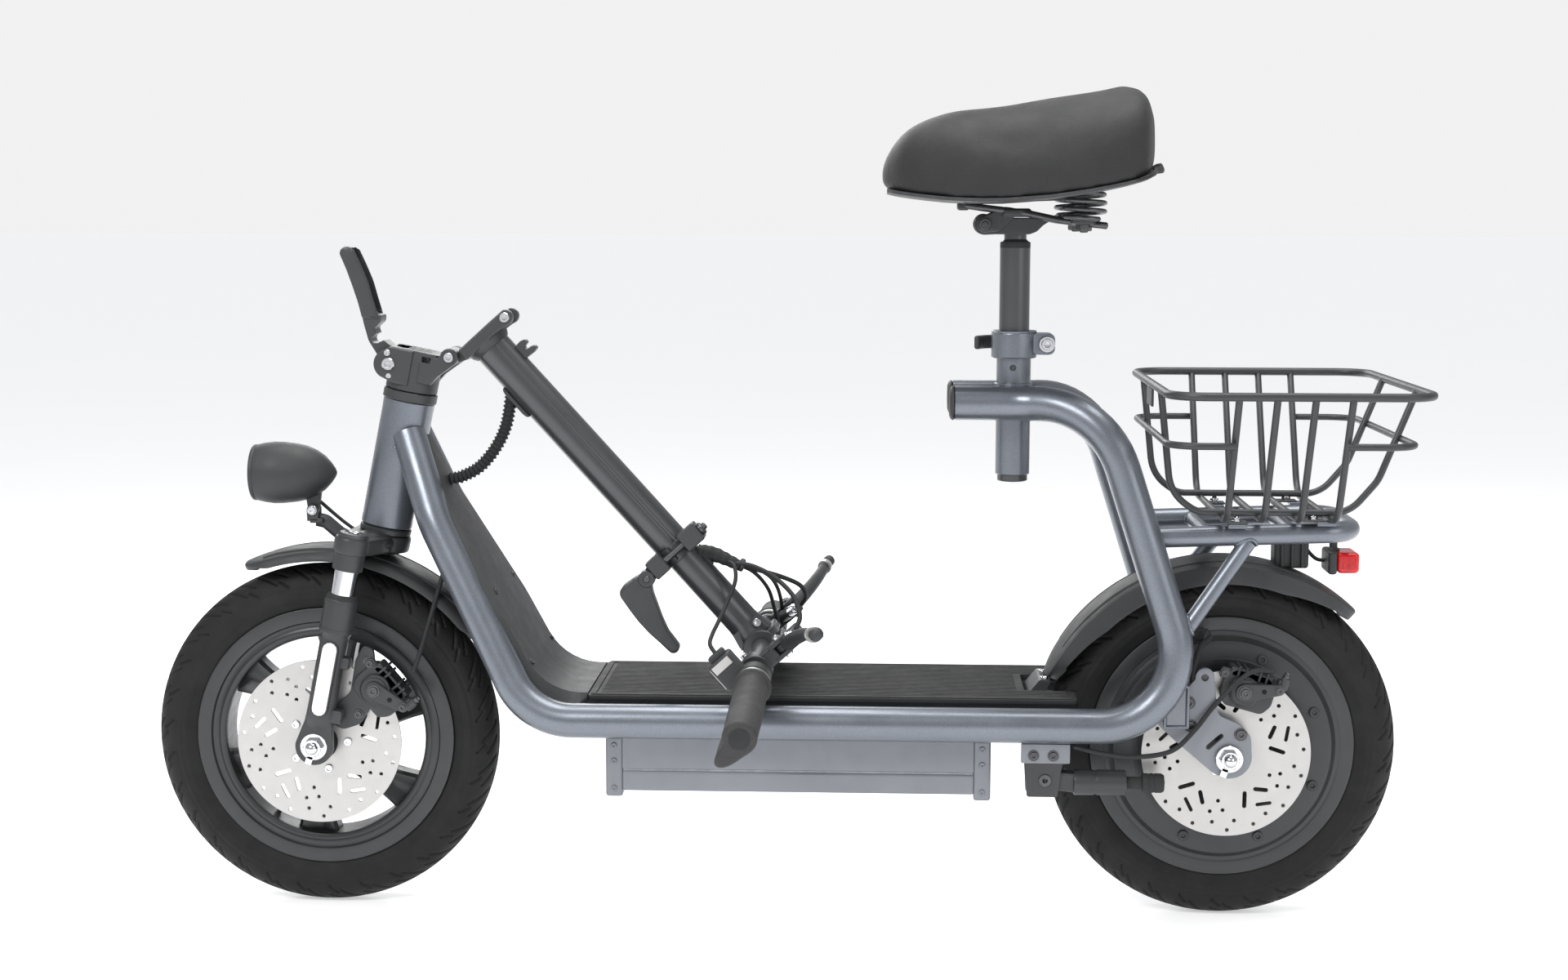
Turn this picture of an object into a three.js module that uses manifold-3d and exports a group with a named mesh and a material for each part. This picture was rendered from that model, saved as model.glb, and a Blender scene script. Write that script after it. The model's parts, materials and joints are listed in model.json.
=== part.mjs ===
// Folding seated electric scooter, shown with its stem folded down over the deck.
// Millimetres. +X runs to the rear, +Z up, -Y is the rider's left side. The origin is on the ground,
// midway between the two axles.
import * as THREE from 'three';
import { mergeVertices } from 'three/addons/utils/BufferGeometryUtils.js';
import Module from 'manifold-3d';

// ---------------------------------------------------------------- driving dimensions
const WHEELBASE = 904;
const TYRE_RADIUS = 175;
const TYRE_HALF_WIDTH = 27;
const RIM_FLANGE_RADIUS = 131;
const RIM_HALF_WIDTH = 22;
const DISC_RADIUS = 83;
const DISC_THICKNESS = 2.2;
const FRONT_DISC_Y = -46;
const REAR_DISC_Y = -53;

const HEAD_BOTTOM = [62, 0, 389.8]; // lower end of the head tube, from the front axle's ground point
const HEAD_TILT = 11.4; // degrees, leaning back
const HEAD_LENGTH = 128.5;
const HEAD_RADIUS = 25.5;
const FORK_OFFSET = -18.3; // legs ahead of the head axis
const FORK_LEG_Y = 66;
const AXLE_DROP = -222.8; // front axle along the head axis from the head tube's lower end

const HINGE_HEIGHT = 181; // hinge plane along the head axis
const FOLD_PIVOT_X = 35.4; // fold pin behind the head axis
const FOLD_ANGLE = 126.3; // degrees from riding to folded
const STEM_RADIUS = 19;
const STEM_START = 14;
const STEM_END = 290;
const BAR_HEIGHT = 425; // handlebar above the hinge plane
const BAR_RADIUS = 11;

const FRAME_TUBE_RADIUS = 17;
const DECK_TUBE_Z = 211;
const DECK_TUBE_Y = 100;
const SEAT_TUBE_X = 693;
const SEAT_POST_RADIUS = 15;
const RACK_TUBE_RADIUS = 10;

const ROUND = 14; // sides of a round bar
const GAP = 0.3; // left between faces that touch on the real scooter

const wasm = await Module();
wasm.setup();

// ---------------------------------------------------------------- finishes
const finish = (color, roughness, metalness) => ({ color, roughness, metalness });
const FRAME_PAINT = finish(0x7d848e, 0.38, 0.55);
const BLACK_METAL = finish(0x3a3b3d, 0.45, 0.4);
const BLACK_PLASTIC = finish(0x353637, 0.6, 0);
const RUBBER = finish(0x262626, 0.85, 0);
const RIM_PAINT = finish(0x46474a, 0.45, 0.4);
const BRIGHT_STEEL = finish(0xd4d5d6, 0.3, 0.9);
const CHROME = finish(0xdedede, 0.12, 1);
const CASE_PAINT = finish(0x80848c, 0.45, 0.5);
const VINYL = finish(0x48494a, 0.6, 0);
const RED_LENS = finish(0xc8191c, 0.25, 0);
const CLEAR_LENS = finish(0xdfe5ea, 0.1, 0);

// ---------------------------------------------------------------- geometry helpers
const scooter = new THREE.Group();
const fromFrontAxle = new THREE.Group(); // X counted from the front axle
fromFrontAxle.position.x = -WHEELBASE / 2;
scooter.add(fromFrontAxle);

function part(name, geometry, look, parent = fromFrontAxle) {
  const mesh = new THREE.Mesh(geometry, new THREE.MeshStandardMaterial(look));
  mesh.name = name;
  parent.add(mesh);
  return mesh;
}

function solidOf(geometry) {
  const bare = geometry.clone();
  bare.deleteAttribute('normal');
  bare.deleteAttribute('uv');
  const merged = mergeVertices(bare, 1e-3);
  return new wasm.Manifold(new wasm.Mesh({
    numProp: 3,
    vertProperties: merged.attributes.position.array,
    triVerts: new Uint32Array(merged.index.array),
  }));
}

function geometryOf(solid) {
  const mesh = solid.getMesh();
  const geometry = new THREE.BufferGeometry();
  geometry.setAttribute('position', new THREE.BufferAttribute(mesh.vertProperties, 3));
  geometry.setIndex(new THREE.BufferAttribute(mesh.triVerts, 1));
  return geometry;
}

const join = (...pieces) => geometryOf(pieces.map(solidOf).reduce((a, b) => a.add(b)));
const cut = (body, ...tools) => geometryOf(tools.map(solidOf).reduce((a, b) => a.subtract(b), solidOf(body)));
const common = (a, b) => geometryOf(solidOf(a).intersect(solidOf(b)));

const box = (x0, x1, y0, y1, z0, z1) =>
  new THREE.BoxGeometry(x1 - x0, y1 - y0, z1 - z0).translate((x0 + x1) / 2, (y0 + y1) / 2, (z0 + z1) / 2);

// A round bar between two points.
function bar(from, to, radius, sides = ROUND) {
  const a = new THREE.Vector3(...from);
  const b = new THREE.Vector3(...to);
  const geometry = new THREE.CylinderGeometry(radius, radius, a.distanceTo(b), sides);
  const turn = new THREE.Quaternion().setFromUnitVectors(
    new THREE.Vector3(0, 1, 0), b.clone().sub(a).normalize());
  return geometry.applyQuaternion(turn).translate((a.x + b.x) / 2, (a.y + b.y) / 2, (a.z + b.z) / 2);
}

// A path through given stations, which lie close together only where it bends.
class BentPath extends THREE.Curve {
  constructor(stations) {
    super();
    this.stations = stations;
    this.last = stations.length - 1;
  }

  getPoint(t, target = new THREE.Vector3()) {
    const i = Math.min(Math.floor(t * this.last + 1e-6), this.last - 1);
    return target.lerpVectors(this.stations[i], this.stations[i + 1], t * this.last - i);
  }

  getPointAt(u, target) {
    return this.getPoint(u, target);
  }

  getTangentAt(u, target = new THREE.Vector3()) {
    const i = Math.round(u * this.last);
    const here = this.stations[i];
    const into = here.clone().sub(this.stations[Math.max(i - 1, 0)]).normalize();
    const out = this.stations[Math.min(i + 1, this.last)].clone().sub(here).normalize();
    return target.copy(into).add(out).normalize();
  }
}

// Corners are [x, y, z, bend radius]. Each inner corner is rounded off with an arc.
function bentPath(corners, stepsPerBend = 5) {
  const at = corners.map(([x, y, z]) => new THREE.Vector3(x, y, z));
  const stations = [at[0]];
  for (let i = 1; i < at.length - 1; i++) {
    const back = at[i - 1].clone().sub(at[i]).normalize();
    const on = at[i + 1].clone().sub(at[i]).normalize();
    const half = back.angleTo(on) / 2;
    const reach = corners[i][3] / Math.tan(half);
    const middle = back.clone().add(on).normalize().multiplyScalar(corners[i][3] / Math.sin(half)).add(at[i]);
    const from = at[i].clone().addScaledVector(back, reach).sub(middle);
    const to = at[i].clone().addScaledVector(on, reach).sub(middle);
    const sweep = from.angleTo(to);
    for (let k = 0; k <= stepsPerBend; k++) {
      const f = k / stepsPerBend;
      const spot = from.clone().multiplyScalar(Math.sin((1 - f) * sweep) / Math.sin(sweep));
      stations.push(spot.addScaledVector(to, Math.sin(f * sweep) / Math.sin(sweep)).add(middle));
    }
  }
  stations.push(at[at.length - 1]);
  return new BentPath(stations);
}

function tube(path, radius, sides = 10) {
  const rim = Array.from({ length: sides }, (_, i) => new THREE.Vector2(
    radius * Math.cos((2 * Math.PI * i) / sides), radius * Math.sin((2 * Math.PI * i) / sides)));
  return new THREE.ExtrudeGeometry(new THREE.Shape(rim), {
    steps: path.last, bevelEnabled: false, extrudePath: path,
  });
}

const smoothTube = (points, radius, steps, sides = 8) => {
  const curve = new THREE.CatmullRomCurve3(points.map((p) => new THREE.Vector3(...p)));
  return tube(new BentPath(curve.getSpacedPoints(steps)), radius, sides);
};

// Turned about Y: the profile is [radius, y] pairs, closed on itself or starting and ending on the axis.
const turned = (profile, segments = 16) =>
  new THREE.LatheGeometry(profile.map(([r, y]) => new THREE.Vector2(r, y)), segments);
const ring = (profile, segments) => turned([...profile, profile[0]], segments);
const upright = (geometry) => geometry.rotateX(Math.PI / 2); // turns the lathe axis from Y to Z
const pipe = (inner, outer, z0, z1, segments = 18) =>
  upright(ring([[inner, z0], [outer, z0], [outer, z1], [inner, z1]], segments));

// An outline of [x, z] points, with its thickness from y0 to y1.
function plate(outline, y0, y1) {
  const shape = new THREE.Shape(outline.map(([x, z]) => new THREE.Vector2(x, z)));
  const geometry = new THREE.ExtrudeGeometry(shape, { depth: y1 - y0, bevelEnabled: false, steps: 1 });
  return geometry.rotateX(Math.PI / 2).translate(0, y1, 0);
}

const arc = (x, z, radius, fromDegrees, toDegrees, steps = 8) =>
  Array.from({ length: steps + 1 }, (_, i) => {
    const angle = THREE.MathUtils.degToRad(fromDegrees + ((toDegrees - fromDegrees) * i) / steps);
    return [x + radius * Math.cos(angle), z + radius * Math.sin(angle)];
  });

// ---------------------------------------------------------------- groups that carry the moving parts
const radians = THREE.MathUtils.degToRad;
const steering = new THREE.Group(); // local Z up the head axis, local X rearward
steering.position.set(...HEAD_BOTTOM);
steering.rotation.y = radians(HEAD_TILT);
fromFrontAxle.add(steering);

const fold = new THREE.Group();
fold.position.set(FOLD_PIVOT_X, 0, HINGE_HEIGHT);
fold.rotation.y = radians(FOLD_ANGLE);
steering.add(fold);

const stem = new THREE.Group(); // local Z up the stem from the hinge plane
stem.position.x = -FOLD_PIVOT_X;
fold.add(stem);

const frontAxle = new THREE.Group();
frontAxle.position.z = TYRE_RADIUS;
fromFrontAxle.add(frontAxle);

const rearAxle = new THREE.Group();
rearAxle.position.set(WHEELBASE, 0, TYRE_RADIUS);
fromFrontAxle.add(rearAxle);

// ---------------------------------------------------------------- main frame
const headAxis = (s) => [
  HEAD_BOTTOM[0] + s * Math.sin(radians(HEAD_TILT)), 0, HEAD_BOTTOM[2] + s * Math.cos(radians(HEAD_TILT))];

part('head_tube', pipe(20, HEAD_RADIUS, 0, HEAD_LENGTH), FRAME_PAINT, steering);

const mainTubeBar = (side, radius) => tube(bentPath([
  [84, side * 16, 492],
  [165, side * 86, 325, 60],
  [221, side * DECK_TUBE_Y, DECK_TUBE_Z, 69],
  [874.7, side * DECK_TUBE_Y, DECK_TUBE_Z, 72.7],
  [775.7, side * 78, 519, 86],
  [702, side * 37, 519, 60],
  [634, side * 37, 519],
], 3), radius, 10);

const headClearance = bar(headAxis(-5), headAxis(HEAD_LENGTH + 5), HEAD_RADIUS + 1, 18);
const leftSpace = mainTubeBar(-1, FRAME_TUBE_RADIUS + GAP);
const rightSpace = mainTubeBar(1, FRAME_TUBE_RADIUS + GAP);
const middle = (side) => (side < 0 ? box(-50, 1000, -300, -0.2, 0, 900) : box(-50, 1000, 0.2, 300, 0, 900));
for (const [name, side] of [['main_tube_left', -1], ['main_tube_right', 1]]) {
  part(name, cut(common(mainTubeBar(side, FRAME_TUBE_RADIUS), middle(side)), headClearance), FRAME_PAINT);
}

const seatTubeSpace = bar([SEAT_TUBE_X, 0, 430], [SEAT_TUBE_X, 0, 600], SEAT_POST_RADIUS + GAP, 16);
const SEAT_TUBE_BOTTOM = 445.6;
const SEAT_TUBE_TOP = 575;
part('seat_tube', cut(
  join(
    bar([SEAT_TUBE_X, 0, SEAT_TUBE_BOTTOM], [SEAT_TUBE_X, 0, SEAT_TUBE_TOP], FRAME_TUBE_RADIUS, 16),
    box(SEAT_TUBE_X - 13, SEAT_TUBE_X + 13, -36, 36, 500, 538)),
  seatTubeSpace, leftSpace, rightSpace), FRAME_PAINT);

const COLLAR_Z = 576;
const seatCollar = join(
  bar([SEAT_TUBE_X, 0, 562], [SEAT_TUBE_X, 0, 589], 22.5, 16),
  box(SEAT_TUBE_X + 18, SEAT_TUBE_X + 40, -13, -2.5, 565, 587),
  box(SEAT_TUBE_X + 18, SEAT_TUBE_X + 40, 2.5, 13, 565, 587),
  bar([SEAT_TUBE_X + 31.6, -25, COLLAR_Z], [SEAT_TUBE_X + 31.6, 19.6, COLLAR_Z], 6, 12));
part('seat_collar', cut(
  seatCollar,
  bar([SEAT_TUBE_X, 0, 550], [SEAT_TUBE_X, 0, SEAT_TUBE_TOP + GAP], FRAME_TUBE_RADIUS + GAP, 16),
  seatTubeSpace), BLACK_METAL);

// Luggage rack: one bent loop with two cross bars and two stays down to the main tubes.
const rackHeight = (x) => 392 + (x - 835) * 0.036;
const RACK_Y = 70;
const RACK_END = 1020;
const rackLoop = tube(bentPath([
  [822, -RACK_Y, rackHeight(822)],
  [RACK_END, -RACK_Y, rackHeight(RACK_END), 30],
  [RACK_END, RACK_Y, rackHeight(RACK_END), 30],
  [822, RACK_Y, rackHeight(822)],
]), RACK_TUBE_RADIUS);
const rackCrossBars = [880, 962].map((x) =>
  bar([x, -RACK_Y, rackHeight(x)], [x, RACK_Y, rackHeight(x)], 7, 12));
const rackStays = [-1, 1].map((side) =>
  bar([918, side * 72, 389], [852, side * 93, 298], 8, 12));
part('rear_rack', cut(join(rackLoop, ...rackCrossBars, ...rackStays), leftSpace, rightSpace), FRAME_PAINT);

// Deck: a sheet floor on cross members between the main tubes, a cover up to the head and a rubber mat.
const deckFloor = join(
  box(262, 752, -84, 84, 226, 228.6),
  ...[300, 420, 540, 660].map((x) => box(x - 12, x + 12, -82, 82, 190.6, 226.5)));
const wheelNotch = box(706, 800, -41, 41, 180, 260); // leaves room for the rear wheel and its mudguard
part('deck_floor', cut(deckFloor, leftSpace, rightSpace, wheelNotch), BLACK_METAL);
part('deck_mat', cut(box(276, 755, -88, 88, 229, 235), wheelNotch), RUBBER);

const COVER_THICKNESS = 3.5;
const coverLine = [[112, 483], [203, 296], ...arc(262, 322, 87, 206, 268, 6).slice(1), [275.6, 234.6]];
const coverOutline = [
  ...coverLine,
  ...coverLine.toReversed().map(([x, z]) => [x - COVER_THICKNESS * 0.7, z - COVER_THICKNESS]),
];
const coverFront = new THREE.ExtrudeGeometry(
  new THREE.Shape([[-30, 485], [-88, 300], [-88, 225], [88, 225], [88, 300], [30, 485]]
    .map(([y, z]) => new THREE.Vector2(y, z))),
  { depth: 200, bevelEnabled: false }).rotateX(Math.PI / 2).rotateZ(Math.PI / 2).translate(90, 0, 0);
part('front_cover', cut(common(plate(coverOutline, -90, 90), coverFront), leftSpace, rightSpace,
  headClearance), BLACK_PLASTIC);

const BATTERY = { x0: 292, x1: 672, y: 75, z0: 135, z1: 190 };
part('battery_case', cut(
  join(
    box(BATTERY.x0, BATTERY.x1, -BATTERY.y, BATTERY.y, BATTERY.z0, BATTERY.z1),
    box(BATTERY.x0, BATTERY.x0 + 17, -BATTERY.y, BATTERY.y, 129, BATTERY.z1),
    box(BATTERY.x1 - 17, BATTERY.x1, -BATTERY.y, BATTERY.y, 129, BATTERY.z1)),
  box(BATTERY.x0 + 4, BATTERY.x1 - 4, -BATTERY.y + 3, BATTERY.y - 3, BATTERY.z0 + 3, 200)), CASE_PAINT);
part('battery_pack', box(BATTERY.x0 + 8, BATTERY.x1 - 8, -BATTERY.y + 6, BATTERY.y - 6,
  BATTERY.z0 + 3.3, BATTERY.z1 - 4), BLACK_PLASTIC);

// ---------------------------------------------------------------- rear end
const dropoutOutline = [
  [840, 204], [851, 193], [893, 158], ...arc(904, 175, 20, -95, 25, 5), [917, 212], [899, 234],
  ...arc(877.5, 260.5, 10, -10, 200, 5), [850, 247], [838, 226],
];
for (const [name, side] of [['rear_dropout_left', -1], ['rear_dropout_right', 1]]) {
  const near = side * 68;
  const far = side * 74;
  const seat = side * 90;
  const outline = plate(dropoutOutline, Math.min(near, far), Math.max(near, far));
  const weldPad = plate([[838, 206], [862, 206], [862, 250], [838, 250]],
    Math.min(side * 72, seat), Math.max(side * 72, seat));
  part(name, cut(join(outline, weldPad), leftSpace, rightSpace,
    bar([904, -120, 175], [904, 120, 175], 7.3, 16)), CASE_PAINT);
}

const axleBar = (radius, halfLength, nutRadius, nutIn, nutOut) => turned([
  [0, -halfLength], [radius, -halfLength], [radius, -nutOut], [nutRadius, -nutOut + 3],
  [nutRadius, -nutIn], [radius, -nutIn], [radius, nutIn], [nutRadius, nutIn],
  [nutRadius, nutOut - 3], [radius, nutOut], [radius, halfLength], [0, halfLength]], 16);
part('rear_axle', axleBar(7, 92, 12, 74.3, 88), CHROME, rearAxle);

const TYRE_PROFILE = [
  [122, 17.8], [131.4, 17.9], [138, 24], [148, TYRE_HALF_WIDTH], [158, 24.8], [169, 16],
  [TYRE_RADIUS, 4]];
const tyreProfile = [...TYRE_PROFILE.map(([r, y]) => [r, -y]), ...TYRE_PROFILE.toReversed()];
const WHEEL_SEGMENTS = 24;
const tyre = () => ring(tyreProfile, WHEEL_SEGMENTS);

part('rear_tyre', tyre(), RUBBER, rearAxle);
part('rear_hub_motor', ring([
  [7.4, -38], [24, -38], [27, -30], [109, -28], [112, -22], [RIM_FLANGE_RADIUS, -RIM_HALF_WIDTH],
  [RIM_FLANGE_RADIUS, -18.5], [121.6, -18.2], [121.6, 18.2], [RIM_FLANGE_RADIUS, 18.5],
  [RIM_FLANGE_RADIUS, RIM_HALF_WIDTH], [112, 22], [109, 28], [27, 30], [24, 38], [7.4, 38],
], WHEEL_SEGMENTS), RIM_PAINT, rearAxle);
const brakeDisc = (y, inner) => ring([
  [inner, y - DISC_THICKNESS / 2], [DISC_RADIUS, y - DISC_THICKNESS / 2],
  [DISC_RADIUS, y + DISC_THICKNESS / 2], [inner, y + DISC_THICKNESS / 2]], WHEEL_SEGMENTS);
part('rear_brake_disc', join(
  brakeDisc(REAR_DISC_Y, 15),
  ring([[15, REAR_DISC_Y], [26, REAR_DISC_Y], [26, -38.3], [15, -38.3]], WHEEL_SEGMENTS)), BRIGHT_STEEL, rearAxle);

const DISC_SLOT = 2.4; // half-width of the gap in each caliper
part('rear_caliper', cut(
  join(
    box(890, 952, -66, -40, 226, 266),
    bar([921, -72, 243], [921, -40, 243], 15, 14)),
  box(880, 960, REAR_DISC_Y - DISC_SLOT, REAR_DISC_Y + DISC_SLOT, 210, 259.5)), BLACK_METAL);

// Mudguards are shells of revolution round the axle, kept between two angles.
const GUARD_HALF_WIDTH = 37;
function mudguard(outer, fromDegrees, toDegrees) {
  const skin = 2.6;
  const skirt = 13;
  const shell = ring([
    [outer - skirt, -GUARD_HALF_WIDTH], [outer - 5, -32], [outer, -12], [outer, 12],
    [outer - 5, 32], [outer - skirt, GUARD_HALF_WIDTH], [outer - skirt, GUARD_HALF_WIDTH - skin],
    [outer - 5 - skin, 30], [outer - skin, 11], [outer - skin, -11],
    [outer - 5 - skin, -30], [outer - skirt, -GUARD_HALF_WIDTH + skin]], 40);
  const wedge = plate([[0, 0], ...arc(0, 0, 300, fromDegrees, toDegrees, 6)], -60, 60);
  return common(shell, wedge);
}

const pylon = cut(box(952, 988, -14, 14, 345, 383),
  bar([WHEELBASE, -60, TYRE_RADIUS], [WHEELBASE, 60, TYRE_RADIUS], 188.5, 48));
part('rear_mudguard', join(mudguard(190, 46, 159).translate(WHEELBASE, 0, TYRE_RADIUS), pylon), BLACK_PLASTIC);

part('tail_light', join(
  box(1005, 1021, -21, 21, 349, 372),
  bar([1013, 0, 371], [1013, 0, 387.5], 4, 10)), BLACK_PLASTIC);
part('tail_light_lens', box(1021.3, 1036, -20, 20, 350, 371), RED_LENS);

part('kickstand_bracket', join(
  plate([[700, 178], [706, 174], [747, 174], [747, 193], [700, 193]], -99, -95),
  plate([[706, 140], [736, 140], [739, 168], [745, 174.5], [702, 174.5]], -99, -95),
  plate([[706, 140], [736, 140], [739, 168], [745, 174.5], [702, 174.5]], -78, -74),
  box(704, 745, -99, -74, 172, 178),
  bar([723.5, -101, 156.6], [723.5, -72, 156.6], 4, 12)), BLACK_METAL);

// ---------------------------------------------------------------- basket
const WIRE = 3;
const BASKET = { x0: 828.5, x1: 1074.5, rim: 537, y: 174.5, floor: 413 };
function wireLoop(x0, x1, y, z, corner, radius) {
  const xm = (x0 + x1) / 2;
  const half = (side) => tube(bentPath([
    [xm - 1, side * y, z], [x1, side * y, z, corner], [x1, -side, z]], 2), radius, 6);
  const back = (side) => tube(bentPath([
    [xm + 1, side * y, z], [x0, side * y, z, corner], [x0, -side, z]], 2), radius, 6);
  return [half(1), half(-1), back(1), back(-1)];
}
function wireRun(corners, radius = WIRE) {
  return tube(bentPath(corners, 2), radius, 5);
}
const ribs = [891, 926, 961, 995].map((x) => wireRun([
  [x, -BASKET.y, BASKET.rim - 2],
  [x, -108, BASKET.floor, 22],
  [x, 108, BASKET.floor, 22],
  [x, BASKET.y, BASKET.rim - 2]]));
const longFrames = [-78, 78].map((y) => wireRun([
  [BASKET.x0 + 1, y, BASKET.rim - 1],
  [840, y, 432, 10],
  [866, y, BASKET.floor + 5, 14],
  [1014, y, BASKET.floor + 5, 22],
  [1038, y, 446, 20],
  [BASKET.x1 - 1, y, BASKET.rim - 1]]));
const RING_Z = 490;
const RING_Y = 161;
const frontRing = wireRun([
  [891, -RING_Y, RING_Z], [830, -RING_Y, RING_Z, 28], [830, RING_Y, RING_Z, 28], [891, RING_Y, RING_Z]]);
const rearRing = wireRun([
  [995, -RING_Y, RING_Z], [1060, -RING_Y, RING_Z, 32], [1060, RING_Y, RING_Z, 32], [995, RING_Y, RING_Z]]);
part('basket', join(
  ...wireLoop(BASKET.x0, BASKET.x1, BASKET.y, BASKET.rim, 34, 3.5),
  ...ribs, ...longFrames, frontRing, rearRing), BLACK_METAL);

// ---------------------------------------------------------------- fork and steering column
const CROWN_Z = -26;
const LAMP_PIVOT = [-12, 404]; // counted from the front axle, like the lamp itself
steering.updateMatrix();
const lampArm = join(
  bar([32, 0, 372], [-5, 0, 394], 3.5, 10),
  box(-14, -1, -8, 8, 391, 397),
  ...[[4, 8], [-8, -4]].map(([from, to]) =>
    plate([...arc(...LAMP_PIVOT, 6, 0, 180, 6), [-14, 392], [-2, 392]], from, to)),
  bar([LAMP_PIVOT[0], -9, LAMP_PIVOT[1]], [LAMP_PIVOT[0], 9, LAMP_PIVOT[1]], 2, 10))
  .applyMatrix4(steering.matrix.clone().invert());
const steerer = join(
  lampArm,
  bar([0, 0, -24], [0, 0, HEAD_LENGTH + 6], 14, 14),
  bar([0, 0, -26], [0, 0, -GAP], 23, 16),
  box(-33, 17, -54, 54, CROWN_Z, -8),
  ...[-1, 1].map((side) =>
    bar([FORK_OFFSET, side * FORK_LEG_Y, -43], [FORK_OFFSET, side * FORK_LEG_Y, -6], 15, 14)),
  ...[-1, 1].map((side) =>
    bar([FORK_OFFSET, side * FORK_LEG_Y, -142], [FORK_OFFSET, side * FORK_LEG_Y, -42], 12, 14)));
part('fork_crown', steerer, BLACK_METAL, steering);

const legBore = (side) =>
  bar([FORK_OFFSET, side * FORK_LEG_Y, -160], [FORK_OFFSET, side * FORK_LEG_Y, -50], 12.4, 14);
for (const [name, side] of [['fork_leg_left', -1], ['fork_leg_right', 1]]) {
  const y = side * FORK_LEG_Y;
  const lug = side * 62;
  const lugOut = side * 72;
  part(name, cut(
    join(
      bar([FORK_OFFSET, y, -104.5], [FORK_OFFSET, y, -68], 16.5, 14),
      bar([FORK_OFFSET, y, -206], [FORK_OFFSET, y, -104], 14, 14),
      plate([...arc(FORK_OFFSET, AXLE_DROP, 19, -180, 0, 8), [FORK_OFFSET + 13, -196], [FORK_OFFSET - 13, -196]],
        Math.min(lug, lugOut), Math.max(lug, lugOut))),
    legBore(side),
    bar([FORK_OFFSET, -120, AXLE_DROP], [FORK_OFFSET, 120, AXLE_DROP], 6.3, 16)), BLACK_METAL, steering);
}
part('front_axle', axleBar(6, 86, 11, 72.3, 82), CHROME, frontAxle);

part('front_mudguard', mudguard(194, 30, 115).translate(0, 0, TYRE_RADIUS), BLACK_PLASTIC);

// ---------------------------------------------------------------- front wheel and brake
const SPOKES = 6;
const spokeOutline = [
  [16, -9], [40, -12], [70, -22], [104, -36], [106, -16], [72, -2], [44, 8], [16, 9]];
const spokes = Array.from({ length: SPOKES }, (_, i) =>
  plate(spokeOutline, -11, 11).rotateY(radians(-20 + (i * 360) / SPOKES)));
part('front_rim', cut(
  join(
    ring([
      [101, -20], [106, -RIM_HALF_WIDTH], [RIM_FLANGE_RADIUS, -RIM_HALF_WIDTH], [RIM_FLANGE_RADIUS, -18.5],
      [121.6, -18.2], [121.6, 18.2], [RIM_FLANGE_RADIUS, 18.5], [RIM_FLANGE_RADIUS, RIM_HALF_WIDTH],
      [106, RIM_HALF_WIDTH], [101, 20]], WHEEL_SEGMENTS),
    ring([[6.4, -44.5], [18, -44.5], [24, -38], [24, 30], [14, 44], [6.4, 44]], 24),
    ...spokes),
  bar([0, -60, 0], [0, 60, 0], 6.4, 16)), RIM_PAINT, frontAxle);
part('front_tyre', tyre(), RUBBER, frontAxle);
part('front_brake_disc', brakeDisc(FRONT_DISC_Y, 18.5), BRIGHT_STEEL, frontAxle);

const frontCaliper = join(
  box(44, 96, -60, -34, 204, 262),
  box(20, 50, -60, -51, 198, 216),
  bar([60, -70, 226], [60, -36, 226], 14, 14));
const leftLeg = bar([
  HEAD_BOTTOM[0] + FORK_OFFSET * Math.cos(radians(HEAD_TILT)) - 220 * Math.sin(radians(HEAD_TILT)), -FORK_LEG_Y,
  HEAD_BOTTOM[2] - FORK_OFFSET * Math.sin(radians(HEAD_TILT)) - 220 * Math.cos(radians(HEAD_TILT))], [
  HEAD_BOTTOM[0] + FORK_OFFSET * Math.cos(radians(HEAD_TILT)) - 90 * Math.sin(radians(HEAD_TILT)), -FORK_LEG_Y,
  HEAD_BOTTOM[2] - FORK_OFFSET * Math.sin(radians(HEAD_TILT)) - 90 * Math.cos(radians(HEAD_TILT))], 17, 14);
part('front_caliper', cut(frontCaliper, leftLeg,
  box(10, 86, FRONT_DISC_Y - DISC_SLOT, FRONT_DISC_Y + DISC_SLOT, 190, 270)), BLACK_METAL);

// ---------------------------------------------------------------- stem hinge
const HINGE_HALF_WIDTH = 26;
const EAR_IN = 14.3;
const LATCH_PIN = [-22.4, 162.6]; // on the base, [x, z] in the steering group
const LATCH_SWING = 22; // degrees from open to closed
const HOOK_HALF_WIDTH = 7;
const pinAlongY = (x, z, radius, halfLength, sides = 14) =>
  bar([x, -halfLength, z], [x, halfLength, z], radius, sides);
const pair = (outline, from, to) => [plate(outline, from, to), plate(outline, -to, -from)];

const hingeBase = join(
  bar([0, 0, HEAD_LENGTH + GAP], [0, 0, 138], 27, 18),
  bar([0, 0, 137], [0, 0, HINGE_HEIGHT - 6], 26, 18),
  box(-24, 25, -HINGE_HALF_WIDTH, HINGE_HALF_WIDTH, HINGE_HEIGHT - 9, HINGE_HEIGHT - GAP),
  ...pair([[8, 150], [24, 150], ...arc(FOLD_PIVOT_X, HINGE_HEIGHT, 9, -30, 178, 8), [24, HINGE_HEIGHT - 3],
    [8, HINGE_HEIGHT - 3]], EAR_IN, HINGE_HALF_WIDTH),
  ...pair([[0, 146], [-20, 146], ...arc(...LATCH_PIN, 15, 250, 130, 6), [-27, 180], [0, 180]], EAR_IN, 28),
  pinAlongY(...LATCH_PIN, 5, 30));
part('hinge_base', cut(hingeBase,
  bar([0, 0, 120], [0, 0, HEAD_LENGTH + 8], 15, 14),
  box(-45, -9, -EAR_IN, EAR_IN, 148, 190),
  pinAlongY(FOLD_PIVOT_X, HINGE_HEIGHT, 4.4, 40)), BLACK_METAL, steering);

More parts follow.
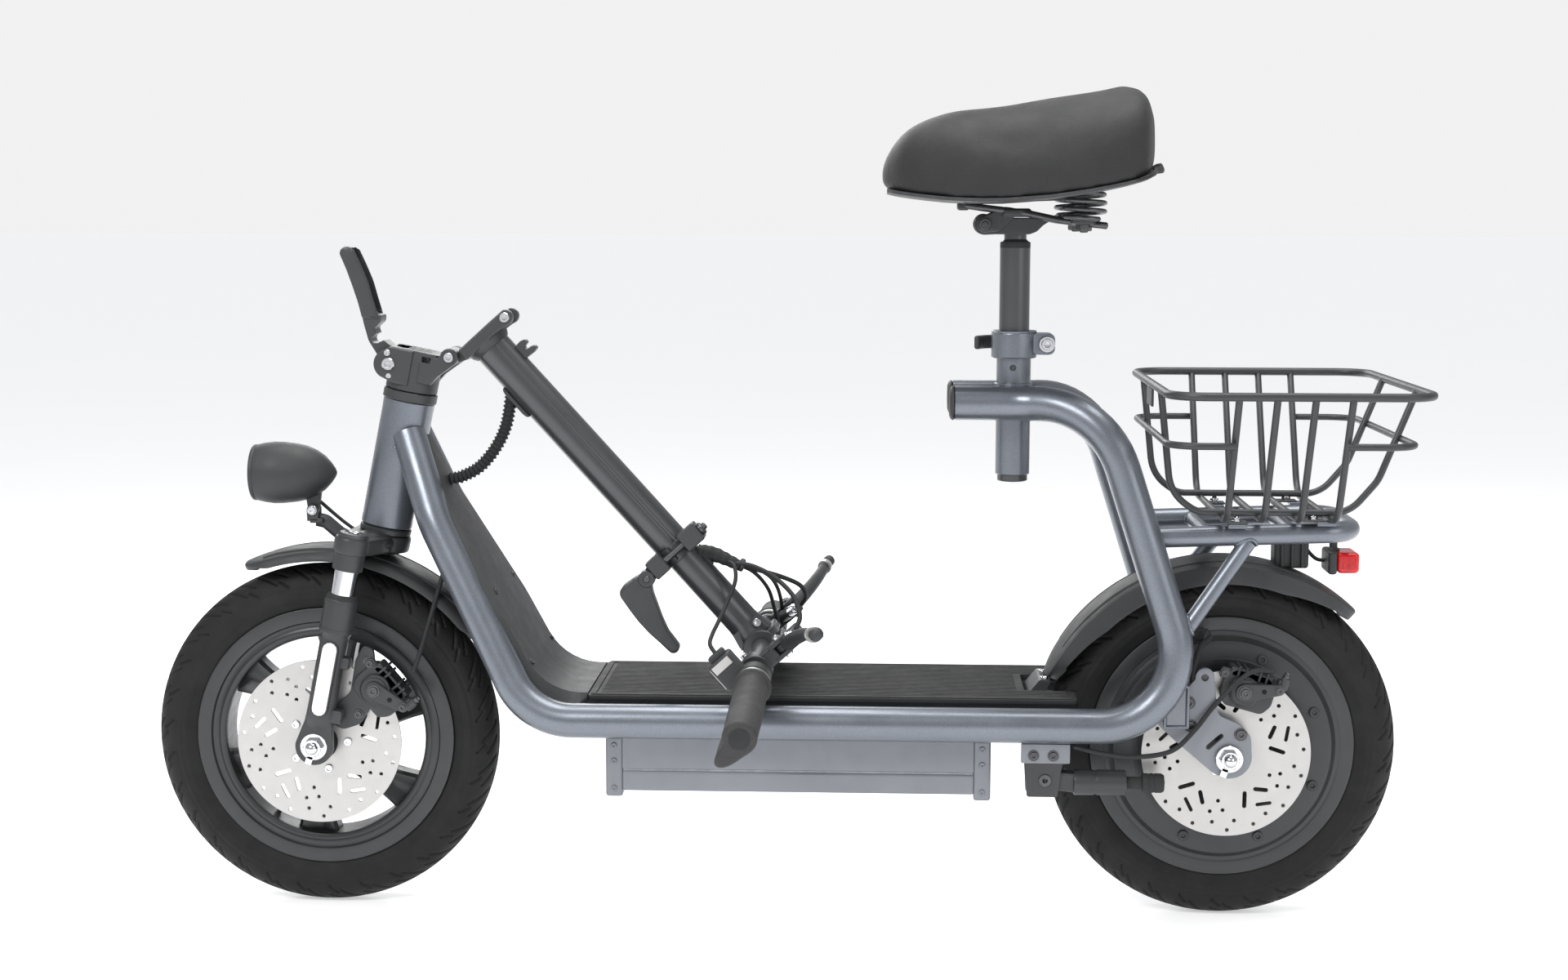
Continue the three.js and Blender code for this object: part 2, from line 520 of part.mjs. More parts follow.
// What the closing lever has to clear, turned back from the riding stem to the open lever.
const LATCH_BOLT = [-32.6, 8.2]; // on the stem's foot, [x, z] from the hinge plane
const fromOpenLever = (geometry, closed) => geometry
  .translate(-LATCH_PIN[0], 0, -LATCH_PIN[1])
  .rotateY(-radians(closed * LATCH_SWING))
  .translate(LATCH_PIN[0], 0, LATCH_PIN[1]);
const hookChannel = fromOpenLever(
  box(-36, 0, -HOOK_HALF_WIDTH - 1.5, HOOK_HALF_WIDTH + 1.5, HINGE_HEIGHT + 28, HINGE_HEIGHT + 62), 1);
const boltTrack = [0, 0.25, 0.5, 0.75, 1].map((closed) =>
  fromOpenLever(pinAlongY(LATCH_BOLT[0], HINGE_HEIGHT + LATCH_BOLT[1], 4.8, 30), closed));
part('latch_lever', cut(
  join(
    plate([...arc(...LATCH_PIN, 9.5, -160, 20, 7), [-20, 176], [-40, 183], [-46, 188], [-48.5, 195], [-42, 203],
      [-43, 206], [-58, 206], [-57, 190], [-50, 178], [-36, 168]], -13.7, 13.7),
    plate([[-42, 203], [-60, 238], [-80, 266], ...arc(-86, 261, 7, 60, 200, 4), [-75, 232], [-59, 200]],
      -15.5, 15.5)),
  pinAlongY(...LATCH_PIN, 5.3, 40),
  hookChannel, ...boltTrack), BLACK_METAL, steering);

const stemFoot = join(
  cut(box(-27, 24.5, -24, 24, GAP, STEM_START), box(-40, -20, -EAR_IN, EAR_IN, -5, 30)),
  plate([[20, 1], [26, 1], ...arc(FOLD_PIVOT_X, 0, 8.6, -172, 90, 8), [24, 13], [20, 13]], -13.9, 13.9),
  ...pair([[-20, 1], [-36, 1], ...arc(...LATCH_BOLT, 8, 240, 60, 6), [-20, STEM_START]], EAR_IN, 24),
  pinAlongY(...LATCH_BOLT, 4, 26),
  pinAlongY(FOLD_PIVOT_X, 0, 4, 29));
part('stem_foot', stemFoot, BLACK_METAL, stem);

const CLAMP = { z0: 286, z1: 302, y: -24 };
const heightClamp = join(
  bar([0, 0, CLAMP.z0], [0, 0, CLAMP.z1], 23, 16),
  box(-34, -12, -31, -8, CLAMP.z0, CLAMP.z1),
  box(12, 30, -31, -8, CLAMP.z0, CLAMP.z1),
  bar([-41, CLAMP.y, 294], [20, CLAMP.y, 294], 3.5, 12));
const conduitSeat = box(18.2, 22, -9, 9, 59, 95);
const hook = join(box(-29, -18.2, -HOOK_HALF_WIDTH, HOOK_HALF_WIDTH, 36, 50), box(-34, -27, -5, 5, 44, 50));
part('stem_tube', cut(
  join(bar([0, 0, STEM_START + GAP], [0, 0, STEM_END + 14], STEM_RADIUS, 16), heightClamp, conduitSeat, hook),
  bar([0, 0, STEM_START + 6], [0, 0, STEM_END + 30], 17.4, 16)), BLACK_METAL, stem);

part('stem_clamp_lever', plate([
  ...arc(38, 295, 7.5, 90, 270, 5), [60, 284], [70, 292], [73, 322], [72, 350], ...arc(65, 364, 6, 0, 180, 5),
  [57, 345], [49, 325], [43, 308]], CLAMP.y - 8, CLAMP.y + 8), BLACK_METAL, stem);

// ---------------------------------------------------------------- handlebar
const barPath = (reach) => bentPath([
  [20 * reach, -325 * reach, BAR_HEIGHT + 15 * reach], [1, -70, BAR_HEIGHT, 90],
  [1, 70, BAR_HEIGHT, 90], [20 * reach, 325 * reach, BAR_HEIGHT + 15 * reach]], 2);
const BAR_REACH = 0.985;
const barSpace = tube(barPath(1.02), BAR_RADIUS + GAP, 8);

part('inner_stem', cut(
  join(
    bar([0, 0, 100], [0, 0, BAR_HEIGHT - 6], 17, 16),
    pinAlongY(1, BAR_HEIGHT, 19, 23, 14)),
  bar([0, 0, 90], [0, 0, BAR_HEIGHT - 22], 15, 16), barSpace), BLACK_METAL, stem);

const barAt = (y) => {
  const f = Math.max(0, (Math.abs(y) - 70) / 255);
  return [1 + 19 * f, BAR_HEIGHT + 15 * f];
};
const LEVER_PIVOT = { x: -31, y: 110 };
const LEVER_Z = [BAR_HEIGHT - 2, BAR_HEIGHT + 6];
function perch(side) {
  const [x, z] = barAt(LEVER_PIVOT.y);
  const y = side * LEVER_PIVOT.y;
  const pivotX = LEVER_PIVOT.x;
  return join(
    cut(
      join(
        bar([x, y - 9, z], [x, y + 9, z], 16, 14),
        box(pivotX - 8, x - 8, y - 9, y + 9, LEVER_Z[0] - 5, LEVER_Z[1] + 5)),
      box(pivotX - 20, pivotX + 9, y - 20, y + 20, LEVER_Z[0] - GAP, LEVER_Z[1] + GAP)),
    bar([pivotX, y, LEVER_Z[0] - 6], [pivotX, y, LEVER_Z[1] + 6], 2.5, 10));
}
part('handlebar', cut(
  join(tube(barPath(BAR_REACH), BAR_RADIUS, 8), perch(-1), perch(1),
    box(4, 30, -158, -130, BAR_HEIGHT - 34, BAR_HEIGHT + 6)),
  tube(barPath(1.02), 9, 8)), BLACK_METAL, stem);

for (const [name, side] of [['grip_left', -1], ['grip_right', 1]]) {
  const [x0, z0] = barAt(166);
  const [x1, z1] = barAt(322);
  const palmRest = new THREE.SphereGeometry(1, 10, 6).scale(24, 33, 8)
    .translate(x1 + 14, side * 291, z1 - 6);
  part(name, cut(
    join(bar([x0, side * 166, z0], [x1 + 0.2, side * 328, z1], 16), palmRest), barSpace,
    box(-60, 90, Math.min(side * 325, side * 400), Math.max(side * 325, side * 400), 380, 500)),
  RUBBER, stem);
}

part('display', cut(
  join(
    box(-30, 2, 34, 76, BAR_HEIGHT + 12, BAR_HEIGHT + 28),
    box(-14, 16, 44, 62, BAR_HEIGHT - 15, BAR_HEIGHT + 14)), barSpace), BLACK_PLASTIC, stem);

for (const [name, side] of [['brake_lever_left', -1], ['brake_lever_right', 1]]) {
  const outline = [
    ...arc(LEVER_PIVOT.x, LEVER_PIVOT.y, 7.5, 220, 400, 8), [-45, 128], [-60, 165], [-70, 205], [-73, 232],
    [-86, 232], [-82, 195], [-70, 150], [-52, 114]];
  const blade = new THREE.Shape(outline.map(([x, y]) => new THREE.Vector2(x, side * y)));
  part(name, cut(
    new THREE.ExtrudeGeometry(blade, { depth: LEVER_Z[1] - LEVER_Z[0], bevelEnabled: false })
      .translate(0, 0, LEVER_Z[0]),
    bar([LEVER_PIVOT.x, side * LEVER_PIVOT.y, 400], [LEVER_PIVOT.x, side * LEVER_PIVOT.y, 450], 2.9, 12)),
  BLACK_METAL, stem);
}

part('throttle_lever', cut(
  join(
    bar([barAt(150)[0], 144, barAt(150)[1]], [barAt(150)[0], 158, barAt(150)[1]], 16, 16),
    box(8, 20, 146, 156, BAR_HEIGHT - 34, BAR_HEIGHT)),
  tube(barPath(1.02), BAR_RADIUS + 1.6, 8)), BLACK_PLASTIC, stem);

// ---------------------------------------------------------------- headlight
const LAMP_Z = 441.5;
const alongX = (geometry) => geometry.rotateZ(-Math.PI / 2); // turns the lathe axis from Y to X
const lampShell = alongX(ring([
  [24.5, -72], [28, -72], [31.5, -50], [29, -20], [8, 12], [0.5, 12], [0.5, 8], [7, 8], [26.5, -22],
  [28.8, -50], [26.4, -66.5], [24.5, -66.5]])).translate(0, 0, LAMP_Z);
part('headlight_shell', cut(
  join(lampShell, plate([...arc(...LAMP_PIVOT, 5.5, 180, 360, 6), [-4, 418], [-20, 418]], -3.6, 3.6)),
  bar([-12, -9, 404], [-12, 9, 404], 2.4, 12)), BLACK_PLASTIC);
part('headlight_lens', alongX(turned([[0, -71.5], [24.1, -71.5], [24.1, -67], [0, -67]]))
  .translate(0, 0, LAMP_Z), CLEAR_LENS);

// ---------------------------------------------------------------- saddle
part('seat_post', cut(
  join(
    bar([SEAT_TUBE_X, 0, 438.7], [SEAT_TUBE_X, 0, 676], SEAT_POST_RADIUS, 16),
    bar([SEAT_TUBE_X, 0, 675], [SEAT_TUBE_X, 0, 683], 11, 14)),
  bar([SEAT_TUBE_X, 0, 430], [SEAT_TUBE_X, 0, 668], 12.5, 14)), BLACK_METAL);
const TILT_PIVOT = [662, 693];
part('saddle_clamp', cut(
  join(
    plate([...arc(...TILT_PIVOT, 10.5, 90, 270, 6), [700, 683], [712, 690], [712, 698], [676, 698]], -19, 19)),
  bar([SEAT_TUBE_X, 0, 670], [SEAT_TUBE_X, 0, 683.4], 11.3, 14),
  pinAlongY(...TILT_PIVOT, 3.4, 30)), BLACK_METAL);

const SPRING = { x: 756, y: 50, z0: 700, z1: 721, radius: 22 };
const railRun = (side) => tube(bentPath([
  [640, side * 14, 711], [654, side * 20, 708.5, 12], [700, side * 22, 707, 30],
  [732, side * 37, 694, 20], [775, side * 56, 692]], 2), 3.4, 7);
part('saddle_rails', join(
  railRun(-1), railRun(1),
  box(635, 647, -19, 19, 706, 715.2),
  box(677.3, 710, -27, 27, 699.6, 712.6),
  ...pair([...arc(...TILT_PIVOT, 8, 90, 270, 5), [691.1, 701.3], [681.7, 710.2]], 19.5, 24.6),
  pinAlongY(...TILT_PIVOT, 3, 26),
  ...[-1, 1].map((side) => bar([SPRING.x, side * SPRING.y, 690], [SPRING.x, side * SPRING.y, 699.6], 12.6, 12))),
BLACK_METAL);
for (const [name, side] of [['saddle_spring_left', -1], ['saddle_spring_right', 1]]) {
  part(name, pipe(SPRING.radius - 5, SPRING.radius, SPRING.z0, SPRING.z1, 18)
    .translate(SPRING.x, side * SPRING.y, 0), BLACK_METAL);
}

// The saddle is a loft: half-width, underside and crown height are given at stations along X.
const SADDLE = [
  [561, 20, 732, 742], [566, 42, 725, 768], [580, 62, 722, 785], [606, 77, 719, 799], [640, 84, 716, 804],
  [680, 92, 716, 807], [720, 106, 719, 814], [760, 119, 725, 819.5], [790, 123, 731, 824.5],
  [812, 116, 737, 825], [826, 96, 742, 800], [833, 60, 748, 762]];
function saddleLoft(inset, lift, height) {
  const around = 16;
  const geometry = new THREE.CylinderGeometry(1, 1, 1, around, SADDLE.length - 1);
  const position = geometry.attributes.position;
  for (let i = 0; i < position.count; i++) {
    const station = Math.round((0.5 - position.getY(i)) * (SADDLE.length - 1));
    const [x, width, low, high] = SADDLE[station];
    const across = position.getX(i);
    const up = position.getZ(i);
    const top = height ? low + height : high;
    const soft = Math.sign(across) * Math.abs(across) ** 0.7;
    const tall = Math.sign(up) * Math.abs(up) ** 0.75;
    position.setXYZ(i, x, soft * (width - inset), (low + lift + top) / 2 + (tall * (top - low - lift)) / 2);
  }
  return geometry;
}
part('saddle_cushion', saddleLoft(0, 6.3, 0), VINYL);
part('saddle_pan', saddleLoft(6, 0, 6), BLACK_PLASTIC);

const quickLever = new THREE.Shape([
  ...arc(31.6, 28, 8, -90, 60, 6), ...arc(0, 0, 41, 48, 165, 8), ...arc(0, 0, 35, 165, 55, 8)]
  .map(([x, y]) => new THREE.Vector2(x, y)));
part('seat_clamp_lever', new THREE.ExtrudeGeometry(quickLever, { depth: 14, bevelEnabled: false })
  .translate(SEAT_TUBE_X, 0, COLLAR_Z - 7), BLACK_METAL);

// ---------------------------------------------------------------- kickstand
const STAND = { x: 723.5, y: -86.5, z: 156.6 };
part('kickstand_leg', cut(
  join(
    plate([...arc(STAND.x, STAND.z, 9, 90, 270, 6), [756, 142], [756, 163]], -94.6, -78.4),
    bar([754, STAND.y, 152.5], [803, STAND.y, 152.5], 12.5, 16)),
  bar([770, STAND.y, 152.5], [810, STAND.y, 152.5], 6.4, 16),
  bar([STAND.x, -110, STAND.z], [STAND.x, -60, STAND.z], 4.4, 12)), BLACK_METAL);
part('kickstand_foot', join(
  bar([772, STAND.y, 152.5], [820, STAND.y, 152.5], 6, 16),
  bar([819, STAND.y, 152.5], [840, STAND.y, 152.5], 9.5, 16)), BLACK_METAL);

// ---------------------------------------------------------------- cables held at both ends
part('cable_conduit', smoothTube([
  [188, 0, 512], [186, 0, 497], [177, 0, 478], [163, 0, 461], [148, 0, 450], [139, 0, 445.5]], 5.7, 14, 10),
BLACK_PLASTIC);
part('front_brake_cable', smoothTube([
  [112, -30, 352], [116, -38, 320], [110, -48, 288], [101, -50, 264]], 2.4, 10, 6), RUBBER);
part('rear_brake_cable', smoothTube([
  [752, -97, 190], [800, -98, 184], [845, -92, 186], [871, -80, 205], [892, -79, 232], [906, -77, 246],
  [916, -76, 250]], 2.4, 18, 6), RUBBER);

export default scooter;
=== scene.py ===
"""The looks of a folding seated electric scooter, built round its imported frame.

Shapes are worked out in millimetres in the local frame of what carries them, and each mesh is then
written in metres in the row's frame.
"""
import json
import math

import bmesh
import bpy
from mathutils import Matrix, Vector, noise


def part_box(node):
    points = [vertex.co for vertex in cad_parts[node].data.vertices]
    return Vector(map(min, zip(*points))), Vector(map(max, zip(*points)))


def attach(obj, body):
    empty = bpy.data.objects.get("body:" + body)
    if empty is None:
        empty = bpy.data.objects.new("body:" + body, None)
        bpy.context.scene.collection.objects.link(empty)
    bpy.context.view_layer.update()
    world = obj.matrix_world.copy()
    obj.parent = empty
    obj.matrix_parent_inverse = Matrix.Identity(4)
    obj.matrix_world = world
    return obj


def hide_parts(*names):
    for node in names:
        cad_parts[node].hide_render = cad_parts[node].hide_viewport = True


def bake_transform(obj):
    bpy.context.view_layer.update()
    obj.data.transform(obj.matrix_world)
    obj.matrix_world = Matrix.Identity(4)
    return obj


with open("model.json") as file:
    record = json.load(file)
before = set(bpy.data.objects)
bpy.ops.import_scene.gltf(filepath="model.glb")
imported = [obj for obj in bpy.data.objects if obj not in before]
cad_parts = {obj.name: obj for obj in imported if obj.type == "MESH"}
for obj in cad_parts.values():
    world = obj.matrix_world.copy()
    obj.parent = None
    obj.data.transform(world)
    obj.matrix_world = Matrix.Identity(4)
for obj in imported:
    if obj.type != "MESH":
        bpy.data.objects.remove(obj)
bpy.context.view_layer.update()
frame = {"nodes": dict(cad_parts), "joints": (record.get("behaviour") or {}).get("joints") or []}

# ---------------------------------------------------------------- local frames
JOINTS = {joint["name"]: joint for joint in frame["joints"]}
MILLIMETRES = Matrix.Scale(0.001, 4)


def frame_at(point, tilt=0.0):
    """A frame in millimetres at a point in metres, leaning back by tilt degrees."""
    return Matrix.Translation(point) @ Matrix.Rotation(math.radians(tilt), 4, "Y") @ MILLIMETRES


def centre(node):
    low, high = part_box(node)
    return (low + high) / 2


FRONT_WHEEL = frame_at(centre("front_tyre"))
REAR_WHEEL = frame_at(centre("rear_tyre"))
GROUND = frame_at((centre("front_tyre").x, 0, 0))  # X counted from the front axle
TYRE_RADIUS = 1000 * centre("front_tyre").z
HEAD_AXIS = Vector(JOINTS["steering_turn"]["axis"])
HEAD_TILT = math.degrees(math.atan2(HEAD_AXIS.x, HEAD_AXIS.z))
STEERING = frame_at(JOINTS["steering_turn"]["pos_m"], HEAD_TILT)  # Z runs up the head axis
FOLD_PIN = STEERING.inverted() @ Vector(JOINTS["stem_fold"]["pos_m"])
FOLD_ANGLE = max(JOINTS["stem_fold"]["range_deg"])
STEM = frame_at(JOINTS["stem_fold"]["pos_m"], HEAD_TILT + FOLD_ANGLE) @ Matrix.Translation((-FOLD_PIN.x, 0, 0))


def local(place, node):
    """A CAD node's box in millimetres in a local frame."""
    to_local = place.inverted()
    points = [to_local @ vertex.co for vertex in frame["nodes"][node].data.vertices]
    low = Vector([min(point[i] for point in points) for i in range(3)])
    high = Vector([max(point[i] for point in points) for i in range(3)])
    return low, high


# ---------------------------------------------------------------- shapes, in millimetres
class Form:
    """Vertices and faces of a shape that isn't a Blender mesh yet."""

    def __init__(self, verts=(), faces=()):
        self.verts = [Vector(vert) for vert in verts]
        self.faces = [tuple(face) for face in faces]

    def __add__(self, other):
        shift = len(self.verts)
        moved = [tuple(i + shift for i in face) for face in other.faces]
        return Form(self.verts + other.verts, self.faces + moved)

    def put(self, matrix):
        faces = self.faces
        if matrix.determinant() < 0:
            faces = [tuple(reversed(face)) for face in faces]
        return Form([matrix @ vert for vert in self.verts], faces)

    def at(self, x, y, z):
        return self.put(Matrix.Translation((x, y, z)))


def total(forms):
    result = Form()
    for form in forms:
        result = result + form
    return result


def both(make_side):
    """The left and the right copy of what make_side(side) makes."""
    return make_side(-1) + make_side(1)


def toward(start, end):
    """A frame at start whose Z axis points at end."""
    start, end = Vector(start), Vector(end)
    return Matrix.Translation(start) @ (end - start).to_track_quat("Z", "Y").to_matrix().to_4x4()


def turns(count):
    """Evenly spaced angles once round, in radians."""
    return [2 * math.pi * i / count for i in range(count)]


def loft(rings, closed=False, capped=True):
    """A skin over rings with the same number of points. A ring of one point is a tip."""
    count = max(len(ring) for ring in rings)
    verts, starts = [], []
    for ring in rings:
        starts.append(len(verts))
        verts.extend(ring)
    faces = []
    pairs = list(zip(range(len(rings)), range(1, len(rings))))
    if closed:
        pairs.append((len(rings) - 1, 0))
    for a, b in pairs:
        for i in range(count):
            j = (i + 1) % count
            if len(rings[a]) == 1:
                faces.append((starts[a], starts[b] + j, starts[b] + i))
            elif len(rings[b]) == 1:
                faces.append((starts[a] + i, starts[a] + j, starts[b]))
            else:
                faces.append((starts[a] + i, starts[a] + j, starts[b] + j, starts[b] + i))
    if capped and not closed:
        if len(rings[0]) > 1:
            faces.append(tuple(reversed(range(starts[0], starts[0] + count))))
        if len(rings[-1]) > 1:
            faces.append(tuple(range(starts[-1], starts[-1] + count)))
    return Form(verts, faces)


def disc_ring(radius, height, sides=24):
    """A round ring of points about Z, or the one point on the axis when the radius is nothing."""
    if radius < 1e-6:
        return [Vector((0, 0, height))]
    return [Vector((radius * math.cos(a), radius * math.sin(a), height)) for a in turns(sides)]


def lathe(profile, sides=48, closed=False, capped=True):
    """(radius, height) pairs turned about Z, from the lowest pair up when the wall faces out."""
    return loft([disc_ring(radius, height, sides) for radius, height in profile], closed, capped)


Y_AXIS = Matrix.Rotation(math.radians(-90), 4, "X")  # turns Z into Y
X_AXIS = Matrix.Rotation(math.radians(90), 4, "Y")  # turns Z into X


def rod(start, end, radius, sides=32, edge=0.8):
    length = (Vector(end) - Vector(start)).length
    profile = [(0, 0), (radius - edge, 0), (radius, edge), (radius, length - edge), (radius - edge, length),
               (0, length)]
    return lathe(profile, sides).put(toward(start, end))


def arc(x, z, radius, start, end, steps=10):
    angles = [math.radians(start + (end - start) * i / steps) for i in range(steps + 1)]
    return [(x + radius * math.cos(a), z + radius * math.sin(a)) for a in angles]


def bent(corners, steps=10):
    """A path through corners (x, y, z, bend radius), with each inner corner rounded off."""
    points = [Vector(corner[:3]) for corner in corners]
    path = [points[0]]
    for i in range(1, len(points) - 1):
        back = (points[i - 1] - points[i]).normalized()
        on = (points[i + 1] - points[i]).normalized()
        half = back.angle(on) / 2
        radius = corners[i][3]
        middle = points[i] + (back + on).normalized() * radius / math.sin(half)
        start = points[i] + back * radius / math.tan(half) - middle
        end = points[i] + on * radius / math.tan(half) - middle
        sweep_angle = start.angle(end)
        for k in range(steps + 1):
            f = k / steps
            turn = start * math.sin((1 - f) * sweep_angle) + end * math.sin(f * sweep_angle)
            path.append(middle + turn / math.sin(sweep_angle))
    path.append(points[-1])
    return path


def flowing(points, steps=8):
    """A smooth curve through points."""
    points = [Vector(point) for point in points]
    padded = [2 * points[0] - points[1]] + points + [2 * points[-1] - points[-2]]
    path = []
    for a, b, c, d in zip(padded, padded[1:], padded[2:], padded[3:]):
        for k in range(steps):
            t = k / steps
            path.append(0.5 * (2 * b + (c - a) * t + (2 * a - 5 * b + 4 * c - d) * t * t
                               + (3 * b - a - 3 * c + d) * t ** 3))
    path.append(points[-1])
    return path


def spread(path, spacing):
    """Points along a path at even spacing."""
    lengths = [0.0]
    for a, b in zip(path, path[1:]):
        lengths.append(lengths[-1] + (b - a).length)
    count = max(2, round(lengths[-1] / spacing))
    points, i = [], 0
    for k in range(count + 1):
        along = lengths[-1] * k / count
        while i < len(path) - 2 and lengths[i + 1] < along:
            i += 1
        f = (along - lengths[i]) / (lengths[i + 1] - lengths[i])
        points.append(path[i].lerp(path[i + 1], f))
    return points


def sweep(path, radius, sides=20, closed=False, section=None, up=None):
    """A bar along a path. radius is a number or a function of the step; section scales it across."""
    path = [Vector(point) for point in path]
    size = radius if callable(radius) else (lambda step: radius)
    last = len(path) - 1
    rings = []
    normal = None
    for i, point in enumerate(path):
        before = path[i - 1] if i or closed else path[i]
        after = path[(i + 1) % len(path)] if i < last or closed else path[i]
        tangent = (after - before).normalized()
        if normal is None:
            normal = Vector(up) if up else tangent.orthogonal()
        normal = (normal - tangent * normal.dot(tangent)).normalized()
        side = tangent.cross(normal)
        wide, tall = section or (1, 1)
        rings.append([point + size(i) * (side * wide * math.cos(a) + normal * tall * math.sin(a))
                      for a in turns(sides)])
    form = loft(rings, closed)
    return Form(form.verts, [tuple(reversed(face)) for face in form.faces])


def rounded_ends(path, radius, dome=0.45, steps=3):
    """A path with extra steps at both ends and a radius function that rounds the bar's ends off."""
    start_way = (path[0] - path[1]).normalized()
    end_way = (path[-1] - path[-2]).normalized()
    grown, sizes = list(path), [radius] * len(path)
    for k in range(1, steps + 1):
        angle = math.pi / 2 * k / steps
        out, size = radius * dome * math.sin(angle), radius * max(0.02, math.cos(angle))
        grown = [path[0] + start_way * out] + grown + [path[-1] + end_way * out]
        sizes = [size] + sizes + [size]
    return grown, lambda step: sizes[step]


def wire(path, radius, sides=12):
    grown, size = rounded_ends([Vector(point) for point in path], radius)
    return sweep(grown, size, sides)


def form_of(mesh, merge=1e-3):
    work = bmesh.new()
    work.from_mesh(mesh)
    bmesh.ops.remove_doubles(work, verts=work.verts, dist=merge)
    bmesh.ops.recalc_face_normals(work, faces=work.faces)
    form = Form([vert.co.copy() for vert in work.verts],
                [[vert.index for vert in face.verts] for face in work.faces])
    work.free()
    return form


def sheet_form(outline, thickness, holes, edge):
    """A flat plate in the XY plane with holes and soft edges, from a filled curve."""
    curve = bpy.data.curves.new("outline", "CURVE")
    curve.dimensions = "2D"
    curve.fill_mode = "BOTH"
    curve.extrude = thickness / 2 - edge
    curve.bevel_depth = edge
    curve.bevel_resolution = 1
    curve.offset = -edge
    for loop in (outline, *holes):
        spline = curve.splines.new("POLY")
        spline.points.add(len(loop) - 1)
        for point, (x, y) in zip(spline.points, loop):
            point.co = (x, y, 0, 1)
        spline.use_cyclic_u = True
    holder = bpy.data.objects.new("outline", curve)
    bpy.context.scene.collection.objects.link(holder)
    mesh = bpy.data.meshes.new_from_object(holder.evaluated_get(bpy.context.evaluated_depsgraph_get()))
    form = form_of(mesh)
    bpy.data.objects.remove(holder)
    bpy.data.curves.remove(curve)
    bpy.data.meshes.remove(mesh)
    return form


def slab(outline, low, high, holes=(), edge=0.8):
    """An upright plate: an outline of (x, z) points, from y = low to high."""
    stand = Matrix.Translation((0, (low + high) / 2, 0)) @ Matrix.Rotation(math.radians(90), 4, "X")
    return sheet_form(outline, high - low, holes, edge).put(stand)


def flat(outline, low, high, holes=(), edge=0.8):
    """A level plate: an outline of (x, y) points, from z = low to high."""
    return sheet_form(outline, high - low, holes, edge).at(0, 0, (low + high) / 2)


def circle(x, z, radius, steps=16):
    return arc(x, z, radius, 0, 360, steps)[:-1]


def slot_hole(x0, z0, x1, z1, radius):
    """A hole with round ends between two points."""
    angle = math.degrees(math.atan2(z1 - z0, x1 - x0))
    return arc(x0, z0, radius, angle + 90, angle + 270, 6) + arc(x1, z1, radius, angle - 90, angle + 90, 6)


def rounded(outline, radius, steps=5):
    """An outline with its corners rounded off."""
    points = [Vector((x, z, 0)) for x, z in outline]
    result = []
    for i, corner in enumerate(points):
        back = points[i - 1] - corner
        on = points[(i + 1) % len(points)] - corner
        reach = min(radius, back.length * 0.48, on.length * 0.48)
        start, end = corner + back.normalized() * reach, corner + on.normalized() * reach
        for k in range(steps + 1):
            t = k / steps
            spot = start * (1 - t) ** 2 + corner * 2 * t * (1 - t) + end * t * t
            result.append((spot.x, spot.y))
    return result


def block(x0, x1, y0, y1, z0, z1, edge=1.2, segments=3):
    work = bmesh.new()
    bmesh.ops.create_cube(work, size=1)
    size = Matrix.Diagonal((x1 - x0, y1 - y0, z1 - z0, 1))
    work.transform(Matrix.Translation(((x0 + x1) / 2, (y0 + y1) / 2, (z0 + z1) / 2)) @ size)
    bmesh.ops.bevel(work, geom=list(work.edges), offset=edge, segments=segments, profile=0.5, affect="EDGES")
    form = Form([vert.co.copy() for vert in work.verts],
                [[vert.index for vert in face.verts] for face in work.faces])
    work.free()
    return form


def mesh_of(form, name):
    mesh = bpy.data.meshes.new(name)
    mesh.from_pydata([tuple(vert) for vert in form.verts], [], form.faces)
    mesh.update()
    return mesh


def changed(form, *settings):
    """The form after Blender modifiers, each given as (type, values)."""
    holder = bpy.data.objects.new("work", mesh_of(form, "work"))
    bpy.context.scene.collection.objects.link(holder)
    for kind, values in settings:
        modifier = holder.modifiers.new(kind, kind)
        for key, value in values.items():
            setattr(modifier, key, value)
    mesh = bpy.data.meshes.new_from_object(holder.evaluated_get(bpy.context.evaluated_depsgraph_get()))
    result = form_of(mesh, 1e-4)
    old = holder.data
    bpy.data.objects.remove(holder)
    bpy.data.meshes.remove(old)
    bpy.data.meshes.remove(mesh)
    return result


def carved(form, *cutters):
    """The form with the cutters taken out of it."""
    for cutter in cutters:
        tool = bpy.data.objects.new("cutter", mesh_of(cutter, "cutter"))
        bpy.context.scene.collection.objects.link(tool)
        form = changed(form, ("BOOLEAN", {"operation": "DIFFERENCE", "solver": "EXACT", "object": tool}))
        old = tool.data
        bpy.data.objects.remove(tool)
        bpy.data.meshes.remove(old)
    return form


# ---------------------------------------------------------------- fasteners, welds and springs
def hexed(radius, height, sides=24, turn=0.0):
    """A ring of points in a hexagon whose corners lie at radius."""
    ring = []
    for a in turns(sides):
        reach = radius * math.cos(math.pi / 6) / math.cos((a % (math.pi / 3)) - math.pi / 6)
        ring.append(Vector((reach * math.cos(a + turn), reach * math.sin(a + turn), height)))
    return ring


def screw(at, way, radius=4.0, height=3.0, washer=0.0):
    """A cap screw's head with a hexagon socket, standing on the point at, pointing along way."""
    socket = radius * 0.5
    rings = [disc_ring(radius, 0), disc_ring(radius, height * 0.7), disc_ring(radius * 0.88, height),
             hexed(socket * 1.1, height), hexed(socket, height - 0.3), hexed(socket, height * 0.35),
             [Vector((0, 0, height * 0.3))]]
    form = loft(rings)
    if washer:
        form = form + lathe([(0, -0.2), (washer, -0.2), (washer, 0.7), (washer - 0.4, 1.1), (0, 1.1)], 28)
    at, way = Vector(at), Vector(way)
    return form.put(toward(at, at + way))


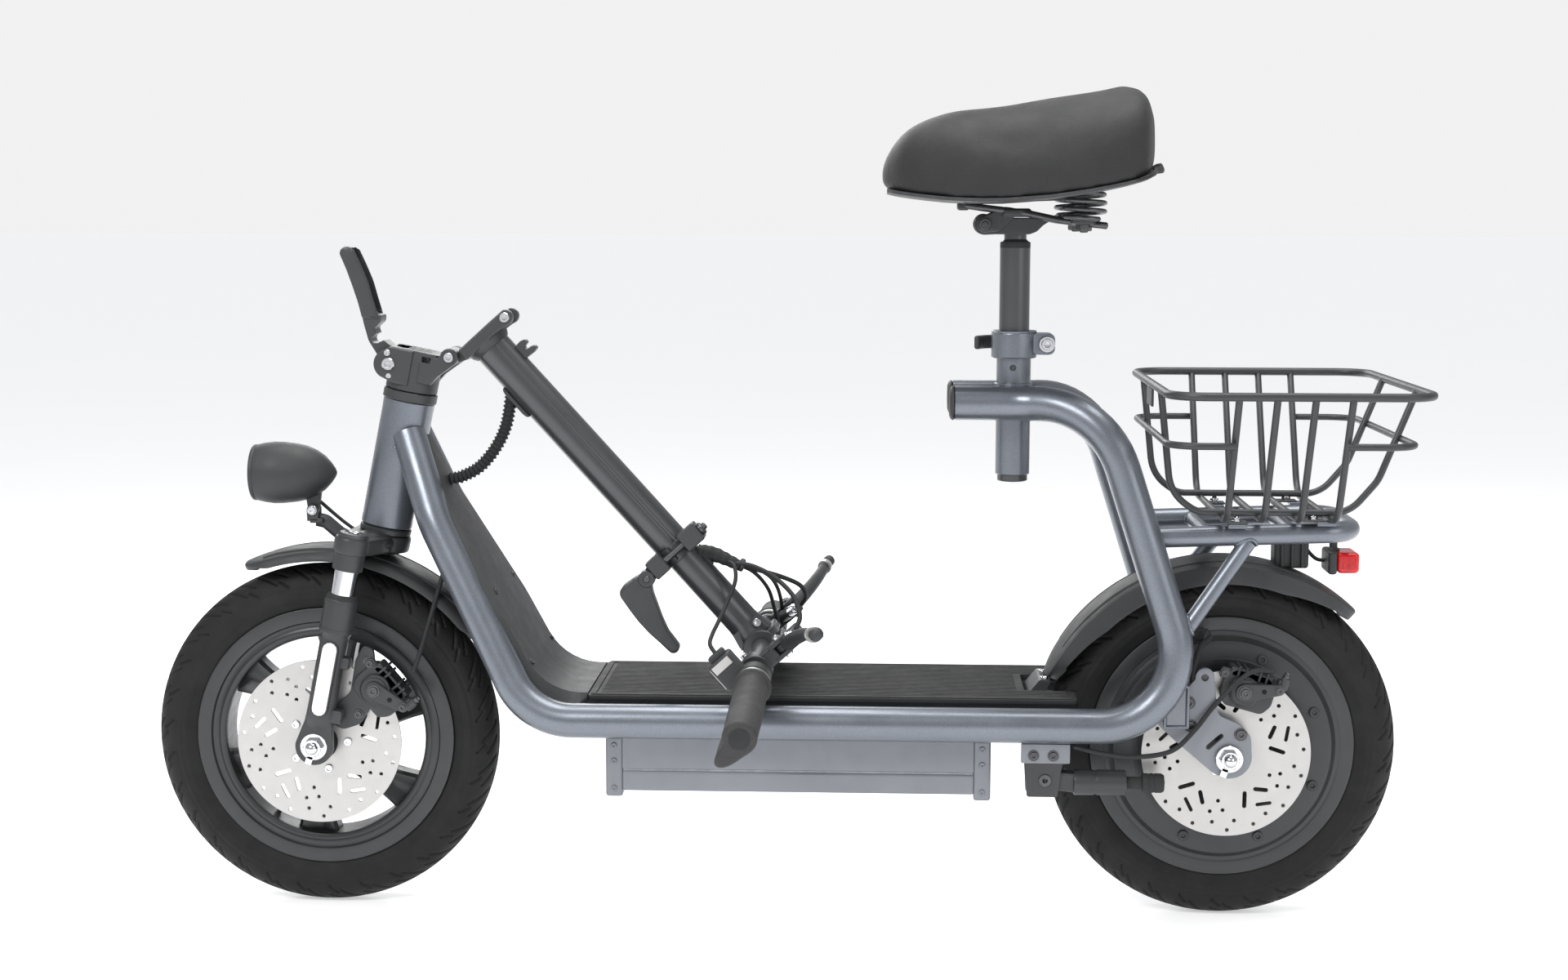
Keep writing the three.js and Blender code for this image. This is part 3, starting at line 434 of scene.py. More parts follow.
def nut(at, way, radius=6.0, height=5.0, bolt=3.0, stub=2.0):
    """A hexagon nut with the bolt's end standing out of it."""
    rings = [hexed(radius, 0), hexed(radius, height - 0.8), disc_ring(radius * 0.86, height),
             disc_ring(bolt + 0.4, height), disc_ring(bolt + 0.2, height - 0.4), disc_ring(bolt, height - 0.4),
             disc_ring(bolt, height + stub - 0.5), disc_ring(bolt - 0.6, height + stub),
             [Vector((0, 0, height + stub))]]
    at, way = Vector(at), Vector(way)
    return loft(rings).put(toward(at, at + way))


RIPPLE = (0.86, 1.0, 1.06)  # one pass of a weld bead, as parts of its size


def bead(path, size=2.0, pitch=2.6):
    """A weld bead along a closed path, with the ripples of its passes."""
    points = spread([Vector(point) for point in path] + [Vector(path[0])], pitch / 3)[:-1]
    return sweep(points, lambda step: size * RIPPLE[step % 3], 8, closed=True)


def joint_line(start, way, radius, axis_point, axis_way, axis_radius, steps=48):
    """Where a tube running along way meets the outside of a round bar."""
    start, way = Vector(start), Vector(way).normalized()
    axis_point, axis_way = Vector(axis_point), Vector(axis_way).normalized()
    side = way.orthogonal().normalized()
    line = []
    for a in turns(steps):
        point = start + radius * (side * math.cos(a) + way.cross(side) * math.sin(a))
        away = (point - axis_point) - axis_way * (point - axis_point).dot(axis_way)
        run = way - axis_way * way.dot(axis_way)
        half = away.dot(run) / run.length_squared
        inside = half * half - (away.length_squared - axis_radius ** 2) / run.length_squared
        line.append(point + way * (-half - math.sqrt(max(inside, 0))))
    return line


def coil(low, high, radius, turns, wire_radius, steps=28):
    """A coil spring about Z with flat end turns."""
    count = round(turns * steps)
    path = []
    for i in range(count + 1):
        t = i / count
        rise = min(1, max(0, (t * turns - 0.5) / (turns - 1)))
        a = 2 * math.pi * turns * t
        path.append(Vector((radius * math.cos(a), radius * math.sin(a), low + (high - low) * rise)))
    return wire(path, wire_radius, 12)


# ---------------------------------------------------------------- materials
def linear(grey_or_rgb):
    """A display colour from 0 to 255 as a scene colour."""
    rgb = grey_or_rgb if isinstance(grey_or_rgb, tuple) else (grey_or_rgb,) * 3
    return [((c / 255 + 0.055) / 1.055) ** 2.4 if c > 10 else c / 3295 for c in rgb]


class Finish:
    """A procedural material, built up a layer at a time on one Principled shader."""

    def __init__(self, name, colour, roughness, metallic=0.0, **sockets):
        self.material = bpy.data.materials.new(name)
        self.material.use_nodes = True
        self.tree = self.material.node_tree
        self.shader = self.tree.nodes["Principled BSDF"]
        self.shader.inputs["Metallic"].default_value = metallic
        for key, value in sockets.items():
            self.shader.inputs[key.replace("_", " ")].default_value = value
        self.place = self.node("ShaderNodeTexCoord").outputs["Object"]
        self.colour = self.node("ShaderNodeRGB").outputs[0]
        self.colour.default_value = (*linear(colour), 1)
        self.rough = self.maths("ADD", roughness, 0.0)
        self.bump = None

    def node(self, kind, **settings):
        node = self.tree.nodes.new(kind)
        for key, value in settings.items():
            setattr(node, key, value)
        return node

    def feed(self, socket, value):
        if isinstance(value, bpy.types.NodeSocket):
            self.tree.links.new(value, socket)
        else:
            socket.default_value = value

    def maths(self, operation, a, b, clamp=False):
        node = self.node("ShaderNodeMath", operation=operation, use_clamp=clamp)
        self.feed(node.inputs[0], a)
        self.feed(node.inputs[1], b)
        return node.outputs[0]

    def ranged(self, value, low, high, out_low=0.0, out_high=1.0):
        node = self.node("ShaderNodeMapRange")
        for socket, given in zip(node.inputs, (value, low, high, out_low, out_high)):
            self.feed(socket, given)
        return node.outputs[0]

    def stretched(self, scales):
        node = self.node("ShaderNodeMapping")
        self.feed(node.inputs["Vector"], self.place)
        node.inputs["Scale"].default_value = scales
        return node.outputs[0]

    def noise(self, size, detail=3.0, roughness=0.55, scales=(1, 1, 1)):
        """Noise whose features are about size millimetres across."""
        node = self.node("ShaderNodeTexNoise")
        self.feed(node.inputs["Vector"], self.stretched(scales))
        node.inputs["Scale"].default_value = 1000 / size
        node.inputs["Detail"].default_value = detail
        node.inputs["Roughness"].default_value = roughness
        return node.outputs["Fac"]

    def cells(self, size, feature="F1", scales=(1, 1, 1)):
        node = self.node("ShaderNodeTexVoronoi", feature=feature)
        self.feed(node.inputs["Vector"], self.stretched(scales))
        node.inputs["Scale"].default_value = 1000 / size
        return node.outputs["Distance"]

    def tint(self, amount, colour):
        """Mixes a display colour in where amount is high."""
        node = self.node("ShaderNodeMix", data_type="RGBA")
        self.feed(node.inputs[0], amount)
        self.feed(node.inputs[6], self.colour)
        node.inputs[7].default_value = (*linear(colour), 1)
        self.colour = node.outputs[2]
        return self

    def mottled(self, size, strength, detail=4.0):
        """Slight lightening and darkening over patches about size millimetres across."""
        node = self.node("ShaderNodeHueSaturation")
        self.feed(node.inputs["Value"], self.ranged(self.noise(size, detail), 0.3, 0.7, 1 - strength, 1 + strength))
        self.feed(node.inputs["Color"], self.colour)
        self.colour = node.outputs[0]
        return self

    def uneven(self, size, strength, scales=(1, 1, 1)):
        """Gloss that varies over patches about size millimetres across."""
        change = self.ranged(self.noise(size, 4, 0.6, scales), 0.3, 0.7, -strength, strength)
        self.rough = self.maths("ADD", self.rough, change, clamp=True)
        return self

    def raised(self, height, depth, distance=0.001):
        """Adds a height field of so many parts of a millimetre to the bump."""
        node = self.node("ShaderNodeBump")
        node.inputs["Strength"].default_value = depth
        node.inputs["Distance"].default_value = distance
        self.feed(node.inputs["Height"], height)
        if self.bump:
            self.tree.links.new(self.bump, node.inputs["Normal"])
        self.bump = node.outputs["Normal"]
        return self

    def edges(self, colour, strength=0.5, grow=0.56):
        """Wear on outer edges: a colour where the mesh is convex, broken up by noise."""
        convex = self.node("ShaderNodeNewGeometry").outputs["Pointiness"]
        worn = self.ranged(convex, grow, grow + 0.06)
        patchy = self.ranged(self.noise(9, 5, 0.7), 0.42, 0.62)
        amount = self.maths("MULTIPLY", self.maths("MULTIPLY", worn, patchy), strength)
        return self.tint(amount, colour)

    def dusty(self, colour, strength, size=45):
        """Dust that lies on faces that look up, thicker in some patches."""
        split = self.node("ShaderNodeSeparateXYZ")
        self.feed(split.inputs[0], self.node("ShaderNodeNewGeometry").outputs["Normal"])
        facing = self.ranged(split.outputs["Z"], 0.2, 1.0)
        patchy = self.ranged(self.noise(size, 6, 0.65), 0.35, 0.7)
        amount = self.maths("MULTIPLY", self.maths("MULTIPLY", facing, patchy), strength)
        self.tint(amount, colour)
        self.rough = self.maths("ADD", self.rough, self.maths("MULTIPLY", amount, 0.3), clamp=True)
        return self

    def scratched(self, strength=0.25):
        """Fine hairline scratches, seen in the gloss only."""
        lines = self.ranged(self.noise(1.2, 2, 0.5, (1, 1, 0.04)), 0.62, 0.7)
        self.rough = self.maths("ADD", self.rough, self.maths("MULTIPLY", lines, strength), clamp=True)
        return self

    def done(self):
        self.feed(self.shader.inputs["Base Color"], self.colour)
        self.feed(self.shader.inputs["Roughness"], self.rough)
        if self.bump:
            self.feed(self.shader.inputs["Normal"], self.bump)
        return self.material


def frame_paint():
    """Satin metallic paint: fine flakes under a thin clear coat."""
    finish = Finish("frame_paint", (103, 108, 116), 0.34, 0.7, Coat_Weight=0.3, Coat_Roughness=0.18)
    flakes = finish.cells(0.35)
    finish.tint(finish.ranged(flakes, 0.42, 0.6, 0, 0.2), (188, 194, 203))
    finish.mottled(120, 0.04).uneven(30, 0.05).raised(finish.noise(2.4, 2), 0.035).scratched(0.12)
    return finish.edges((60, 63, 68), 0.25, 0.57).dusty((150, 148, 144), 0.06).done()


def black_metal(name="black_metal", colour=60, roughness=0.44, grain=0.9):
    """Powder-coated alloy and steel, with a fine pebbled skin and rubbed edges."""
    finish = Finish(name, (colour, colour + 1, colour + 2), roughness, 0.35, Coat_Weight=0.08, Coat_Roughness=0.3)
    finish.mottled(60, 0.07).uneven(14, 0.06).raised(finish.noise(grain, 3), 0.07).scratched(0.1)
    return finish.edges((128, 128, 130), 0.3, 0.6).dusty((120, 118, 114), 0.05).done()


def satin_black():
    """Anodised alloy tube, smooth, with long soft highlights."""
    finish = Finish("satin_black", (76, 77, 79), 0.3, 0.55, Coat_Weight=0.15, Coat_Roughness=0.2)
    finish.mottled(90, 0.04).uneven(30, 0.03).raised(finish.noise(1.2, 2), 0.012)
    return finish.dusty((120, 118, 114), 0.02, 120).done()


def black_plastic():
    """Moulded polypropylene with a spark-eroded grain."""
    finish = Finish("black_plastic", (47, 48, 49), 0.55)
    grain = finish.cells(0.7, "SMOOTH_F1")
    finish.mottled(50, 0.06).uneven(20, 0.07).raised(grain, 0.08).raised(finish.noise(18, 2), 0.03)
    return finish.edges((96, 96, 97), 0.25, 0.56).dusty((118, 116, 112), 0.07).done()


def rim_paint():
    finish = Finish("rim_paint", (60, 61, 62), 0.4, 0.5, Coat_Weight=0.15, Coat_Roughness=0.25)
    finish.mottled(40, 0.06).uneven(10, 0.06).raised(finish.noise(1.2, 3), 0.06)
    return finish.edges((138, 138, 140), 0.35, 0.56).dusty((120, 116, 108), 0.12).done()


def tyre_rubber():
    """Tyre rubber: matt, with mould sheen on the sidewall and a little road dust in the tread."""
    finish = Finish("tyre", (22, 22, 23), 0.66, Specular_IOR_Level=0.32)
    finish.mottled(35, 0.12).uneven(25, 0.09).raised(finish.noise(0.8, 3, 0.7), 0.16)
    return finish.raised(finish.noise(7, 3), 0.05).edges((60, 58, 56), 0.3, 0.53).dusty((86, 82, 76), 0.06, 20).done()


def soft_rubber():
    """The deck mat, hoses and cable jackets."""
    finish = Finish("rubber", (35, 36, 37), 0.66, Specular_IOR_Level=0.4)
    finish.mottled(40, 0.09).uneven(16, 0.08).raised(finish.noise(0.9, 3, 0.7), 0.14)
    return finish.edges((84, 84, 84), 0.3, 0.55).dusty((116, 112, 106), 0.1, 60).done()


def mesh_rubber():
    """The grips' rubber, with a fine moulded net."""
    finish = Finish("grip_rubber", (46, 46, 47), 0.62)
    net = finish.node("ShaderNodeTexBrick", offset=0.5)
    finish.feed(net.inputs["Vector"], finish.stretched((1, 1, 1)))
    net.inputs["Scale"].default_value = 260
    net.inputs["Mortar Size"].default_value = 0.06
    net.inputs["Mortar Smooth"].default_value = 0.6
    return finish.mottled(30, 0.1).uneven(12, 0.08).raised(net.outputs["Fac"], 0.3).raised(
        finish.noise(0.8, 3), 0.12).dusty((110, 106, 100), 0.08, 25).done()


def bright_steel():
    """Stainless sheet, ground in circles and heat-tinted a little."""
    finish = Finish("bright_steel", (188, 187, 185), 0.34, 0.72)
    finish.mottled(30, 0.025).uneven(9, 0.05).raised(finish.noise(1.1, 2), 0.012, 0.0004)
    return finish.tint(finish.ranged(finish.noise(60, 4), 0.55, 0.75, 0, 0.06), (196, 192, 184)).done()


def chrome():
    finish = Finish("chrome", (214, 215, 218), 0.1, 1.0)
    return finish.mottled(20, 0.05).uneven(8, 0.04).raised(finish.noise(6, 2), 0.015).scratched(0.15).done()


def case_paint():
    finish = Finish("case_paint", (124, 127, 133), 0.42, 0.45, Coat_Weight=0.15, Coat_Roughness=0.3)
    finish.mottled(70, 0.05).uneven(24, 0.06).raised(finish.noise(1.1, 3), 0.06).scratched(0.12)
    return finish.edges((168, 170, 172), 0.3, 0.56).dusty((140, 136, 130), 0.06).done()


def vinyl():
    """Embossed vinyl: leather cells with fine pores, drawn tight over foam."""
    finish = Finish("vinyl", (38, 38, 39), 0.58, Sheen_Weight=0.04, Sheen_Roughness=0.5, Specular_IOR_Level=0.34)
    cells = finish.cells(1.7, "DISTANCE_TO_EDGE")
    finish.raised(finish.ranged(cells, 0.0, 0.18), 0.22).raised(finish.noise(0.45, 3), 0.1)
    finish.raised(finish.noise(26, 3), 0.1)
    # painted shade: the sunken edges of the grain's cells are darkened as if shadowed
    finish.tint(finish.ranged(cells, 0.0, 0.1, 0.35, 0.0), (24, 24, 25))
    return finish.mottled(55, 0.07).uneven(30, 0.07).dusty((80, 79, 78), 0.03, 80).done()


def red_lens():
    finish = Finish("red_lens", (214, 6, 12), 0.22, Coat_Weight=0.35, Coat_Roughness=0.05, IOR=1.49,
                    Subsurface_Weight=0.25, Subsurface_Scale=0.004)
    return finish.mottled(6, 0.16).uneven(4, 0.04).raised(finish.cells(2.4), 0.12).done()


def clear_lens():
    finish = Finish("clear_lens", (236, 240, 244), 0.05, IOR=1.49, Transmission_Weight=0.85, Coat_Weight=0.6)
    return finish.mottled(12, 0.02).uneven(5, 0.02).raised(finish.noise(5, 2), 0.03).done()


def white_reflector():
    """A moulded reflector of small prisms behind a clear face."""
    finish = Finish("white_reflector", (238, 239, 240), 0.2, Coat_Weight=0.9, Coat_Roughness=0.05)
    return finish.mottled(4, 0.04).uneven(3, 0.05).raised(finish.cells(1.6), 0.5).done()


def spring_steel():
    finish = Finish("spring_steel", (88, 88, 90), 0.3, 0.75)
    return finish.mottled(14, 0.08).uneven(6, 0.08).raised(finish.noise(0.9, 3), 0.05).scratched(0.15).done()


def screen_glass():
    finish = Finish("screen_glass", (12, 13, 15), 0.07, Coat_Weight=1.0, Coat_Roughness=0.02, IOR=1.52)
    return finish.mottled(20, 0.1).uneven(12, 0.03).raised(finish.noise(14, 2), 0.01).done()


LOOKS = {
    "frame_paint": (frame_paint(), "frame_paint"),
    "black_metal": (black_metal(), "black_metal"),
    "satin_black": (satin_black(), "black_metal"),
    "black_plastic": (black_plastic(), "black_plastic"),
    "rim_paint": (rim_paint(), "rim_paint"),
    "tyre": (tyre_rubber(), "tyre"),
    "rubber": (soft_rubber(), "rubber"),
    "grip_rubber": (mesh_rubber(), "rubber"),
    "bright_steel": (bright_steel(), "bright_steel"),
    "chrome": (chrome(), "chrome"),
    "case_paint": (case_paint(), "case_paint"),
    "vinyl": (vinyl(), "vinyl"),
    "red_lens": (red_lens(), "red_lens"),
    "clear_lens": (clear_lens(), "clear_lens"),
    "white_reflector": (white_reflector(), "clear_lens"),
    "spring_steel": (spring_steel(), "spring_steel"),
    "screen_glass": (screen_glass(), "black_plastic"),
}


# ---------------------------------------------------------------- pieces
LEVELLED = []  # pieces whose shading is levelled at the end
SMOOTH_FORM = 50  # degrees: a piece that stays smooth past this has no broad flat faces to level


def piece(name, form, place, body, look, replaces=(), sharp=38):
    """A finished piece: its mesh in metres, its material, the body it rides on and the nodes it stands for.

    Edges sharper than sharp degrees stay crisp.
    """
    mesh = mesh_of(form.put(place), name)
    mesh.shade_smooth()
    mesh.set_sharp_from_angle(angle=math.radians(sharp))
    made = bpy.data.objects.new(name, mesh)
    bpy.context.scene.collection.objects.link(made)
    material, slot = LOOKS[look]
    mesh.materials.append(material)
    if body and sharp < SMOOTH_FORM:
        LEVELLED.append(made)
    if body:
        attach(made, body)
    if replaces:
        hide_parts(*replaces)
    return made


def level_shading():
    """Bakes normals that keep each broad flat face flat, with the rounding left to the narrow edge faces."""
    for made in LEVELLED:
        modifier = made.modifiers.new("level", "WEIGHTED_NORMAL")
        modifier.keep_sharp = True
    graph = bpy.context.evaluated_depsgraph_get()
    for made in LEVELLED:
        old = made.data
        new = bpy.data.meshes.new_from_object(made.evaluated_get(graph))
        made.modifiers.clear()
        made.data = new
        name = old.name
        bpy.data.meshes.remove(old)
        new.name = name


def keep(node, look):
    """A CAD node that stays as it is, with a finished material."""
    node_mesh = frame["nodes"][node]
    material, slot = LOOKS[look]
    node_mesh.data.materials.clear()
    node_mesh.data.materials.append(material)


# ---------------------------------------------------------------- stage
def make_stage():
    """A pale floor, soft boxes and the camera."""
    corners = [(x * FLOOR, y * FLOOR, 0) for x, y in ((-1, -1), (1, -1), (1, 1), (-1, 1))]
    floor_form = Form(corners, [(0, 1, 2, 3)])
    floor = bpy.data.objects.new("floor", mesh_of(floor_form, "floor"))
    bpy.context.scene.collection.objects.link(floor)
    finish = Finish("floor", (243, 243, 244), 0.7, Emission_Color=(1, 1, 1, 1), Emission_Strength=FLOOR_GLOW)
    floor.data.materials.append(finish.mottled(400, 0.01).uneven(300, 0.05).done())

    world = bpy.data.worlds.new("studio")
    bpy.context.scene.world = world
    world.use_nodes = True
    tree = world.node_tree
    background = tree.nodes["Background"]
    background.inputs["Color"].default_value = (0.94, 0.95, 0.97, 1)
    background.inputs["Strength"].default_value = WORLD_STRENGTH
    backdrop = tree.nodes.new("ShaderNodeBackground")
    backdrop.inputs["Color"].default_value = (1, 1, 1, 1)
    backdrop.inputs["Strength"].default_value = BACKDROP_STRENGTH
    rays = tree.nodes.new("ShaderNodeLightPath")
    chosen = tree.nodes.new("ShaderNodeMixShader")
    tree.links.new(rays.outputs["Is Camera Ray"], chosen.inputs[0])
    tree.links.new(background.outputs[0], chosen.inputs[1])
    tree.links.new(backdrop.outputs[0], chosen.inputs[2])
    tree.links.new(chosen.outputs[0], tree.nodes["World Output"].inputs["Surface"])

    for name, spot, aim, size, power in SOFT_BOXES:
        light = bpy.data.lights.new(name, "AREA")
        light.shape = "RECTANGLE"
        light.size, light.size_y = size
        light.energy = power
        holder = bpy.data.objects.new(name, light)
        holder.matrix_world = Matrix.Translation(spot) @ (Vector(aim) - Vector(spot)).to_track_quat(
            "-Z", "Y").to_matrix().to_4x4()
        bpy.context.scene.collection.objects.link(holder)

    lens = bpy.data.cameras.new("camera")
    lens.lens = CAMERA_LENS
    camera = bpy.data.objects.new("camera", lens)
    camera.location = CAMERA_PLACE
    camera.rotation_euler = [math.radians(angle) for angle in CAMERA_ANGLES]
    bpy.context.scene.collection.objects.link(camera)
    bpy.context.scene.camera = camera
    bpy.context.scene.view_settings.view_transform = "Standard"


CAMERA_PLACE = (0.1155, -2.3524, 0.7089)
CAMERA_ANGLES = (83.179, -0.12, 2.513)  # degrees
CAMERA_LENS = 54.22  # millimetres
WORLD_STRENGTH = 0.5
FLOOR_GLOW = 0.46
BACKDROP_STRENGTH = 0.884
FLOOR = 60  # half the floor's side, in metres
SOFT_BOXES = [  # name, place, what it faces, size in metres, watts
    ("key", (-1.3, -2.2, 2.3), (0, 0, 0.35), (1.4, 1.0), 52),
    ("fill", (2.0, -1.8, 1.3), (0.1, 0, 0.4), (1.4, 1.4), 12),
    ("overhead", (0.2, 0.2, 2.6), (0.1, 0, 0.3), (2.4, 1.2), 52),
    ("back", (-0.8, 2.6, 1.6), (0, 0, 0.4), (2.0, 1.2), 30),
]
make_stage()


# ---------------------------------------------------------------- wheels
TREAD_PITCHES = 30
STEPS_PER_PITCH = 30
SECTION_RADIUS = 27.0
BEAD_RADIUS = 122.0
DISC_RADIUS = 83


def tread_depth(u, degrees):
    """How deep the tread is cut at u, from 0 to 1 along a pitch, and degrees round the section."""
    side, across = (0.5 if degrees < 0 else 0.0), abs(degrees)
    u = (u + side) % 1
    depth = 1.1 * max(0.0, 1 - abs(across - 11) / 1.9)  # two grooves run all the way round
    for start, end in (((0.05, 17), (0.62, 60)), ((0.5, 20), (0.98, 46)), ((0.72, 52), (1.0, 74))):
        along = ((u - start[0]) * (end[0] - start[0]) * 1600 + (across - start[1]) * (end[1] - start[1]))
        length = (end[0] - start[0]) ** 2 * 1600 + (end[1] - start[1]) ** 2
        f = min(1, max(0, along / length))
        away = math.hypot((u - start[0] - f * (end[0] - start[0])) * 40,
                          across - start[1] - f * (end[1] - start[1]))
        depth = max(depth, 1.5 * max(0.0, min(1.0, 1.6 - away / 1.5)))
    return depth


def tyre_form():
    """A tyre turned about Z: its section as angles from the crown, with the tread cut into the crown."""
    angles = [-104 + 208 * i / 84 for i in range(85)]
    count = TREAD_PITCHES * STEPS_PER_PITCH
    middle = TYRE_RADIUS - SECTION_RADIUS
    rings = []
    for i in range(count):
        turn = 2 * math.pi * i / count
        u = (i % STEPS_PER_PITCH) / STEPS_PER_PITCH
        ring = [(BEAD_RADIUS, -17.6), (131, -18.4)]
        for degrees in angles:
            a = math.radians(degrees)
            cut = tread_depth(u, degrees) if abs(degrees) < 76 else 0.0
            rib = 0.7 * max(0.0, 1 - abs(abs(degrees) - 88) / 3) - 0.5 * max(0.0, 1 - abs(abs(degrees) - 80) / 3)
            size = SECTION_RADIUS - 0.4 - cut + rib
            ring.append((middle + size * math.cos(a), (size - 0.3) * math.sin(a)))
        ring += [(131, 18.4), (BEAD_RADIUS, 17.6)]
        rings.append([Vector((r * math.cos(turn), r * math.sin(turn), h)) for r, h in ring])
    return loft(rings, closed=True)


def front_rim_form():
    """A cast rim: stepped flanges, a hub and six swept spokes with a hollowed face."""
    side = [(101.5, -17.5), (102.5, -20.2), (105, -21.6), (108, -21.6), (110, -19.6), (113, -18.6), (116, -19.4),
            (117.5, -21.6), (121, -22.2), (129.4, -22.2), (131, -21.6), (131, -19.4), (124, -18.4), (121.8, -16)]
    rim = lathe(side + [(r, -h) for r, h in reversed(side)], 160, closed=True)
    hub = lathe([(7, -38), (15, -41), (36, -41), (37, -40), (37, -37), (35, -36), (27, -34), (25, -28), (25, 26),
                 (22, 32), (17, 40), (15, 44), (9, 44), (7, 43)], 72, closed=True)
    form = rim + hub
    for i in range(6):
        form = form + spoke_form().put(Matrix.Rotation(math.radians(60 * i - 8), 4, "Z"))
    return form.put(Y_AXIS)


def spoke_form():
    rings = []
    for k in range(15):
        f = k / 14
        reach = 20 + 84 * f
        half = 10.5 + 2.5 * f + 9.5 * f ** 3
        lean = math.radians(-16 * math.sin(f * 1.4))
        ring = []
        for u, v in ((-1, -0.7), (-0.82, -1), (-0.6, -0.92), (-0.3, -0.62), (0, -0.5), (0.3, -0.62), (0.6, -0.92),
                     (0.82, -1), (1, -0.7), (1, 0.7), (0.82, 1), (0.6, 0.92), (0.3, 0.62), (0, 0.5), (-0.3, 0.62),
                     (-0.6, 0.92), (-0.82, 1), (-1, 0.7)):
            thick = 14.5 - 2.5 * f
            ring.append(Vector((reach * math.cos(lean) - half * u * math.sin(lean),
                                reach * math.sin(lean) + half * u * math.cos(lean), thick * v)))
        rings.append(ring)
    return loft(rings)


def disc_form(inner, bolts, bolt_radius):
    """A brake disc with five groups of angled slots and small bores, round its carrier holes."""
    holes = [circle(0, 0, inner, 40)]
    for k in range(5):
        turn = 72 * k

        def spot(radius, degrees):
            a = math.radians(degrees + turn)
            return radius * math.cos(a), radius * math.sin(a)

        for r0, d0, r1, d1, size in ((44, 8, 56, 2, 2.0), (46, 22, 54, 30, 2.0), (60, 14, 66, 24, 1.7)):
            holes.append(slot_hole(*spot(r0, d0), *spot(r1, d1), size))
        for radius, degrees in ((76, 4), (72, 16), (77, 30), (70, 44), (77, 56), (60, 40), (48, 46), (57, 52),
                                (68, 62)):
            holes.append(circle(*spot(radius, degrees), 1.9, 12))
    for a in turns(bolts):
        holes.append(circle(bolt_radius * math.cos(a), bolt_radius * math.sin(a), 2.4, 12))
    return slab(circle(0, 0, DISC_RADIUS, 160), -1.1, 1.1, holes, edge=0.25)


def axle_nut(place_y, side):
    """A domed nut on a tabbed washer, pointing away from the wheel."""
    washer = lathe([(0, 0), (13, 0), (13.4, 0.4), (13.4, 1.6), (13, 2), (0, 2)], 40)
    tab = block(-3.5, 3.5, 10, 19, 0, 2, 0.5).put(Matrix.Rotation(math.radians(160), 4, "Z"))
    rings = [hexed(9.8, 2), hexed(9.8, 8.2), disc_ring(8.4, 9)]
    dome = [disc_ring(6.6 * math.cos(a), 9 + 5.6 * math.sin(a)) for a in (0.0, 0.4, 0.8, 1.15, 1.4)]
    form = washer + tab + loft(rings + dome + [[Vector((0, 0, 14.6))]])
    return form.put(Matrix.Translation((0, place_y, 0)) @ (Y_AXIS if side > 0 else Y_AXIS.inverted()))


def make_front_wheel():
    tyre = tyre_form().put(Y_AXIS)
    piece("front_tyre_skin", tyre, FRONT_WHEEL, "front_wheel", "tyre", ["front_tyre"], 50)
    piece("front_rim_casting", front_rim_form(), FRONT_WHEEL, "front_wheel", "rim_paint", ["front_rim"], 34)
    valve = sweep([(0, 0, -121), (0, 0, -112), (0, 0, -104), (0, 0, -98)], lambda i: (3.2, 3.0, 2.6, 2.6)[i], 16)
    cap = lathe([(0, 0), (3.4, 0), (3.4, 7), (2.6, 8.4), (0, 8.6)], 18).at(0, 0, -98.5)
    turned = Matrix.Rotation(math.radians(33), 4, "Y")
    piece("front_valve", (valve + cap).put(turned), FRONT_WHEEL, "front_wheel", "black_plastic")
    disc_y = 1000 * (centre("front_brake_disc").y)
    disc = disc_form(18.5, 5, 29)
    piece("front_disc", disc.at(0, disc_y, 0), FRONT_WHEEL, "front_wheel", "bright_steel", ["front_brake_disc"], 30)
    screws = total([screw((29 * math.cos(a), disc_y - 1.1, 29 * math.sin(a)), (0, -1, 0), 4.2, 2.6)
                    for a in turns(5)])
    collar = lathe([(19, -4.8), (36, -4.8), (36.6, -4.2), (36.6, 0), (19, 0)], 48, closed=True)
    piece("front_disc_screws", screws, FRONT_WHEEL, "front_wheel", "chrome")
    piece("front_disc_carrier", collar.put(Y_AXIS).at(0, disc_y + 6.0, 0), FRONT_WHEEL, "front_wheel", "rim_paint")
    half = 1000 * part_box("front_axle")[1].y
    shaft = rod((0, -half + 4, 0), (0, half - 4, 0), 5.8)
    nuts = axle_nut(half - 15, 1) + axle_nut(-half + 15, -1)
    piece("front_axle_and_nuts", shaft + nuts, FRONT_WHEEL, "fork_lower", "chrome", ["front_axle"])


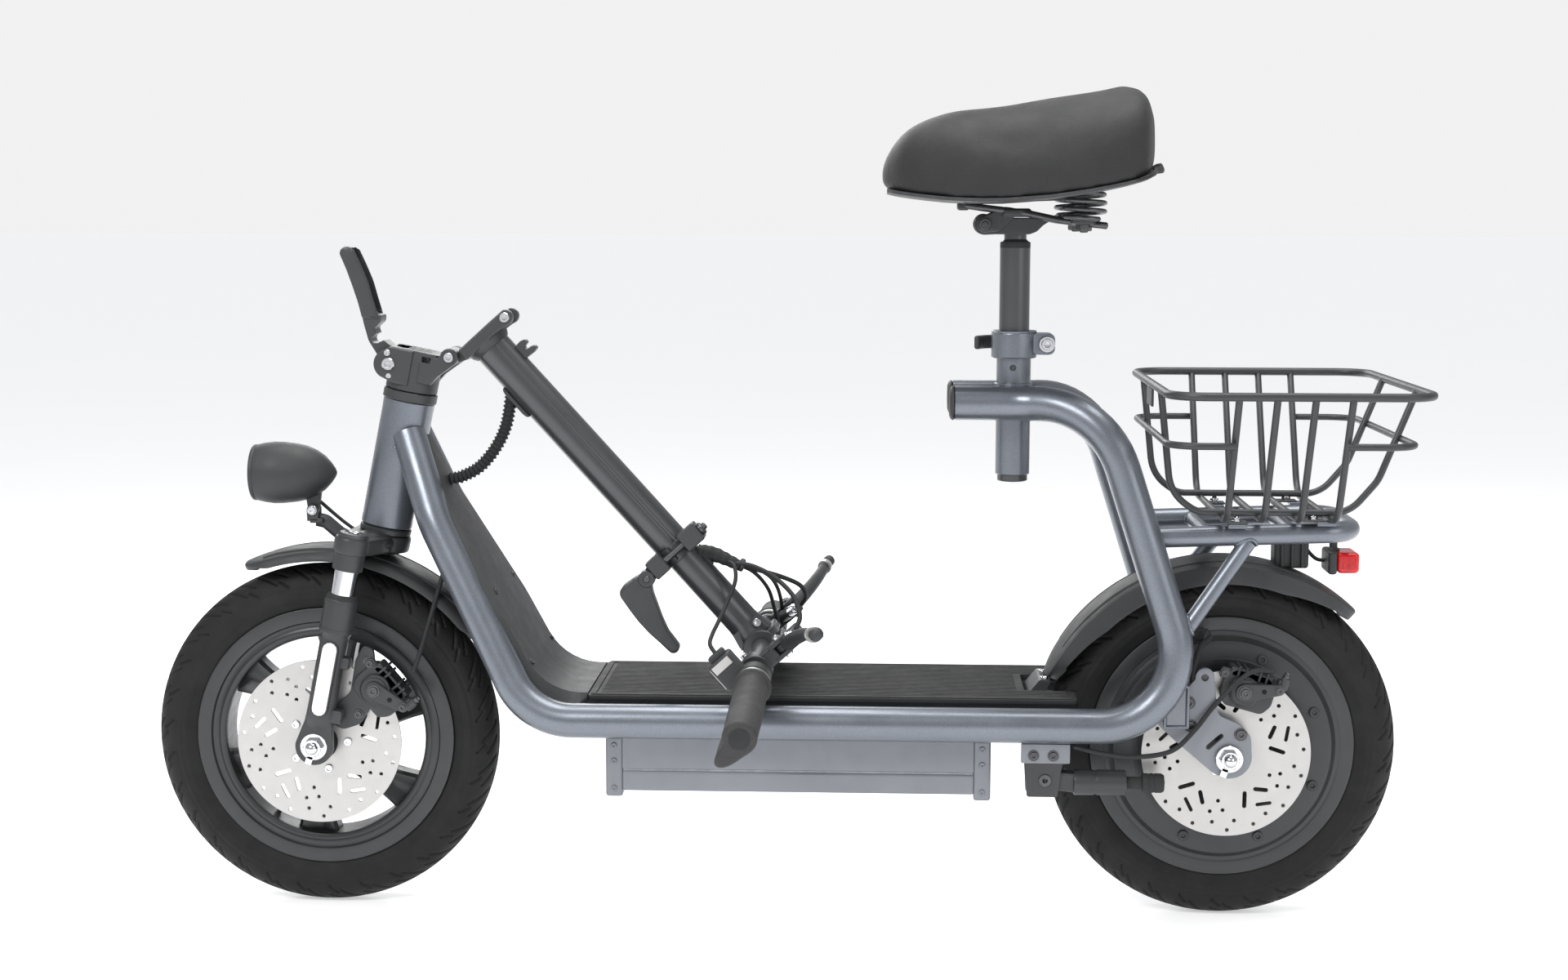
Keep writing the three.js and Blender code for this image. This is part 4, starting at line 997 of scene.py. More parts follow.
def make_rear_wheel():
    tyre = tyre_form().put(Matrix.Rotation(0.05, 4, "Z")).put(Y_AXIS)
    piece("rear_tyre_skin", tyre, REAR_WHEEL, "rear_wheel", "tyre", ["rear_tyre"], 50)
    cover = [(8, -37), (15, -38), (22, -37.6), (24.5, -36), (26.5, -31.5), (30, -30.4), (52, -29.6), (54, -28.6),
             (78, -28.2), (80, -29.2), (90, -29.2), (91, -28.6), (104, -28.2), (108, -27.2), (110.5, -23.6),
             (113, -21.4), (117, -21), (119, -22), (129.6, -22.2), (131, -21.6), (131, -19.4), (124, -18.4),
             (121.8, -16)]
    motor = lathe(cover + [(r, -h) for r, h in reversed(cover)], 160, closed=True).put(Y_AXIS)
    piece("rear_motor_shell", motor, REAR_WHEEL, "rear_wheel", "rim_paint", ["rear_hub_motor"], 30)
    screws = Form()
    for side in (-1, 1):
        for k in range(8):
            a = math.radians(45 * k + 22.5)
            screws = screws + screw((97 * math.cos(a), side * 28.3, 97 * math.sin(a)), (0, side, 0), 5.2, 2.6)
    piece("rear_motor_screws", screws, REAR_WHEEL, "rear_wheel", "black_metal")
    disc_y = 1000 * centre("rear_tyre").y + 1000 * (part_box("rear_brake_disc")[0].y) + 1.1
    disc = disc_form(16, 6, 21)
    hub = lathe([(16, 1.4), (25.5, 1.4), (26, 2), (26, 13.8), (25.5, 14.4), (16, 14.4)], 48, closed=True)
    piece("rear_disc", disc.at(0, disc_y, 0), REAR_WHEEL, "rear_wheel", "bright_steel", ["rear_brake_disc"], 30)
    piece("rear_disc_hub", hub.put(Y_AXIS).at(0, disc_y, 0), REAR_WHEEL, "rear_wheel", "rim_paint")
    screws = total([screw((21 * math.cos(a), disc_y - 1.1, 21 * math.sin(a)), (0, -1, 0), 3.4, 1.6)
                    for a in turns(6)])
    piece("rear_disc_screws", screws, REAR_WHEEL, "rear_wheel", "chrome")
    half = 1000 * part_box("rear_axle")[1].y
    shaft = rod((0, -half + 4, 0), (0, half - 4, 0), 6.8)
    nuts = axle_nut(half - 15, 1) + axle_nut(-half + 15, -1)
    piece("rear_axle_and_nuts", shaft + nuts, REAR_WHEEL, "frame", "chrome", ["rear_axle"])


make_front_wheel()
make_rear_wheel()


# ---------------------------------------------------------------- main frame
TUBE_RADIUS = 17
DECK_TUBE_Z = 211
DECK_TUBE_Y = 100
HOOP_Z = 519
HOOP_Y = 37
HOOP_END_X = 634
SEAT_TUBE_X = (GROUND.inverted() @ centre("seat_post")).x
HEAD_LENGTH = local(STEERING, "head_tube")[1].z
HEAD_RADIUS = 25.5


def head_point(height):
    """A point on the head axis, in millimetres from the front axle's ground point."""
    return GROUND.inverted() @ STEERING @ Vector((0, 0, height))


HEAD_WELD_DROP = 8  # how far below the tube's top end its weld to the head tube starts


def main_tube_path(side):
    return bent([
        (89, side * 15, 483),
        (121, side * 50, 398, 130),
        (221, side * DECK_TUBE_Y, DECK_TUBE_Z, 69),
        (874.7, side * DECK_TUBE_Y, DECK_TUBE_Z, 72.7),
        (775.7, side * 78, HOOP_Z, 86),
        (702, side * HOOP_Y, HOOP_Z, 60),
        (HOOP_END_X, side * HOOP_Y, HOOP_Z)], 12)


def make_main_frame():
    profile = [(20.5, 0), (25.2, 0), (25.7, 0.6), (25.7, 7), (HEAD_RADIUS, 7.6), (HEAD_RADIUS, HEAD_LENGTH - 7.6),
               (25.7, HEAD_LENGTH - 7), (25.7, HEAD_LENGTH - 0.6), (25.2, HEAD_LENGTH), (20.5, HEAD_LENGTH)]
    piece("head_tube_turned", lathe(profile, 72, closed=True), STEERING, "frame", "frame_paint", ["head_tube"])
    head = rod(head_point(-6), head_point(HEAD_LENGTH + 6), HEAD_RADIUS - 0.6, 72)
    welds = Form()
    for side, name in ((-1, "left"), (1, "right")):
        path = main_tube_path(side)
        tube = carved(sweep(path, TUBE_RADIUS, 40, up=(0, 1, 0)), head)
        piece(f"main_tube_{name}_bent", tube, GROUND, "frame", "frame_paint", [f"main_tube_{name}"])
        way = path[1] - path[0]
        line = joint_line(path[0] + way * 0.45, -way, TUBE_RADIUS, head_point(0), head_point(1) - head_point(0),
                          HEAD_RADIUS)
        crest = max(range(len(line)), key=lambda i: line[i].z)
        under = [point for point in line[crest:] + line[:crest] if point.z < path[0].z - HEAD_WELD_DROP]
        welds = welds + sweep(spread(under, 0.9), lambda step: 2.0 * RIPPLE[step % 3], 8)
        seat_line = joint_line((SEAT_TUBE_X, 0, HOOP_Z - 6), (0, side, 0), 9, (0, side * HOOP_Y, HOOP_Z), (1, 0, 0),
                               TUBE_RADIUS)
        welds = welds + bead(seat_line, 1.4)
        plug = [(0, 0), (14.2, 0), (15.6, 0.3), (16.9, 1.4), (16.9, 2.6), (15.4, 4.4), (12, 5.6), (0, 6)]
        cap = lathe(plug, 40).put(toward((HOOP_END_X, side * HOOP_Y, HOOP_Z), (0, side * HOOP_Y, HOOP_Z)))
        piece(f"hoop_cap_{name}", cap, GROUND, "frame", "black_plastic")
    piece("frame_welds", welds, GROUND, "frame", "frame_paint", sharp=80)


def make_seat_tube():
    low, high = local(GROUND, "seat_tube")
    profile = [(15.5, low.z), (16.6, low.z), (17, low.z + 0.5), (17, high.z - 0.5), (16.6, high.z), (15.5, high.z)]
    pipe = lathe(profile, 56, closed=True).at(SEAT_TUBE_X, 0, 0)
    slit = block(12, 22, -1.5, 1.5, high.z - 34, high.z + 3, 0.2).at(SEAT_TUBE_X, 0, 0)
    sight = rod((SEAT_TUBE_X - 1.5, -30, 552.3), (SEAT_TUBE_X - 1.5, -10, 552.3), 3.2)
    pipe = carved(pipe, slit, sight)
    bridge_outline = rounded([(-15, -34), (15, -34), (15, 34), (-15, 34)], 7)
    bridge = flat(bridge_outline, 504, 508, [circle(0, 0, 15.8, 32)]) + flat(
        bridge_outline, 530, 534, [circle(0, 0, 15.8, 32)])
    ties = both(lambda side: block(-13, 13, side * 22 - 2, side * 22 + 2, 506, 532, 0.8))
    piece("seat_tube_turned", pipe, GROUND, "frame", "frame_paint", ["seat_tube"])
    piece("seat_tube_bridge", (bridge + ties).at(SEAT_TUBE_X, 0, 0), GROUND, "frame", "frame_paint")
    rings = total([bead(disc_ring(17.6, z, 40), 1.5) for z in (502.8, 535.2)])
    piece("seat_tube_welds", rings.at(SEAT_TUBE_X, 0, 0), GROUND, "frame", "frame_paint", sharp=80)


def make_seat_collar():
    profile = [(17.4, -14), (21.6, -14), (22.5, -13), (22.5, 9.5), (21.9, 10.6), (22.5, 11.5), (22.5, 12.4),
               (21.8, 13), (15.5, 13), (15.5, -0.8), (17.4, -0.8)]
    collar_z = 1000 * centre("seat_collar").z
    collar = lathe(profile, 64, closed=True)
    ears = [slab(rounded([(17, -10.5), (40, -10.5), (40, 10.5), (17, 10.5)], 7), low, low + 10.2,
                 [circle(31.6, 0, 4.2)], 1.0) for low in (-12.8, 2.6)]
    collar = carved(collar, block(10, 30, -2.4, 2.4, -16, 16, 0.2)) + total(ears)
    placed = Matrix.Translation((SEAT_TUBE_X, 0, collar_z))
    piece("seat_collar_clamp", collar.put(placed), GROUND, "frame", "frame_paint", ["seat_collar"])
    bolt = rod((31.6, -19, 0), (31.6, 17, 0), 4, 24) + screw((31.6, -19.2, 0), (0, -1, 0), 6, 5.2, 8)
    bolt = bolt + lathe([(4.2, 0), (7.5, 0), (7.5, 1.4), (4.2, 1.4)], 28, closed=True).put(Y_AXIS).at(31.6, 12.8, 0)
    piece("seat_collar_bolt", bolt.put(placed), GROUND, "frame", "chrome")
    outer = arc(31.6, 28, 8, -95, 60, 12) + arc(0, 0, 41, 48, 158, 28) + arc(-35.7, 13.3, 3.1, 150, 330, 6)
    lever = flat(outer + arc(0, 0, 35, 155, 52, 26), -6.8, 6.8, [circle(31.6, 28, 2.6)], 2.2)
    pin = rod((31.6, 28, -7.6), (31.6, 28, 7.6), 2.4, 20)
    piece("seat_quick_lever", lever.put(placed), GROUND, "seat_lever", "black_metal", ["seat_clamp_lever"])
    piece("seat_quick_lever_pin", pin.put(placed), GROUND, "seat_lever", "chrome")


# ---------------------------------------------------------------- luggage rack and basket
RACK_Y = 70
RACK_END = 1020
RACK_RISE = 0.036  # millimetres up for each millimetre to the rear


def rack_height(x):
    return 392 + (x - 835) * RACK_RISE


def make_rack():
    loop = bent([(822, -RACK_Y, rack_height(822)), (RACK_END, -RACK_Y, rack_height(RACK_END), 30),
                 (RACK_END, RACK_Y, rack_height(RACK_END), 30), (822, RACK_Y, rack_height(822))], 12)
    form = sweep(loop, 10, 32)
    welds = Form()
    for x in (880, 962):
        form = form + rod((x, -RACK_Y, rack_height(x)), (x, RACK_Y, rack_height(x)), 7, 28)
        for side in (-1, 1):
            line = joint_line((x, 0, rack_height(x)), (0, side, 0), 7, (x, side * RACK_Y, rack_height(x)),
                              (1, 0, RACK_RISE), 10)
            welds = welds + bead(line, 1.4)
    for side in (-1, 1):
        top, foot = Vector((918, side * 72, 389)), Vector((852, side * 93, 298))
        form = form + rod(top, foot, 8, 28)
        way = foot - top
        welds = welds + bead(joint_line(top + way * 0.3, -way, 8, (918, side * RACK_Y, rack_height(918)),
                                        (1, 0, RACK_RISE), 10), 1.6)
        tube_way = Vector((775.7 - 874.7, side * -22, HOOP_Z - DECK_TUBE_Z))
        tube_point = (874.7, side * DECK_TUBE_Y, DECK_TUBE_Z)
        welds = welds + bead(joint_line(top + way * 0.6, way, 8, tube_point, tube_way, TUBE_RADIUS), 1.8)
        welds = welds + bead(joint_line((850, side * RACK_Y, rack_height(850)), (-1, side * 0.12, -0.04), 10,
                                        tube_point, tube_way, TUBE_RADIUS), 1.8)
    for x in (905, 990):
        pad = both(lambda side: block(x - 9, x + 9, side * 78 - 9, side * 78 + 9, rack_height(x) + 8.6,
                                      rack_height(x) + 12.4, 0.8))
        form = form + pad
    piece("rear_rack_tubes", form, GROUND, "frame", "frame_paint", ["rear_rack"])
    piece("rear_rack_welds", welds, GROUND, "frame", "frame_paint", sharp=80)


BASKET_LOW, BASKET_HIGH = local(GROUND, "basket")
BASKET_RIM = BASKET_HIGH.z - 3.5
BASKET_Y = BASKET_HIGH.y - 3.5
BASKET_FLOOR = BASKET_LOW.z + 3
BASKET_X0, BASKET_X1 = BASKET_LOW.x + 3.5, BASKET_HIGH.x - 3.5
RING_Z = 490
RING_Y = 161


def make_basket():
    x0, x1, y, rim = BASKET_X0, BASKET_X1, BASKET_Y, BASKET_RIM
    middle = (x0 + x1) / 2
    loop = bent([(middle, -y, rim), (x1, -y, rim, 34), (x1, y, rim, 34), (x0, y, rim, 34), (x0, -y, rim, 34),
                 (middle + 1, -y, rim)], 10)
    form = sweep(loop[:-1], 4.1, 18, closed=True)
    welds = Form()
    for x in (891, 926, 961, 995):
        path = bent([(x, -y, rim - 1), (x, -112, BASKET_FLOOR, 34), (x, 112, BASKET_FLOOR, 34), (x, y, rim - 1)], 8)
        form = form + wire(path, 3.4)
        welds = welds + both(lambda side: knob((x, side * y, rim - 3.4), 3.6)
                             + knob((x, side * 152, RING_Z + 3), 0.1 + 3.3 * (x in (891, 995))))
        for side in (-1, 1):
            welds = welds + knob((x, side * 78, BASKET_FLOOR + 2.5), 3.5)
    for side in (-1, 1):
        path = bent([(x0 + 1, side * 78, rim), (841, side * 78, 436, 40), (867, side * 78, BASKET_FLOOR + 5, 26),
                     (1012, side * 78, BASKET_FLOOR + 5, 34), (1039, side * 78, 450, 40),
                     (x1 - 1, side * 78, rim)], 8)
        form = form + wire(path, 3.4)
        welds = welds + knob((x0 + 1, side * 78, rim - 3), 3.6) + knob((x1 - 1, side * 78, rim - 3), 3.6)
    for start, end in ((891, 830), (995, 1060)):
        path = bent([(start, -RING_Y, RING_Z), (end, -RING_Y, RING_Z, 30), (end, RING_Y, RING_Z, 30),
                     (start, RING_Y, RING_Z)], 10)
        form = form + wire(path, 3.4)
    piece("basket_wires", form + welds, GROUND, "frame", "black_metal", ["basket"], 60)
    plate_form = block(x0 - 1.6, x0 + 0.8, -22, 22, rim - 22, rim - 5, 0.8)
    piece("basket_front_plate", plate_form, GROUND, "frame", "black_metal")
    clamps, bolts = Form(), Form()
    for x in (905, 978):
        for side in (-1, 1):
            top = rack_height(x) + 12.6
            clamps = clamps + block(x - 10, x + 10, side * 78 - 8, side * 78 + 8, top, top + 2.2, 0.6)
            bolts = bolts + nut((x, side * 78, top + 2.2), (0, 0, 1), 4.6, 3.2, 2.4, 2.4)
    piece("basket_clamps", clamps, GROUND, "frame", "black_metal")
    piece("basket_clamp_nuts", bolts, GROUND, "frame", "chrome")


def knob(at, radius):
    """A small round weld blob."""
    profile = [(0, -radius * 0.8), (radius * 0.75, -radius * 0.55), (radius, 0), (radius * 0.75, radius * 0.55),
               (0, radius * 0.8)]
    return lathe(profile, 14).at(*at)


make_main_frame()
make_seat_tube()
make_seat_collar()
make_rack()
make_basket()


# ---------------------------------------------------------------- deck, covers and battery
def notched(outline_x0, outline_x1, half_width, notch_x, notch_y, radius):
    """A deck outline with a notch at its rear for the wheel."""
    return rounded([(outline_x0, -half_width), (outline_x1, -half_width), (outline_x1, -notch_y),
                    (notch_x, -notch_y), (notch_x, notch_y), (outline_x1, notch_y), (outline_x1, half_width),
                    (outline_x0, half_width)], radius)


def make_deck():
    low, high = local(GROUND, "deck_floor")
    notch_x, notch_y = 706, 41
    sheet = flat(notched(low.x, high.x, 83, notch_x, notch_y, 5), high.z - 2.6, high.z, edge=0.4)
    members = both(lambda side: block(low.x + 2, high.x - 3, side * 81.6 - 1.2, side * 81.6 + 1.2, high.z - 20,
                                      high.z - 0.6, 0.9))
    for x in (300, 420, 540, 660):
        lip = both(lambda side: block(x - 12, x + 12, side * 81 - 2, side * 81 + 2, high.z - 38, high.z - 2, 1.0))
        members = members + block(x - 12, x + 12, -80, 80, high.z - 38, high.z - 34.5, 1.0) + lip
        members = members + block(x - 12, x - 9, -80, 80, high.z - 36, high.z - 2, 0.8)
        members = members + block(x + 9, x + 12, -80, 80, high.z - 36, high.z - 2, 0.8)
    piece("deck_floor_sheet", sheet + members, GROUND, "frame", "black_metal", ["deck_floor"])
    low, high = local(GROUND, "deck_mat")
    base = flat(notched(low.x, high.x, high.y, notch_x, notch_y, 6), low.z, high.z - 1.2, edge=1.2)
    rim_width = 9
    frame_lines = Form()
    for side in (-1, 1):
        frame_lines = frame_lines + block(low.x + 4, high.x - 4, side * (high.y - 5.5) - 2.5,
                                          side * (high.y - 5.5) + 2.5, high.z - 2.4, high.z, 0.8)
    frame_lines = frame_lines + block(low.x + 3, low.x + 8, -high.y + 4, high.y - 4, high.z - 2.4, high.z, 0.8)
    ribs = Form()
    pitch = 5.2
    count = int((high.y - rim_width) / pitch)
    for k in range(-count, count + 1):
        y = k * pitch
        end = high.x - 8 if abs(y) > notch_y + 5 else notch_x - 8
        ribs = ribs + block(low.x + 12, end, y - 1.5, y + 1.5, high.z - 1.6, high.z - 0.5, 0.5, 2)
    piece("deck_mat_ribbed", base + frame_lines + ribs, GROUND, "frame", "rubber", ["deck_mat"])


COVER_TOP, COVER_KNEE = 483, 420  # heights of the front cover's tip and of its first bend
CONDUIT_EXIT = (127, 0, 436)


def make_front_cover():
    """A bent sheet from the head tube down to the deck, with rolled edges."""
    bend = bent([(103, 0, COVER_TOP), (131, 0, COVER_KNEE, 140), (233, 0, 234.6, 62), (275.6, 0, 234.6)], 14)
    line = [(point.x, point.z) for point in spread(bend, 9)]
    rows = []
    for i, (x, z) in enumerate(line):
        before, after = line[max(i - 1, 0)], line[min(i + 1, len(line) - 1)]
        length = math.hypot(after[0] - before[0], after[1] - before[1])
        out = Vector(((before[1] - after[1]) / length, 0, (after[0] - before[0]) / length))
        half = 17 + 69 * min(1, (487 - z) / 175) ** 0.9  # widens on its way down
        skirt = (5 + 17 * max(0, min(1, (340 - z) / 60))) * min(1, (277 - x) / 22)  # deeper near the deck
        ring = []
        for k in range(25):
            y = -half + 2 * half * k / 24
            crown = 2.5 * (1 - (y / half) ** 2) * min(1, (z - 234) / 60)
            ring.append(Vector((x, y, z)) + out * (crown - skirt * max(0, abs(y) / half - 0.93) / 0.07))
        under = [point - out * 3.2 for point in reversed(ring)]
        rows.append(ring + under)
    cover = loft(rows)
    piece("front_cover_moulding", cover, GROUND, "frame", "black_plastic", ["front_cover"], 30)
    screws = Form()
    for z, y in ((462, 9), (330, 54), (262, 68)):
        x = 103 + (COVER_TOP - z) * 0.444 if z > COVER_KNEE else 131 + (COVER_KNEE - z) * 0.55
        way = Vector((0.9, 0, 0.44)) if z > 270 else Vector((0.6, 0, 0.8))
        screws = screws + both(lambda side: screw(Vector((x, side * y, z)) + way * 0.6, way, 3.6, 1.8))
    piece("front_cover_screws", screws, GROUND, "frame", "black_metal")
    spot = Vector(CONDUIT_EXIT)
    boss = [(5.4, -4), (12, -4), (12.4, -3), (11, 2), (9.4, 5), (9.2, 9), (8.2, 10), (6.6, 10), (6.4, 4)]
    grommet = lathe(boss, 40, closed=True).put(toward(spot - Vector((11, 0, 5.5)), spot))
    piece("conduit_gland", grommet, GROUND, "frame", "rubber")


def make_battery():
    low, high = local(GROUND, "battery_case")
    floor_z = low.z + 6
    groove_z = 156.5
    upper = block(low.x + 16, high.x - 16, low.y, high.y, groove_z + 0.6, high.z, 2)
    lower = block(low.x + 16, high.x - 16, low.y, high.y, floor_z, groove_z - 0.6, 3)
    waist = block(low.x + 17, high.x - 17, low.y + 1.4, high.y - 1.4, groove_z - 4, groove_z + 4, 0.6)
    fins = Form()
    for k in range(12):
        x = low.x + 40 + k * 26
        fins = fins + block(x, x + 14, low.y + 12, high.y - 12, floor_z - 1.6, floor_z + 2, 0.7)
    ends = Form()
    for x in (low.x, high.x - 17):
        ends = ends + block(x, x + 17, low.y, high.y, low.z, high.z, 3)
    piece("battery_case_shell", upper + lower + waist + fins, GROUND, "frame", "case_paint", ["battery_case"])
    piece("battery_case_ends", ends, GROUND, "frame", "case_paint")
    screws = Form()
    for x in (low.x + 8.5, high.x - 8.5):
        for z in (low.z + 9, groove_z + 9, high.z - 9):
            screws = screws + both(lambda side: screw((x, side * high.y, z), (0, side, 0), 2.8, 1.5))
    for z in (low.z + 12, high.z - 12):
        screws = screws + both(lambda side: screw((low.x, side * 55, z), (-1, 0, 0), 2.8, 1.5))
    piece("battery_case_screws", screws, GROUND, "frame", "case_paint")
    port_x, port_z = low.x + 60, groove_z + 14
    port = lathe([(0, 0), (12, 0), (12.4, 0.5), (12.4, 2.6), (11, 3.6), (7.4, 4), (7, 4.6), (0, 4.8)], 40)
    tab = slab(rounded([(-4, -20), (4, -20), (3.4, -9), (-3.4, -9)], 2.4), 0.4, 2.2, edge=0.6)
    right = Matrix.Translation((port_x, high.y - 0.2, port_z))
    piece("charge_port_cap", port.put(right @ Y_AXIS) + tab.put(right), GROUND, "frame", "rubber")
    lock_x = high.x - 60
    lock = lathe([(0, 0), (9.5, 0), (10, 0.6), (10, 1.8), (8.6, 2.6), (6.8, 2.8), (6.6, 2.2), (0, 2.2)], 40)
    barrel = carved(lock, block(-4, 4, -0.8, 0.8, 1, 4, 0.1))
    piece("battery_lock", barrel.put(Matrix.Translation((lock_x, high.y - 0.2, port_z)) @ Y_AXIS), GROUND, "frame",
          "chrome")
    keep("battery_pack", "black_plastic")


# ---------------------------------------------------------------- rear end
def make_dropouts():
    outline = [(832, 210), (851, 192), (889, 160)] + arc(905, 176, 21.5, -122, 10, 14)
    outline += [(925, 197), (914, 209), (893, 218), (890, 236)]
    outline += arc(879, 255, 9.5, -10, 190, 12) + [(860, 242)]
    bolts, welds = Form(), Form()
    for side, name in ((-1, "left"), (1, "right")):
        y0, y1 = sorted((side * 68, side * 74))
        holes = [circle(904, 175, 7.6, 24), circle(879, 255, 3.4, 16), slot_hole(884, 186, 896, 197, 2.2)]
        plate_form = slab(rounded(outline, 4, 3), y0, y1, holes, 0.9)
        pad_y0, pad_y1 = sorted((side * 73, side * 86))
        pad = block(840, 861, pad_y0, pad_y1, 208, 248, 2.5)
        piece(f"rear_dropout_{name}_plate", plate_form + pad, GROUND, "frame", "case_paint",
              [f"rear_dropout_{name}"])
        for x, z in ((864, 230), (915, 199), (866, 207)):
            bolts = bolts + screw((x, side * 74, z), (0, side, 0), 5, 3.4, 6.4)
        rim = [Vector((839.5 + 22 * u, side * 86, 208 + 40 * v)) for u, v in
               ((0, 0), (0.5, 0), (1, 0), (1, 0.33), (1, 0.66), (1, 1), (0.5, 1), (0, 1), (0, 0.66), (0, 0.33))]
        welds = welds + bead(rim, 1.8)
    piece("rear_dropout_bolts", bolts, GROUND, "frame", "spring_steel")
    piece("rear_dropout_welds", welds, GROUND, "frame", "frame_paint", sharp=80)


def guard_form(outer, start, end, steps=72, skirt=13.0, taper=10):
    """A mudguard about Y: an arched skin with rolled hems, narrowing to rounded tips at both ends.

    start and end are degrees round the wheel, and the skirt runs out over taper degrees at each end.
    """
    half = [(11, -0.4), (22, -1.8), (31, -4.2), (34.5, -6.2), (36.6, -0.7 * skirt - 1), (37, -skirt)]
    section = [(-y, r) for y, r in reversed(half)] + [(0, 0)] + half
    rings = []
    for k in range(steps + 1):
        f = k / steps
        a = math.radians(start + (end - start) * f)
        near_end = min(f, 1 - f) * (end - start)
        narrow = math.sin(min(1, (near_end + 0.35) / 9) * math.pi / 2) ** 0.6
        sweep_in = min(1, (near_end + 0.2 * taper) / taper)
        top = [(y * (0.42 + 0.58 * narrow), r * (0.3 + 0.7 * sweep_in)) for y, r in section]
        under = [(y * 0.945, r - 2.4 if abs(y) < 34 else r) for y, r in reversed(top)]
        ring = [Vector(((outer + r) * math.cos(a), y, (outer + r) * math.sin(a))) for y, r in top + under]
        rings.append(ring)
    return loft(rings)


def make_rear_guard():
    outer = 190
    guard = guard_form(outer, 46.5, 158.5, 72, 24.0, 30)
    piece("rear_guard_moulding", guard, REAR_WHEEL, "frame", "black_plastic", ["rear_mudguard"], 40)
    rib = Form()
    for side in (-1, 1):
        path = [Vector(((outer - 2.6) * math.cos(a), side * 24, (outer - 2.6) * math.sin(a))) for a in
                (math.radians(60 + 88 * k / 40) for k in range(41))]
        rib = rib + wire(path, 1.5, 8)
    piece("rear_guard_ribs", rib, REAR_WHEEL, "frame", "black_plastic", sharp=60)
    low_z, high_z = 354, 383
    pylon = block(953, 987, -13.5, 13.5, low_z, high_z, 3)
    gussets = total([block(x - 1.5, x + 1.5, -17, 17, low_z + 1, high_z - 4, 1.2) for x in (960, 970, 980)])
    piece("rear_guard_pylon", pylon + gussets, GROUND, "frame", "black_plastic")
    bolts = total([nut((970, side * 8, rack_height(970) + 7.4), (0, 0, 1), 4.4, 3, 2.4, 2) for side in (-1, 1)])
    piece("rear_guard_bolts", bolts, GROUND, "frame", "chrome")
    tab = slab(rounded([(709, 227), (727, 228.6), (733, 241), (722, 243)], 2.5), -30, 30, edge=0.7)
    tab_screws = both(lambda side: screw((727, side * 18, 241.5), (0.3, 0, 1), 3.4, 2, 5))
    piece("rear_guard_tab", tab, GROUND, "frame", "black_metal")
    piece("rear_guard_tab_screws", tab_screws, GROUND, "frame", "chrome")


def make_tail_light():
    low, high = local(GROUND, "tail_light")
    split = low.x + 9
    body = block(low.x, split, -21, 21, 349, 372, 3.2, 4)
    neck = lathe([(0, 368), (6.4, 368), (6.4, 372.4), (4, 374), (4, 387.4), (0, 387.4)], 24).at(1013, 0, 0)
    piece("tail_light_body", body + neck, GROUND, "frame", "black_plastic", ["tail_light"])
    low, high = local(GROUND, "tail_light_lens")
    lens = block(split - 0.2, high.x, low.y, high.y, low.z, high.z, 4.6, 5)
    bars = Form()
    for k in range(9):
        z = low.z + 2.9 + k * 1.9
        bars = bars + block(high.x - 2, high.x - 0.05, low.y + 4.5, high.y - 4.5, z - 0.55, z + 0.55, 0.4, 2)
    for side in (-1, 1):
        for k in range(8):
            x = split + 3.4 + k * 2
            bars = bars + block(x - 0.5, x + 0.5, side * 19.2 - 0.8, side * 19.2 + 0.75, low.z + 4.6, high.z - 4.6,
                                0.3, 2)
    piece("tail_light_red_lens", lens + bars, GROUND, "frame", "red_lens", ["tail_light_lens"])
    lead = flowing([(1005.5, 4, 360), (998, 6, 361), (991, 8, 367), (986, 9, 374), (984, 9, 379)], 6)
    piece("tail_light_lead", wire(lead, 1.9), GROUND, "frame", "rubber")


make_deck()
make_front_cover()
make_battery()
make_dropouts()
make_rear_guard()
make_tail_light()


# ---------------------------------------------------------------- fork, brakes and headlight
LEG_X = -18.3
LEG_Y = 66
CROWN_LOW, CROWN_HIGH = -26, -8
AXLE_S = (STEERING.inverted() @ centre("front_tyre")).z


